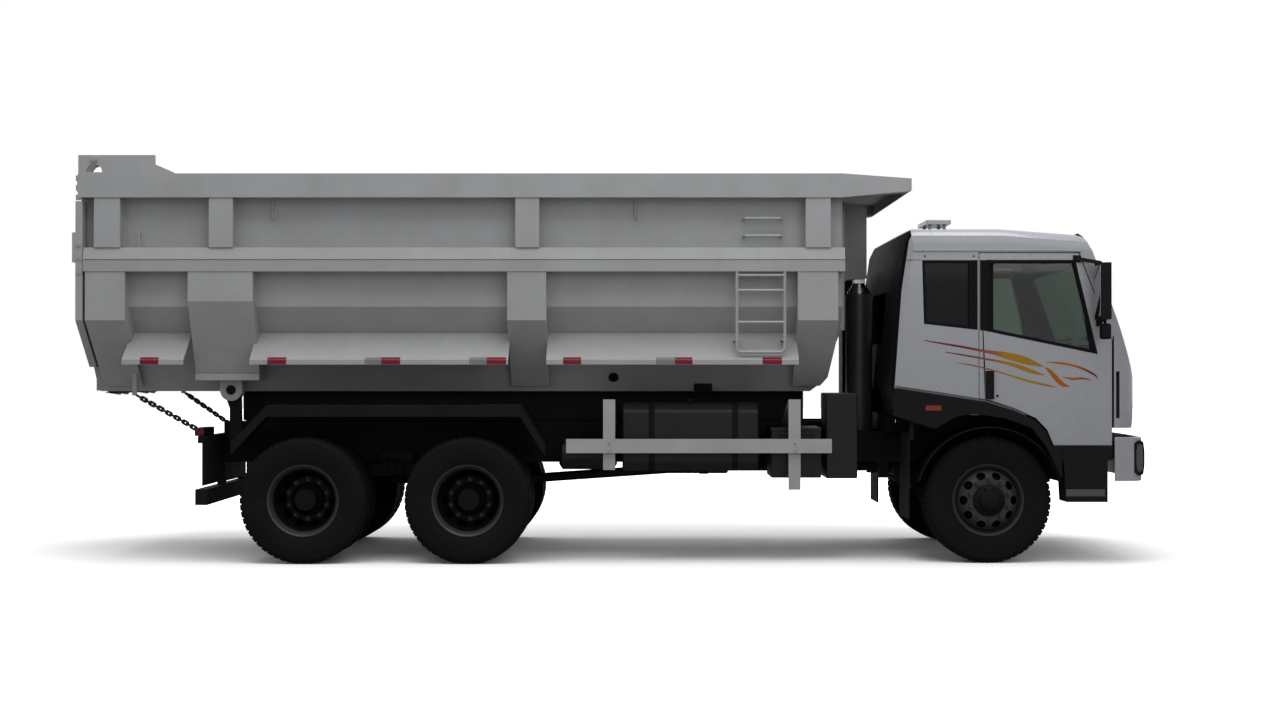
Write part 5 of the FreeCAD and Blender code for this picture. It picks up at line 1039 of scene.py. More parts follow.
@dataclass
class Tyre:
    """Road tyre with grooved tread and blocks, about a line along Y."""

    x: float
    y: float
    half_width: float = 0.140
    bead_radius: float = 0.2866
    groove_depth: float = 0.013
    groove_width: float = 0.011
    crown_drop: float = 0.0006
    pitches: int = 56
    steps: int = 96

    def carcass(self) -> Piece:
        """Spun body from bead to bead with the tread's floor."""
        floor = AXLE_Z - self.groove_depth
        wall = [(self.bead_radius, 0.108), (0.296, 0.1185), (0.306, 0.1235), (0.316, 0.124), (0.330, 0.130),
                (0.362, 0.1368), (0.398, 0.1396), (0.425, 0.1400), (0.452, 0.1385), (0.476, 0.1345),
                (0.479, 0.1355),
                (0.486, 0.1348), (0.489, 0.1325), (0.502, 0.1265), (floor - 0.002, 0.1185), (floor, 0.110)]
        half = [(r, y * self.half_width / 0.14) for r, y in wall]
        profile = [(r, -y) for r, y in half] + half[::-1] + [(self.bead_radius, -0.108)]
        piece = turned("tyre_carcass", profile, (self.x, self.y, AXLE_Z), self.steps)
        self.unwrap(piece)
        return piece

    def unwrap(self, piece: Piece) -> None:
        """Give each corner its turn and its radius as UV.

        Args:
            piece: the tyre's mesh.
        """
        layer = piece.data.uv_layers.new(name="UVMap")
        for loop in piece.data.loops:
            spot = piece.data.vertices[loop.vertex_index].co
            dx, dz = spot.x - self.x, spot.z - AXLE_Z
            turn = math.atan2(dz, dx) / (2 * math.pi)
            layer.data[loop.index].uv = (turn, math.hypot(dx, dz) / AXLE_Z)

    def lug(self, y0: float, y1: float, length: float, slant: float) -> Piece:
        """One tread block at the tyre's top.

        Args:
            y0: its lower Y from the tyre's middle.
            y1: its upper Y.
            length: its length round the tread.
            slant: how far its two ends are set off from each other.

        Returns:
            The block.
        """
        base = 2 * AXLE_Z - self.groove_depth - 0.002
        top = 2 * AXLE_Z - self.crown_drop
        ends = ((-length / 2 - slant, y0), (length / 2 - slant, y0), (length / 2 + slant, y1),
                (-length / 2 + slant, y1))
        outline = [(self.x + dx, self.y + dy, base) for dx, dy in ends]
        piece = plate("tread_block", outline, (0, 0, top - base))
        with editing(piece):
            pick_faces(piece, lambda centre, normal: normal.z > 0.9)
            bpy.ops.transform.resize(value=(0.94, 0.96, 1.0))
        return piece

    def tread(self) -> list[Piece]:
        """Five rows of blocks round the tread."""
        length = 2 * math.pi * AXLE_Z / self.pitches - self.groove_width
        rows = ((-0.117, -0.080, 0.0, 0.0), (-0.071, -0.030, 0.006, 0.5), (-0.021, 0.021, -0.006, 0.0),
                (0.030, 0.071, 0.006, 0.5), (0.080, 0.117, 0.0, 0.0))
        blocks = []
        for y0, y1, slant, lag in rows:
            turns = [2 * math.pi * (i + lag) / self.pitches for i in range(self.pitches)]
            one = self.lug(y0, y1, length, slant)
            blocks.extend(repeated(one, [about_y(turn, self.x, AXLE_Z) for turn in turns]))
        return blocks

    def build(self) -> Piece:
        """The whole tyre as one mesh."""
        return joined("tyre", [self.carcass()] + self.tread())


@dataclass
class Rim:
    """Steel disc wheel with hand holes, nuts and hub, modelled on the left."""

    x: float
    y: float
    hub_cap: float
    face: float
    dished: bool
    holes: int = 10
    nuts: int = 10
    nut_circle: float = 0.1675
    hole_circle: float = 0.2085
    hole_radius: float = 0.031
    hole_stretch: float = 1.25
    front_seat: float = 0.156
    steps: int = 64

    def barrel(self) -> Piece:
        """Rolled rim band from the inner to the outer flange."""
        out = self.face
        inner = -0.113
        profile = [(0.2862, inner), (0.2990, inner), (0.2990, inner + 0.010), (0.2862, inner + 0.016),
                   (0.2862, out - 0.016), (0.2990, out - 0.008), (0.3010, out - 0.002),
                   (0.2985, out + 0.0015),
                   (0.2930, out), (0.2800, out - 0.012), (0.2760, out - 0.030), (0.2655, out - 0.045),
                   (0.2600, out - 0.060), (0.2600, inner + 0.02), (0.2700, inner)]
        return turned("rim_band", profile, (self.x, self.y, AXLE_Z), self.steps, ring=True)

    def disc(self) -> Piece:
        """Pressed disc, bulged on the front wheels and dished on the rear, with its hand holes cut."""
        if self.dished:
            outer = [(0.262, self.face - 0.055), (0.256, self.face - 0.11), (0.238, self.hub_cap + 0.055),
                     (0.205, self.hub_cap + 0.012), (0.190, self.hub_cap), (0.120, self.hub_cap)]
        else:
            outer = [(0.262, 0.066), (0.250, 0.090), (0.232, 0.118), (0.205, 0.148), (0.192, self.front_seat),
                     (0.120, self.front_seat)]
        profile = outer + [(r, d - 0.012) for r, d in outer[::-1]]
        piece = turned("rim_disc", profile, (self.x, self.y, AXLE_Z), self.steps, ring=True)
        middle = outer[3][1] if self.dished else 0.14
        z = AXLE_Z + self.hole_circle
        tool = drum("hand_hole", (self.x, self.y + middle - 0.12, z), (self.x, self.y + middle + 0.12, z),
                    self.hole_radius, 20)
        centre = Matrix.Translation((self.x, 0, 0))
        tool.data.transform(centre @ Matrix.Scale(self.hole_stretch, 4, (1, 0, 0)) @ centre.inverted())
        turns = [about_y(2 * math.pi * (i + 0.5) / self.holes, self.x, AXLE_Z) for i in range(self.holes)]
        cutter = joined("hand_holes", repeated(tool, turns))
        modified(piece, "BOOLEAN", operation="DIFFERENCE", object=cutter, solver="EXACT")
        bpy.data.objects.remove(cutter)
        return piece

    def nut_ring(self) -> Piece:
        """Nuts on washers with their stud ends, on the disc's face."""
        seat = self.y + (self.hub_cap if self.dished else self.front_seat)
        z = AXLE_Z + self.nut_circle
        washer = drum("washer", (self.x, seat - 0.001, z), (self.x, seat + 0.005, z), 0.0215, 16, 0.001)
        nut = drum("nut", (self.x, seat + 0.005, z), (self.x, seat + 0.028, z), 0.0185, 6, 0.002)
        stud = drum("stud", (self.x, seat + 0.026, z), (self.x, seat + 0.044, z), 0.0105, 12, 0.0015)
        one = joined("nut", [washer, nut, stud])
        turns = [about_y(2 * math.pi * i / self.nuts, self.x, AXLE_Z) for i in range(self.nuts)]
        return joined("nuts", repeated(one, turns))

    def hub(self) -> Piece:
        """Hub with its bolted end cap."""
        if self.dished:
            base = self.hub_cap
            profile = [(0.138, base - 0.004), (0.134, base + 0.050), (0.106, base + 0.078),
                       (0.100, base + 0.120), (0.088, base + 0.136), (0.0, base + 0.140)]
        else:
            profile = [(0.136, 0.150), (0.132, 0.168), (0.092, 0.184), (0.086, 0.186), (0.080, 0.206),
                       (0.070, 0.212), (0.0, 0.2135)]
        piece = turned("hub", profile, (self.x, self.y, AXLE_Z), 48)
        face = self.y + (self.hub_cap + 0.079 if self.dished else 0.184)
        z = AXLE_Z + (0.103 if self.dished else 0.108)
        bolt = drum("hub_bolt", (self.x, face - 0.006, z), (self.x, face + 0.008, z), 0.009, 6, 0.001)
        turns = [about_y(2 * math.pi * (i + 0.5) / 8, self.x, AXLE_Z) for i in range(8)]
        return joined("hub", [piece] + repeated(bolt, turns))

    def brake_drum(self) -> Piece:
        """Brake drum behind the disc, with a dust shield widened out to the rim, dark as painted shade behind
        the hand holes.
        """
        back = -0.100 if self.dished else -0.030
        front = self.hub_cap - 0.06 if self.dished else 0.06
        # The shield reaches the rim so that the hand holes show dark: painted shade of the wheel's inside.
        bore, shield = 0.078, 0.2594
        profile = [(bore, back), (shield, back + 0.004), (shield, back + 0.012), (0.214, back + 0.016),
                   (0.212, front - 0.02), (0.200, front), (bore, front)]
        return turned("brake_drum", profile, (self.x, self.y, AXLE_Z), 48, ring=True)


@dataclass
class Wheels:
    """Every tyre and rim of the truck."""

    front_face: float = 0.1235
    rear_face: float = DUAL_SPACING + 0.1235
    rear_disc: float = DUAL_SPACING - 0.118

    def dress_set(self, label: str, tyres: list[Piece], rim: Rim, side: Side, nodes: tuple[str, str]) -> None:
        """Mirror, dress and hang one wheel's pieces.

        Args:
            label: the wheel, as it stands in the names of its body and pieces.
            tyres: its tyres, modelled on the left.
            rim: its rim.
            side: the side it is on.
            nodes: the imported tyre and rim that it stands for.
        """
        body = "wheel_" + label
        tyre_node, rim_node = nodes
        rubber = on_side(joined("road_tyre_" + label, tyres), side)
        dress(rubber, body, TYRE, [tyre_node])
        steel = on_side(joined("rim_band_" + label, [rim.barrel()]), side)
        dress(steel, body, RIM_PAINT, [rim_node])
        disc = on_side(joined("wheel_disc_" + label, [rim.disc()]), side)
        # Painted shade: the rear wheels' dished discs take the dark hub finish for the deep shade in the
        # dish; the front discs keep the rim paint.
        dress(disc, body, HUB_BLACK if rim.dished else RIM_PAINT)
        nuts = on_side(rim.nut_ring(), side)
        nuts.name = "wheel_nuts_" + label
        dress(nuts, body, NUT_STEEL)
        hub = on_side(joined("hub_" + label, [rim.hub(), rim.brake_drum()]), side)
        dress(hub, body, HUB_BLACK)

    def build(self) -> None:
        """Front single wheels and rear twin wheels."""
        for side in Side:
            label = "front_" + side.word
            tyre = Tyre(FRONT_AXLE_X, FRONT_TRACK_HALF).build()
            rim = Rim(FRONT_AXLE_X, FRONT_TRACK_HALF, 0.0, self.front_face, False)
            self.dress_set(label, [tyre], rim, side, ("tyre_" + label, "rim_" + label))
            for number, axle_x in enumerate(REAR_AXLE_XS, 1):
                label = f"rear{number}_{side.word}"
                inner = Tyre(axle_x, DUAL_INNER_Y).build()
                tyres = [copied(inner, Matrix.Translation((0, DUAL_SPACING, 0))), inner]
                rim = Rim(axle_x, DUAL_INNER_Y, self.rear_disc, self.rear_face, True)
                self.dress_set(label, tyres, rim, side, ("tyres_" + label, "rims_" + label))


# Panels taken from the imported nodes

@dataclass(frozen=True)
class CabShell:
    """Cab body in paint, with its rear wall and underside in black and its lined room; the rear wall's black
    is partly painted shade of the gap before the bed.
    """

    ease: float = 0.014
    middle: Point = (3.3, 0.0, 2.0)
    room_x: Pair = (2.36, 4.30)
    room_half: float = 1.2
    room_z: Pair = (1.2, 2.80)
    rear_x: float = 2.52
    rear_slant: float = -0.55
    sill_z: float = 1.30
    sill_half: float = 1.185

    def faces_room(self, centre: Vector, normal: Vector) -> bool:
        """Whether a face looks into the cab's room.

        Args:
            centre: the face's middle.
            normal: the face's direction.

        Returns:
            True for the lined faces.
        """
        (x0, x1), (z0, z1) = self.room_x, self.room_z
        inside = x0 < centre.x < x1 and abs(centre.y) < self.room_half and z0 < centre.z < z1
        return inside and normal.dot(Vector(self.middle) - centre) > 0

    def build(self) -> None:
        """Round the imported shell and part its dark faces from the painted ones."""
        shell = skin("cab_shell", self.ease, 3)
        # The rear wall's black is partly its own colour and partly painted shade of the narrow gap between
        # cab and bed.
        rear = split_off(shell, "cab_rear_wall",
                         lambda centre, normal: normal.x < self.rear_slant and centre.x < self.rear_x)
        under = split_off(shell, "cab_underside",
                          lambda centre, normal: centre.z < self.sill_z and abs(centre.y) < self.sill_half)
        inner = split_off(shell, "cab_lining", self.faces_room)
        dress(inner, "cab", LINING)
        dress(shell, "cab", CAB_PAINT, ["cab_shell"])
        dress(rear, "cab", CHASSIS_BLACK)
        dress(under, "cab", CHASSIS_BLACK)


@dataclass(frozen=True)
class Doors:
    """Both doors in paint with lined inner faces and dark handles."""

    ease: float = 0.004
    lining_turn: float = -0.5
    skin_y: float = 1.2262

    def build(self) -> None:
        """Round each packed door and part its lining and its handle."""
        for side in Side:
            node = "door_" + side.word
            shell = skin(node, self.ease, 2)
            inner = split_off(shell, node + "_lining",
                              lambda centre, normal: centre.y * normal.y < self.lining_turn)
            dress(inner, node, LINING)
            housing = split_off(shell, node + "_handle", lambda centre, normal: abs(centre.y) > self.skin_y)
            dress(housing, node, GRAINED_PLASTIC)
            dress(shell, node, CAB_PAINT, [node])


@dataclass(frozen=True)
class Windows:
    """Clear windscreen and rear window, and dark quarter windows."""

    quarter_front_x: float = 3.05
    quarter_inner_y: float = 1.1

    def build(self) -> None:
        """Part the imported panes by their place."""
        panes = skin("cab_glass", 0.0)
        quarter = split_off(panes, "quarter_glass", lambda centre, normal: (
            centre.x < self.quarter_front_x and abs(centre.y) > self.quarter_inner_y))
        dress(quarter, "cab", DARK_GLASS)
        dress(panes, "cab", CAB_GLASS, ["cab_glass"])


@dataclass(frozen=True)
class Panel:
    """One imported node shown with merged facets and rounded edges."""

    node: str
    body: str
    slot: str
    finish: Surface
    ease: float = 0.003
    segments: int = 2
    angle: float = SMOOTH_ANGLE

    def build(self) -> None:
        """Copy the node, round it and let the copy stand for it."""
        piece = skin(self.node, self.ease, self.segments)
        dress(piece, self.body, self.finish, [self.node], self.angle)


def panels() -> list[Panel]:
    """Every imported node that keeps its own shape."""
    bed = [Panel(node, "bed", "body_paint", BED_PAINT, ease) for node, ease in (
        ("bed_floor", 0.002), ("bed_sides", 0.002), ("bed_headboard", 0.003), ("bed_rails", 0.0025),
        ("bed_skirts", 0.002), ("cab_guard", 0.003))]
    # Painted shade: the sills under the bed are dressed in chassis black for the deep shade beneath the bed,
    # though their slot is the bed's paint.
    bed.append(Panel("bed_sills", "bed", "body_paint", CHASSIS_BLACK, 0.004))
    bed.append(Panel("bed_ribs", "bed", "body_paint", BED_PAINT, 0.006, 2, math.radians(7)))
    bed.append(Panel("tailgate", "gate", "body_paint", BED_PAINT, 0.004))
    chassis = [Panel(node, "chassis", slot, finish, ease) for node, slot, finish, ease in (
        ("chassis_frame", "chassis_black", CHASSIS_BLACK, 0.002),
        ("tip_brackets", "chassis_black", CHASSIS_BLACK, 0.004),
        ("front_axle", "axle_black", AXLE_CAST, 0.004),
        ("springs", "chassis_black", CHASSIS_BLACK, 0.002), ("drive_axles", "axle_black", AXLE_CAST, 0.004),
        ("engine", "axle_black", ENGINE_CAST, 0.02), ("driveline", "axle_black", AXLE_CAST, 0.004),
        ("fuel_tank", "chassis_black", TANK_PAINT, 0.02), ("battery_box", "chassis_black", TANK_PAINT, 0.01),
        ("oil_tank", "chassis_black", TANK_PAINT, 0.012),
        ("air_tanks", "chassis_black", TANK_PAINT, 0.006), ("exhaust", "chassis_black", CHASSIS_BLACK, 0.02),
        ("air_intake", "black_plastic", GRAINED_PLASTIC, 0.02),
        ("side_guards", "body_paint", GUARD_PAINT, 0.004),
        ("rear_mudguards", "black_plastic", GRAINED_PLASTIC, 0.003),
        ("mud_flaps", "rubber", FLAP_RUBBER, 0.002),
        ("front_wings", "black_plastic", GRAINED_PLASTIC, 0.006), ("bumper", "cab_paint", CAB_PAINT, 0.006))]
    cab = [Panel("cab_grille", "cab", "black_plastic", GRAINED_PLASTIC),
           Panel("roof_hatch", "cab", "cab_paint", CAB_PAINT, 0.006)]
    moving = [Panel("lamps", "chassis", "lamp", LAMP_CASE, 0.006),
              Panel("hoist_barrel", "barrel", "hoist_steel", HOIST_PAINT, 0.002)]
    moving += [Panel(f"hoist_stage_{number}", f"stage_{number}", "hoist_steel", STAGE_STEEL, 0.002)
               for number in (1, 2, 3, 4)]
    for word in (side.word for side in Side):
        moving.append(Panel("knuckle_" + word, "steering_" + word, "axle_black", AXLE_CAST, 0.003))
        moving.append(Panel("door_glass_" + word, "door_" + word, "glass", CAB_GLASS, 0.0))
        moving.append(Panel("mirror_" + word, "door_" + word, "black_plastic", GRAINED_PLASTIC, 0.012, 3))
    return bed + chassis + cab + moving


# Bed

@dataclass
class Ladder:
    """Side ladder of bent tube with two staple steps above it, on the right wall."""

    xs: Pair = (1.034, 1.432)
    y: float = -1.232
    wall_y: float = -1.110
    top: float = 2.437
    foot: float = 1.765
    radius: float = 0.0135
    rungs: tuple[float, ...] = (2.403, 2.278, 2.013)
    pad_z: Pair = (1.86, 1.872)
    pad_y: float = -0.925
    steps: Pair = (2.880, 2.735)
    step_xs: Pair = (1.100, 1.408)
    step_y: float = -1.2
    step_radius: float = 0.0115

    def build(self) -> None:
        """Bend the frame, its rungs and the staples."""
        x0, x1 = self.xs
        outline = [(x0, self.y, self.top), (x0, self.y, self.foot), (x1, self.y, self.foot),
                   (x1, self.y, self.top)]
        parts = [bent("ladder_frame", outline, self.radius, 0.045)]
        for z in self.rungs:
            parts.append(drum("rung", (x0, self.y, z), (x1, self.y, z), self.radius * 0.9, 12))
        low, high = self.pad_z
        for x in self.xs:
            pad = block("foot_pad", (x - 0.02, self.y - 0.012, low), (x + 0.02, self.pad_y, high), 0.002)
            parts.append(pad)
        x0, x1 = self.step_xs
        for z in self.steps:
            staple = [(x0, self.wall_y, z), (x0, self.step_y, z), (x1, self.step_y, z), (x1, self.wall_y, z)]
            parts.append(bent("staple", staple, self.step_radius, 0.03))
        dress(joined("bed_ladder_tubes", parts), "bed", BED_PAINT, ["bed_ladder"])


@dataclass
class BedTrim:
    """Reflective tape, weld beads, hooks, hinge pins, latches and painted shade in the wall openings of the
    bed.
    """

    lip_y: float = 1.2478
    lip_z: Pair = (1.6625, 1.6995)
    lip_film: float = 0.0009
    slope_y: Pair = (1.2474, 1.2240)
    slope_z: Pair = (1.7022, 1.7208)
    slope_film: float = 0.0008
    wall_y: float = 1.1115
    wall_xs: Pair = (-4.40, 1.90)
    stake_z: Pair = (2.64, 3.046)
    rib_z: Pair = (2.15, 2.432)
    rail_zs: tuple[float, ...] = (2.434, 2.637, 3.049)
    bead: float = 0.0065
    long_bead: float = 0.006
    hinge_x: float = -4.320
    hinge_z: float = 3.372
    red: tuple[Pair, ...] = ((-3.926, -3.772), (-2.868, -2.710), (-1.921, -1.764), (-1.046, -0.884),
                             (-0.411, -0.261), (0.519, 0.664), (1.245, 1.407))
    silver: tuple[Pair, ...] = ((-2.058, -1.921), (-1.191, -1.046), (0.361, 0.519))
    stakes: tuple[Pair, ...] = ((-4.312, -4.096), (-3.357, -3.158), (-0.809, -0.610), (1.606, 1.814))
    ribs: tuple[Pair, ...] = ((-4.386, -4.054), (-3.532, -2.992), (-0.876, -0.552), (1.540, 1.876))
    latches: tuple[float, ...] = (2.43, 2.55, 2.66, 3.05, 3.13, 3.21)

    def tape(self, name: str, runs: tuple[Pair, ...], finish: LensFinish) -> None:
        """Strips on both skirts' lips.

        Args:
            name: the piece's name.
            runs: start and end X of each strip.
            finish: the tape's finish.
        """
        low, high = self.lip_z
        outer = self.lip_y + self.lip_film
        strips = [block(name, (x0, self.lip_y, low), (x1, outer, high)) for x0, x1 in runs]
        (y0, y1), (z0, z1) = self.slope_y, self.slope_z
        for x0, x1 in runs:
            slope = [(x0, y0, z0), (x1, y0, z0), (x1, y1, z1), (x0, y1, z1)]
            strips.append(plate(name, slope, (0.0, self.slope_film, self.slope_film)))
        dress(both_sides(joined(name, strips)), "bed", finish)

    def welds(self) -> None:
        """Beads where the stakes, ribs and rails meet the walls."""
        beads = []
        for spans, (low, high) in ((self.stakes, self.stake_z), (self.ribs, self.rib_z)):
            for x in (edge for span in spans for edge in span):
                beads.append(drum("bead", (x, self.wall_y, low), (x, self.wall_y, high), self.bead, 8))
        rear, front = self.wall_xs
        for z in self.rail_zs:
            beads.append(drum("bead", (rear, self.wall_y, z), (front, self.wall_y, z), self.long_bead, 8))
        dress(both_sides(joined("bed_welds", beads)), "bed", BED_PAINT)

    def hooks(self) -> None:
        """Cover hooks, tool hooks and rail joint bolts."""
        parts = []
        for x in (-2.851, 0.187):
            path = [(x, 1.135, 3.052), (x, 1.135, 2.885), (x + 0.02, 1.17, 2.87), (x + 0.035, 1.18, 2.93)]
            parts.append(bent("cover_hook", path, 0.0065, 0.015))
        for x in (-4.104, -3.958):
            path = [(x, 1.112, 2.76), (x, 1.16, 2.76), (x, 1.16, 2.66), (x + 0.02, 1.19, 2.65)]
            parts.append(bent("tool_hook", path, 0.006, 0.015))
        for x in (-4.20, -3.2, -1.9, -0.6, 0.7, 1.75):
            parts.append(drum("rail_bolt", (x, 1.238, 2.49), (x, 1.2485, 2.49), 0.011, 6, 0.0015))
        dress(both_sides(joined("bed_hooks", parts)), "bed", BED_PAINT)

    def tail(self) -> None:
        """Hinge pin heads, side latches and lock hooks round the tailgate."""
        x, z = self.hinge_x, self.hinge_z
        pins = [drum("hinge_pin_head", (x, 1.209, z), (x, 1.226, z), 0.030, 24, 0.004),
                drum("hinge_pin_end", (x, 1.224, z), (x, 1.234, z), 0.016, 16, 0.002)]
        dress(both_sides(joined("gate_hinge_pins", pins)), "bed", BED_PAINT)
        plates = []
        for z in self.latches:
            low, high = (-4.462, 1.238, z - 0.024), (-4.414, 1.2455, z + 0.024)
            plates.append(block("latch_plate", low, high, 0.003))
            plates.append(drum("latch_bolt", (-4.438, 1.244, z), (-4.438, 1.2495, z), 0.012, 6))
        dress(both_sides(joined("gate_latch_plates", plates)), "gate", BED_PAINT)
        locks = []
        for y in (0.30, 0.52):
            hook = [(-4.43, y, 1.42), (-4.30, y, 1.40), (-4.28, y, 1.425), (-4.36, y, 1.432),
                    (-4.40, y, 1.432)]
            locks.append(plate("lock_hook", hook, (0, 0.03, 0), 0.003))
        dress(both_sides(joined("gate_lock_hooks", locks)), "bed", BED_PAINT)

    def openings(self) -> None:
        """Black disc and block on the slanted lower walls, as painted shade for the dark inside a drain hole
        and a pocket.
        """
        drain = drum("drain", (0.0, -0.694, 1.563), (0.0, -0.716, 1.548), 0.043, 28, 0.003)
        pocket = block("pocket", (0.695, -0.664, 1.436), (0.851, -0.60, 1.502), 0.003)
        dress(joined("painted_opening_shade", [drain, pocket]), "bed", SEAL_RUBBER)

    def build(self) -> None:
        """Everything small on the bed."""
        self.tape("red_tape", self.red, RED_TAPE)
        self.tape("silver_tape", self.silver, SILVER_TAPE)
        self.welds()
        self.hooks()
        self.tail()
        self.openings()


@dataclass
class Chains:
    """Chains of round links between the bed's tail and the chassis."""

    top: Point = (-4.071, 0.800, 1.395)
    foot: Point = (-3.520, 0.600, 1.050)
    count: int = 17
    wire: float = 0.0094
    half_width: float = 0.0140
    bend_share: float = 0.98
    reach: float = 1.7

    def link(self, length: float) -> Piece:
        """One oval link along X at the origin.

        Args:
            length: its length between the wire's centres.

        Returns:
            The link.
        """
        half, wide = length / 2, self.half_width
        ring = [(half, wide, 0), (-half, wide, 0), (-half, -wide, 0), (half, -wide, 0)]
        return bent("link", ring, self.wire, wide * self.bend_share, closed=True)

    def build(self) -> None:
        """String the links of both chains."""
        top, foot = Vector(self.top), Vector(self.foot)
        pitch = (foot - top).length / self.count
        turn = (foot - top).to_track_quat("X", "Z").to_matrix().to_4x4()
        places = []
        for i in range(self.count):
            middle = top.lerp(foot, (i + 0.5) / self.count)
            places.append(Matrix.Translation(middle) @ turn @ Matrix.Rotation(math.pi / 2 * (i % 2), 4, "X"))
        chain = joined("tail_chain", repeated(self.link(pitch + self.wire * self.reach), places))
        for name, one in (("tail_chain_right", copied(chain, MIRROR)), ("tail_chain_left", chain)):
            one.name = name
            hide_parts("tailgate_chains")
            one.data.materials.clear()
            one.data.materials.append(CHAIN_STEEL.made())
            activate(one)
            bpy.ops.object.shade_smooth_by_angle(angle=SMOOTH_ANGLE)
            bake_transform(one)


# Cab

@dataclass
class Stripes:
    """Flame-coloured streaks that run from the cab's rear side onto the door."""

    y: float = 1.2252
    split_x: float = 3.0475
    gap: float = 0.004
    film: float = 0.0005
    streaks: tuple[tuple[Point, ...], ...] = (
        ((2.594, 1.862, 0.003), (2.760, 1.833, 0.007), (2.926, 1.805, 0.009), (3.075, 1.776, 0.011),
         (3.175, 1.759, 0.016), (3.274, 1.736, 0.028), (3.424, 1.697, 0.033), (3.540, 1.660, 0.014),
         (3.585, 1.645, 0.001)),
        ((2.768, 1.765, 0.003), (2.909, 1.742, 0.006), (3.075, 1.712, 0.008), (3.208, 1.689, 0.010),
         (3.341, 1.656, 0.017), (3.474, 1.608, 0.019), (3.590, 1.573, 0.003)),
        ((2.859, 1.676, 0.001), (2.959, 1.661, 0.004), (3.075, 1.636, 0.005), (3.208, 1.601, 0.006),
         (3.341, 1.560, 0.008), (3.474, 1.520, 0.010), (3.607, 1.490, 0.008), (3.690, 1.472, 0.001)),
        ((3.600, 1.680, 0.001), (3.700, 1.676, 0.008), (3.820, 1.656, 0.009), (3.930, 1.618, 0.010),
         (4.020, 1.566, 0.009), (4.034, 1.525, 0.001)),
        ((3.590, 1.640, 0.001), (3.640, 1.600, 0.022), (3.690, 1.545, 0.030), (3.745, 1.497, 0.020),
         (3.800, 1.480, 0.001)),
        ((3.740, 1.560, 0.001), (3.820, 1.542, 0.010), (3.910, 1.546, 0.008), (3.985, 1.530, 0.001)))

    def streak(self, points: tuple[Point, ...]) -> Piece:
        """One tapered streak as a thin film.

        Args:
            points: X, Z and half width along its middle.

        Returns:
            The film.
        """
        fine = []
        for near in zip((points[0],) + points, points, points[1:], points[2:] + (points[-1],)):
            for t in (0.0, 0.25, 0.5, 0.75):
                fine.append([0.5 * (2 * b + (c - a) * t + (2 * a - 5 * b + 4 * c - d) * t * t
                                    + (3 * b - a - 3 * c + d) * t ** 3) for a, b, c, d in zip(*near)])
        fine.append(list(points[-1]))
        upper = [(x, self.y, z + w) for x, z, w in fine]
        lower = [(x, self.y, z - w) for x, z, w in fine[::-1]]
        return plate("streak", upper + lower, (0, self.film, 0))

    def build(self) -> None:
        """Both sides' films, cut apart at the door's edge."""
        film = joined("stripes", [self.streak(points) for points in self.streaks])
        for side in Side:
            for body, label, keep_front in (("cab", "side_", False), ("door_" + side.word, "door_", True)):
                part = copied(film, MIRROR if side is Side.RIGHT else Matrix())
                part.name = "stripes_" + label + side.word
                edge = self.split_x + (self.gap if keep_front else -self.gap)
                with editing(part):
                    bpy.ops.mesh.bisect(plane_co=(edge, 0, 0), plane_no=(1, 0, 0), use_fill=True,
                                        clear_inner=keep_front, clear_outer=not keep_front)
                dress(part, body, STRIPE_FILM)
        bpy.data.objects.remove(film)


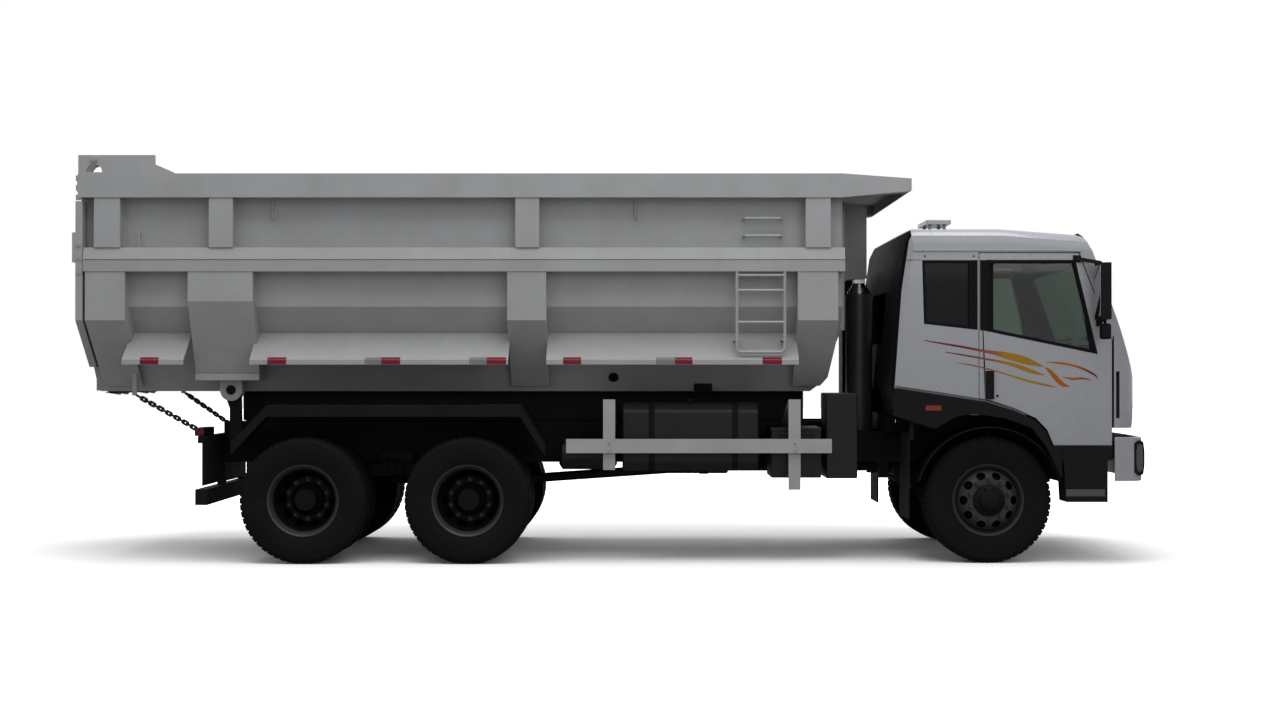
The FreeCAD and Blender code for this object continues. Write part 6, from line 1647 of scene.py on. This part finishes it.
@dataclass
class CabTrim:
    """Seals, seams, drip rail, marker lamps, wipers and grille panel of the cab."""

    window_top: float = 2.530
    quarter: tuple[Pair, ...] = ((2.590, 2.000), (2.985, 1.955), (2.985, window_top), (2.575, window_top))
    door_window: tuple[Pair, ...] = ((3.110, 1.940), (4.035, 1.749), (3.850, window_top), (3.110, window_top))
    seal_face: float = 1.2275
    seal_ease: float = 0.003
    film_y: float = 1.2254
    pane_y: float = 1.2016
    film_depth: float = 0.0008
    rail_y: float = 1.2242

    def band(self, name: str, outline: tuple[Pair, ...], width: float, inner_face: float) -> Piece:
        """Seal that follows a window's outline.

        Args:
            name: the piece's name.
            outline: the window's corners as X and Z.
            width: how wide the seal is, inwards.
            inner_face: the Y that it starts from.

        Returns:
            The seal.
        """
        corners = [(x, inner_face, z) for x, z in outline]
        return hoop(name, corners, width, (0, self.seal_face - inner_face, 0), self.seal_ease)

    def strip(self, name: str, xs: Pair, feet: Pair, y: float) -> Piece:
        """Upright film with a slanted foot beside a window.

        Args:
            name: the piece's name.
            xs: its rear and front edges.
            feet: the heights of its foot at these edges.
            y: its inner face.

        Returns:
            The film.
        """
        (x0, x1), (z0, z1) = xs, feet
        outline = [(x0, y, z0), (x1, y, z1), (x1, y, self.window_top), (x0, y, self.window_top)]
        return plate(name, outline, (0, self.film_depth, 0))

    def seals(self) -> None:
        """Rubber round the quarter and door windows."""
        quarter = self.band("quarter_seal", self.quarter, 0.022, 1.195)
        dress(both_sides(quarter), "cab", SEAL_RUBBER)
        for side in Side:
            name = "door_seal_" + side.word
            seal = self.band(name, self.door_window, 0.026, 1.185)
            corner = [(4.035, 1.2, 1.749), (3.985, 1.2, 1.758), (3.93, 1.2, 2.03), (3.965, 1.2, 2.04)]
            sail = plate("door_sail", corner, (0, 0.022, 0), 0.003)
            dress(on_side(joined(name, [seal, sail]), side), "door_" + side.word, SEAL_RUBBER)

    def seams(self) -> None:
        """Drip rail and panel seams on both sides of the cab."""
        y = self.rail_y
        rail = wire("drip_rail", [(2.50, y, 2.604), (3.72, y, 2.604), (3.90, y, 2.598)], False)
        with editing(rail, "EDGE"):
            extrude_all((0, 0, 0.016), (0, 0.012, 0))
        eased(rail, 0.003)
        dress(both_sides(rail), "cab", CAB_PAINT)
        lines = [block("seam", (2.425, 1.2246, 2.529), (2.57, 1.2254, 2.533)),
                 block("seam", (4.158, 1.2, 1.14), (4.171, 1.2262, 1.90), 0.003),
                 block("vent", (4.186, 1.2, 1.215), (4.216, 1.2264, 1.605), 0.003)]
        lines += [drum("bolt", (x, 1.2246, 2.563), (x, 1.2264, 2.563), 0.008, 12) for x in (2.597, 3.004)]
        dress(both_sides(joined("cab_seams", lines)), "cab", SEAL_RUBBER)

    def roof_lamps(self) -> None:
        """Marker lamps at the roof's front corners."""
        lamps = [block("marker", (3.885, y - 0.05, 2.715), (3.955, y + 0.05, 2.752), 0.012, 3)
                 for y in (0.0, 0.42, 1.04)]
        piece = both_sides(joined("roof_markers", lamps))
        piece.data.transform(about_y(math.radians(36.0), 3.92, 2.73))
        dress(piece, "cab", GRAINED_PLASTIC)

    def wipers(self) -> None:
        """Two wiper arms with blades, resting along the windscreen's foot."""
        parts = []
        for y in (-0.55, 0.45):
            arm = [(4.312, y, 1.765), (4.296, y + 0.12, 1.81), (4.262, y + 0.40, 1.90)]
            parts.append(drum("wiper_spindle", (4.272, y, 1.748), (4.318, y, 1.765), 0.018, 16, 0.003))
            parts.append(bent("wiper_arm", arm, 0.008, 0.03))
            parts.append(block("wiper_blade", (4.245, y + 0.10, 1.893), (4.262, y + 0.68, 1.912), 0.004))
        dress(joined("wipers", parts), "cab", GRAINED_PLASTIC)

    def front(self) -> None:
        """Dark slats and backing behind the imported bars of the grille."""
        slats = [block("slat", (4.366, -0.86, z), (4.3735, 0.86, z + 0.012), 0.001)
                 for z in (1.232, 1.250, 1.312, 1.330, 1.392, 1.410)]
        backing = block("grille_back", (4.3645, -0.87, 1.195), (4.368, 0.87, 1.46))
        dress(joined("grille_slats", slats + [backing]), "cab", SEAL_RUBBER)

    def film(self) -> None:
        """Black film between the quarter and door windows."""
        rear = self.strip("side_film", (2.983, 3.037), (1.956, 1.949), self.film_y)
        dress(both_sides(rear), "cab", SEAL_RUBBER)
        for side in Side:
            edge = self.strip("edge_film", (3.056, 3.112), (1.948, 1.939), self.film_y)
            pane = self.strip("pane_film", (3.110, 3.172), (1.936, 1.925), self.pane_y)
            piece = on_side(joined("door_film_" + side.word, [edge, pane]), side)
            dress(piece, "door_" + side.word, SEAL_RUBBER)

    def build(self) -> None:
        """Everything small on the cab."""
        self.seals()
        self.film()
        self.seams()
        self.roof_lamps()
        self.wipers()
        self.front()


@dataclass
class DoorTrim:
    """Grip, lock, mirror glass and spotter mirror of each door."""

    def add(self, name: str, parts: list[Piece], side: Side, slot: str, finish: Surface) -> None:
        """Join, mirror, dress and hang one piece of a door.

        Args:
            name: the piece's name without its side.
            parts: its meshes, modelled on the left.
            side: the door's side.
            slot: not used.
            finish: its surface.
        """
        dress(on_side(joined(name + side.word, parts), side), "door_" + side.word, finish)

    def build(self) -> None:
        """Dress both doors."""
        for side in Side:
            grip = block("handle_grip", (3.118, 1.2465, 1.44), (3.152, 1.2495, 1.60), 0.001)
            lock = drum("door_lock", (3.20, 1.2246, 1.40), (3.20, 1.2285, 1.40), 0.011, 16, 0.001)
            self.add("door_handle_", [grip, lock], side, "black_plastic", GRAINED_PLASTIC)
            pane = block("mirror_pane", (3.986, 1.318, 2.055), (3.9905, 1.495, 2.475), 0.001)
            self.add("mirror_glass_", [pane], side, "glass", MIRROR_GLASS)
            spotter = block("spotter", (4.012, 1.345, 1.868), (4.088, 1.47, 1.998), 0.022, 3)
            stalk = drum("spotter_stalk", (4.05, 1.40, 1.985), (4.05, 1.40, 2.045), 0.012, 12)
            self.add("spotter_mirror_", [spotter, stalk], side, "black_plastic", GRAINED_PLASTIC)


@dataclass
class Interior:
    """Seats, dashboard, steering wheel and inner mirror seen through the glass."""

    seat_y: float = 0.64
    bolster_y: float = 0.225
    floor_z: float = 1.29
    dash_half: float = 1.055
    wheel_radius: float = 0.215
    wheel_wire: float = 0.015
    wheel_at: Pair = (3.80, 1.86)
    wheel_tilt: float = math.radians(-48)

    def seat(self) -> Piece:
        """Left seat with bolsters and headrest."""
        y = self.seat_y
        parts = [block("seat_base", (2.80, y - 0.21, 1.30), (3.22, y + 0.21, 1.50), 0.02),
                 block("cushion", (2.765, y - 0.25, 1.50), (3.285, y + 0.25, 1.618), 0.05, 4)]
        for middle in (y - self.bolster_y, y + self.bolster_y):
            parts.append(block("bolster", (2.80, middle - 0.03, 1.56), (3.26, middle + 0.03, 1.64), 0.028, 4))
        for name, half, ease, section in (
                ("seat_back", 0.235, 0.04, ((2.765, 1.60), (2.875, 1.60), (2.79, 2.10), (2.70, 2.10))),
                ("headrest", 0.14, 0.03, ((2.70, 2.12), (2.775, 2.12), (2.76, 2.295), (2.67, 2.295)))):
            outline = [(x, y - half, z) for x, z in section]
            parts.append(plate(name, outline, (0, 2 * half, 0), ease, 4))
        return joined("seat", parts)

    def steering_wheel(self) -> Piece:
        """Rim, spokes and hub on its column at the left."""
        deselect()
        bpy.ops.mesh.primitive_torus_add(major_radius=self.wheel_radius, minor_radius=self.wheel_wire,
                                         major_segments=48, minor_segments=12)
        rim = settled(bpy.context.object, "wheel_rim")
        parts = [rim, drum("wheel_hub", (0, 0, -0.03), (0, 0, 0.014), 0.055, 24, 0.006)]
        for turn in (math.radians(200), math.radians(340), math.radians(90)):
            spoke = block("wheel_spoke", (0.03, -0.018, -0.012), (0.212, 0.018, 0.0), 0.005)
            spoke.data.transform(Matrix.Rotation(turn, 4, "Z"))
            parts.append(spoke)
        wheel = joined("steering_wheel", parts)
        x, z = self.wheel_at
        tilt = Matrix.Rotation(self.wheel_tilt, 4, "Y")
        wheel.data.transform(Matrix.Translation((x, self.seat_y, z)) @ tilt)
        column = drum("steering_column", (3.98, self.seat_y, 1.70), (3.815, self.seat_y, 1.848), 0.03, 20)
        return joined("steering_wheel", [wheel, column])

    def dash(self) -> Piece:
        """Dashboard with an instrument hood and centre console."""
        section = ((3.955, 1.62), (3.925, 1.735), (4.0, 1.835), (4.118, 1.797), (4.186, 1.66), (4.195, 1.62))
        outline = [(x, -self.dash_half, z) for x, z in section]
        parts = [plate("dash_top", outline, (0, 2 * self.dash_half, 0), 0.025, 3),
                 block("dash_foot", (4.045, -0.595, self.floor_z), (4.195, 0.595, 1.63), 0.01),
                 block("instrument_hood", (3.90, 0.44, 1.74), (4.04, 0.84, 1.868), 0.03, 3),
                 block("centre_console", (3.90, -0.2, 1.62), (4.05, 0.2, 1.80), 0.02, 3)]
        for y in (-0.75, -0.3, 0.3, 0.95):
            parts.append(block("vent", (3.915, y - 0.07, 1.76), (3.95, y + 0.07, 1.80), 0.006))
        lever = bent("gear_lever", [(3.55, 0.2, 1.50), (3.56, 0.2, 1.72), (3.62, 0.2, 1.78)], 0.009, 0.04)
        knob = drum("gear_knob", (3.61, 0.2, 1.77), (3.66, 0.2, 1.82), 0.02, 16, 0.008)
        return joined("dashboard", parts + [lever, knob])

    def build(self) -> None:
        """Everything in the cab."""
        seat = self.seat()
        seats = joined("seats", [seat, copied(seat, MIRROR)])
        dress(seats, "cab", SEAT_CLOTH, ["cab_interior"])
        dash = joined("dashboard", [self.dash(), self.steering_wheel()])
        dress(dash, "cab", CABIN_PLASTIC)
        mirror = [block("inner_mirror", (3.745, -0.13, 2.42), (3.77, 0.13, 2.50), 0.012, 3),
                  drum("inner_mirror_stalk", (3.76, 0.0, 2.50), (3.80, 0.0, 2.66), 0.007, 10)]
        dress(joined("inner_mirror", mirror), "cab", SEAL_RUBBER)
        visor = [block("visor", (3.76, y - 0.2, 2.52), (3.775, y + 0.2, 2.66), 0.006) for y in (-0.6, 0.6)]
        dress(joined("sun_visors", visor), "cab", LINING)


# Chassis

@dataclass
class ChassisTrim:
    """Lamps, straps, hoses, bolts and treads along the frame."""

    side_plane: float = 1.2485
    tail_lens_x: Pair = (-3.5255, -3.5195)
    tail_lens_z: Pair = (1.067, 1.123)
    tail_lens_half: float = 0.048
    corner_y: float = 1.2395
    corner_middle: Pair = (4.3765, 0.886)
    lens_lift: float = 0.0067
    corner_shrink: Pair = (0.66, 0.78)
    corner_outline: tuple[Pair, ...] = (
        (4.345, 0.752), (4.375, 0.735), (4.408, 0.752), (4.418, 0.83), (4.418, 0.94), (4.408, 1.02),
        (4.375, 1.035), (4.345, 1.02), (4.335, 0.94), (4.335, 0.83))
    bowl_ys: Pair = (0.93, 1.07)
    chamber_z: float = 0.62
    strap_xs: Pair = (0.30, 1.00)
    strap_width: float = 0.05
    strap_thickness: float = 0.012
    strap_outline: tuple[Pair, ...] = (
        (0.52, 0.838), (0.588, 0.768), (1.052, 0.768), (1.122, 0.838), (1.122, 1.272), (1.052, 1.342),
        (0.588, 1.342), (0.518, 1.272))
    hose_y: float = 0.35
    hose: float = 0.012
    small_hose: float = 0.009
    tread_y: float = 1.2492
    tie_wire: float = 0.009
    tie_bend: float = 0.016

    def marker(self) -> None:
        """Amber side markers on the wing flares."""
        case = block("side_marker", (2.60, 1.240, 1.276), (2.73, self.side_plane, 1.322), 0.004)
        dress(both_sides(case), "chassis", AMBER_LENS)

    def tail_lamps(self) -> None:
        """Lenses on the tail lamp boxes and the bare number plate."""
        red, amber, clear = [], [], []
        (x0, x1), (z0, z1), half = self.tail_lens_x, self.tail_lens_z, self.tail_lens_half
        for y, group in ((0.76, red), (0.87, clear), (0.98, amber)):
            group.append(block("tail_lens", (x0, y - half, z0), (x1, y + half, z1), 0.003))
        red.append(block("tail_reflector", (-3.494, 0.98, 1.006), (-3.4895, 1.05, 1.05), 0.001))
        red.append(block("side_reflector", (-3.515, 1.0495, 1.072), (-3.445, 1.0512, 1.118), 0.0005))
        for name, parts, finish in (("tail_red", red, RED_LENS), ("tail_clear", clear, CLEAR_LENS),
                                    ("tail_amber", amber, AMBER_LENS)):
            dress(both_sides(joined(name, parts)), "chassis", finish)
        board = block("tail_plate", (-3.4935, -0.22, 0.99), (-3.4905, 0.22, 1.06), 0.002)
        dress(board, "chassis", GUARD_PAINT)

    def headlamps(self) -> None:
        """Corner lamps in the bumper: black bezel, bright bowls and a clear lens."""
        outline = [(x, self.corner_y, z) for x, z in self.corner_outline]
        bezel = plate("lamp_bezel", outline, (0, 0.007, 0), 0.003)
        dress(both_sides(bezel), "chassis", SEAL_RUBBER)
        (middle_x, middle_z), (across, up) = self.corner_middle, self.corner_shrink
        y = self.corner_y + self.lens_lift
        small = [(middle_x + across * (x - middle_x), y, middle_z + up * (z - middle_z))
                 for x, z in self.corner_outline]
        lens = plate("corner_lens", small, (0, 0.0025, 0), 0.001)
        dress(both_sides(lens), "chassis", CORNER_LENS)
        bowls = [drum("bowl", (4.440, y, 0.885), (4.452, y, 0.885), 0.055, 28, 0.004) for y in self.bowl_ys]
        dress(both_sides(joined("lamp_bowls", bowls)), "chassis", LAMP_BOWL)

    def brakes(self) -> None:
        """Brake chambers with their rods beside the rear axles."""
        parts = []
        z = self.chamber_z
        for axle_x in REAR_AXLE_XS:
            x = axle_x + 0.21
            parts.append(drum("chamber", (x, 0.42, z), (x, 0.54, z), 0.082, 28, 0.02))
            parts.append(drum("clamp_ring", (x, 0.472, z), (x, 0.488, z), 0.09, 28, 0.003))
            parts.append(drum("push_rod", (x, 0.54, z), (x - 0.02, 0.60, z - 0.01), 0.011, 12))
            parts.append(block("chamber_foot", (axle_x + 0.08, 0.46, z - 0.06), (x - 0.06, 0.50, z), 0.004))
        dress(both_sides(joined("brake_chambers", parts)), "chassis", AXLE_CAST)

    def tanks(self) -> None:
        """Straps and cap on the fuel tank, and the battery box's lid with its grips."""
        straps = [hoop("strap", [(x, -y, z) for y, z in self.strap_outline], self.strap_thickness,
                       (self.strap_width, 0, 0), 0.002) for x in self.strap_xs]
        cap = drum("tank_cap", (0.65, -0.9, 1.338), (0.65, -0.9, 1.372), 0.05, 28, 0.006)
        dress(joined("tank_straps", straps + [cap]), "chassis", HUB_BLACK)
        lid = block("battery_lid", (1.325, -1.084, 1.10), (1.755, -0.556, 1.132), 0.008)
        grips = []
        for x0, x1 in ((1.40, 1.48), (1.60, 1.68)):
            grip = [(x0, -1.083, 1.08), (x0, -1.10, 1.08), (x1, -1.10, 1.08), (x1, -1.083, 1.08)]
            grips.append(bent("lid_grip", grip, 0.005, 0.01))
        dress(joined("battery_lid", [lid] + grips), "chassis", TANK_PAINT)

    def hoses(self) -> None:
        """Brake and electric lines along the rails and down to the axles."""
        lines = []
        for side in (1, -1):
            y = side * self.hose_y
            long_run = [(-3.3, y, 1.02), (-1.9, y, 1.03), (-0.4, y, 1.0), (1.2, y, 1.02), (2.6, y, 0.99)]
            lines.append(tube("line", Line.SMOOTH, long_run, self.hose))
            short_runs = [[(-3.3, y, 0.98), (-1.6, y, 0.97), (0.1, y, 0.99), (2.4, y, 0.96)]]
            for x in REAR_AXLE_XS:
                short_runs.append([(x + 0.25, y, 0.98), (x + 0.22, y, 0.86), (x + 0.14, side * 0.40, 0.72),
                                   (x + 0.08, side * 0.42, 0.60)])
            short_runs.append([(2.95, y, 0.97), (3.0, side * 0.45, 0.80), (3.08, side * 0.62, 0.62),
                               (3.12, side * 0.74, 0.56)])
            lines += [tube("drop", Line.SMOOTH, run, self.small_hose) for run in short_runs]
        dress(joined("hoses", lines), "chassis", SEAL_RUBBER)

    def treads(self) -> None:
        """Pale tread plates on the cab steps and bolts of the guard rails."""
        plates = [block("step_tread", (3.762, 1.10, 0.566), (4.09, self.tread_y, 0.575), 0.002),
                  block("step_nose", (3.764, 1.2448, 0.57), (4.088, self.tread_y, 0.625), 0.002)]
        dress(both_sides(joined("step_treads", plates)), "chassis", STEP_METAL)
        bolts = []
        for x in (-0.029, 1.515):
            for z in (0.955, 1.012):
                bolts.append(drum("guard_bolt", (x, 1.239, z), (x, self.side_plane, z), 0.012, 6, 0.002))
        dress(both_sides(joined("guard_bolts", bolts)), "chassis", GUARD_PAINT)

    def mounts(self) -> None:
        """Rubber cushions under the cab's rear."""
        cushion = [block("cushion", (2.452, 0.42, 1.092), (2.60, 0.56, 1.130), 0.006),
                   drum("cushion", (2.526, 0.49, 1.125), (2.526, 0.49, 1.232), 0.066, 24, 0.01)]
        dress(both_sides(joined("cab_cushions", cushion)), "chassis", FLAP_RUBBER)

    def springs(self) -> None:
        """Bow-shaped ties over the leaf springs of every axle and on the bogie's seat."""
        rear_xs = [axle_x + dx for axle_x in REAR_AXLE_XS for dx in (-0.05, 0.05)]
        ties = []
        for xs, (y0, y1), (z0, z1) in (((3.06, 3.226), (0.338, 0.432), (0.455, 0.600)),
                                       (rear_xs, (0.443, 0.548), (0.55, 0.752)),
                                       ((-1.82, -1.89, -1.96), (0.443, 0.548), (0.69, 0.835))):
            for x in xs:
                path = [(x, y0, z0), (x, y0, z1), (x, y1, z1), (x, y1, z0)]
                ties.append(bent("tie", path, self.tie_wire, self.tie_bend))
        dress(both_sides(joined("spring_ties", ties)), "chassis", HUB_BLACK)

    def build(self) -> None:
        """Everything small on the chassis."""
        self.marker()
        self.tail_lamps()
        self.headlamps()
        self.tanks()
        self.hoses()
        self.treads()
        self.mounts()
        self.springs()
        self.brakes()


# Studio

@dataclass
class Studio:
    """Pale floor, soft light and the camera at the photograph's angle."""

    eye: Point = (0.228, -15.75, 1.6)
    half_view: float = math.radians(20.125)
    pitch: float = math.radians(0.39)
    floor_half: float = 60.0
    fade: Pair = (2.6, 5.5)
    bounce: float = 0.28
    sky: float = 0.8
    key: float = 1500.0
    fill: float = 260.0

    def floor(self) -> None:
        """Plain floor that keeps the truck's shadow and reads as white farther out."""
        deselect()
        bpy.ops.mesh.primitive_plane_add(size=2 * self.floor_half, location=(0, 0, 0))
        piece = settled(bpy.context.object, "studio_floor")
        material, tree, shader = new_material("studio_white")
        seen = tree.add("LightPath").outputs["Is Camera Ray"]
        place = tree.add("TexCoord").outputs["Object"]
        reach = tree.add("VectorMath", place, (0.55, 1.0, 0.0), operation="MULTIPLY").outputs[0]
        away = tree.add("VectorMath", reach, operation="LENGTH").outputs["Value"]
        far = tree.maths("MULTIPLY", tree.ramp(away, *self.fade), seen)
        grey = (self.bounce, self.bounce, self.bounce, 1.0)
        tree.feed(shader.inputs["Base Color"], tree.mix(seen, grey, (0.9, 0.9, 0.9, 1.0)))
        shader.inputs["Roughness"].default_value = 0.95
        shader.inputs["Specular IOR Level"].default_value = 0.0
        shader.inputs["Emission Color"].default_value = (1.0, 1.0, 1.0, 1.0)
        tree.feed(shader.inputs["Emission Strength"], far)
        piece.data.materials.append(material)

    def world(self) -> None:
        """Even sky that the camera sees as white."""
        world = bpy.data.worlds.new("studio_sky")
        bpy.context.scene.world = world
        world.use_nodes = True
        tree = Tree(world.node_tree)
        light = world.node_tree.nodes["Background"]
        path = tree.add("LightPath")
        seen = tree.maths("MAXIMUM", path.outputs["Is Camera Ray"], path.outputs["Is Transmission Ray"])
        strength = tree.ramp(seen, 0.0, 1.0, self.sky, 1.0)
        tree.feed(light.inputs["Strength"], strength)
        light.inputs["Color"].default_value = (1.0, 1.0, 1.0, 1.0)

    def lamp(self, name: str, place: Point, aim: Point, size: float, power: float) -> None:
        """Add one soft area lamp.

        Args:
            name: its name.
            place: where it hangs.
            aim: the point that it faces.
            size: its width.
            power: its power in watts.
        """
        light = bpy.data.lights.new(name, "AREA")
        light.shape = "SQUARE"
        light.size = size
        light.energy = power
        item = bpy.data.objects.new(name, light)
        bpy.context.scene.collection.objects.link(item)
        item.location = place
        item.rotation_euler = (Vector(aim) - Vector(place)).to_track_quat("-Z", "Y").to_euler()

    def camera(self) -> None:
        """Camera with the photograph's place, angle and width of view."""
        data = bpy.data.cameras.new("photo_camera")
        data.lens = data.sensor_width / 2 / math.tan(self.half_view)
        data.clip_end = 400.0
        item = bpy.data.objects.new("photo_camera", data)
        bpy.context.scene.collection.objects.link(item)
        item.location = self.eye
        item.rotation_euler = (math.pi / 2 + self.pitch, 0.0, 0.0)
        bpy.context.scene.camera = item

    def build(self) -> None:
        """Set up the whole studio."""
        self.camera()
        self.world()
        self.floor()
        self.lamp("top_light", (0.0, -2.0, 11.0), (0.0, 0.0, 1.5), 12.0, self.key)
        self.lamp("front_light", (6.0, -14.0, 7.0), (0.0, 0.0, 1.5), 8.0, self.fill)
        bpy.context.scene.view_settings.view_transform = "Standard"


def main() -> None:
    """Build the truck's looks and the studio in order."""
    logging.basicConfig(level=logging.INFO, format="%(name)s: %(message)s")
    Studio().build()
    for panel in panels():
        panel.build()
        LOG.info("panel %s", panel.node)
    assemblies = (CabShell(), Doors(), Windows(), Wheels(), Ladder(), BedTrim(), Chains(), Stripes(),
                  CabTrim(), DoorTrim(), Interior(), ChassisTrim())
    for assembly in assemblies:
        assembly.build()
        LOG.info("assembly %s", type(assembly).__name__)


if __name__ == "__main__":
    main()
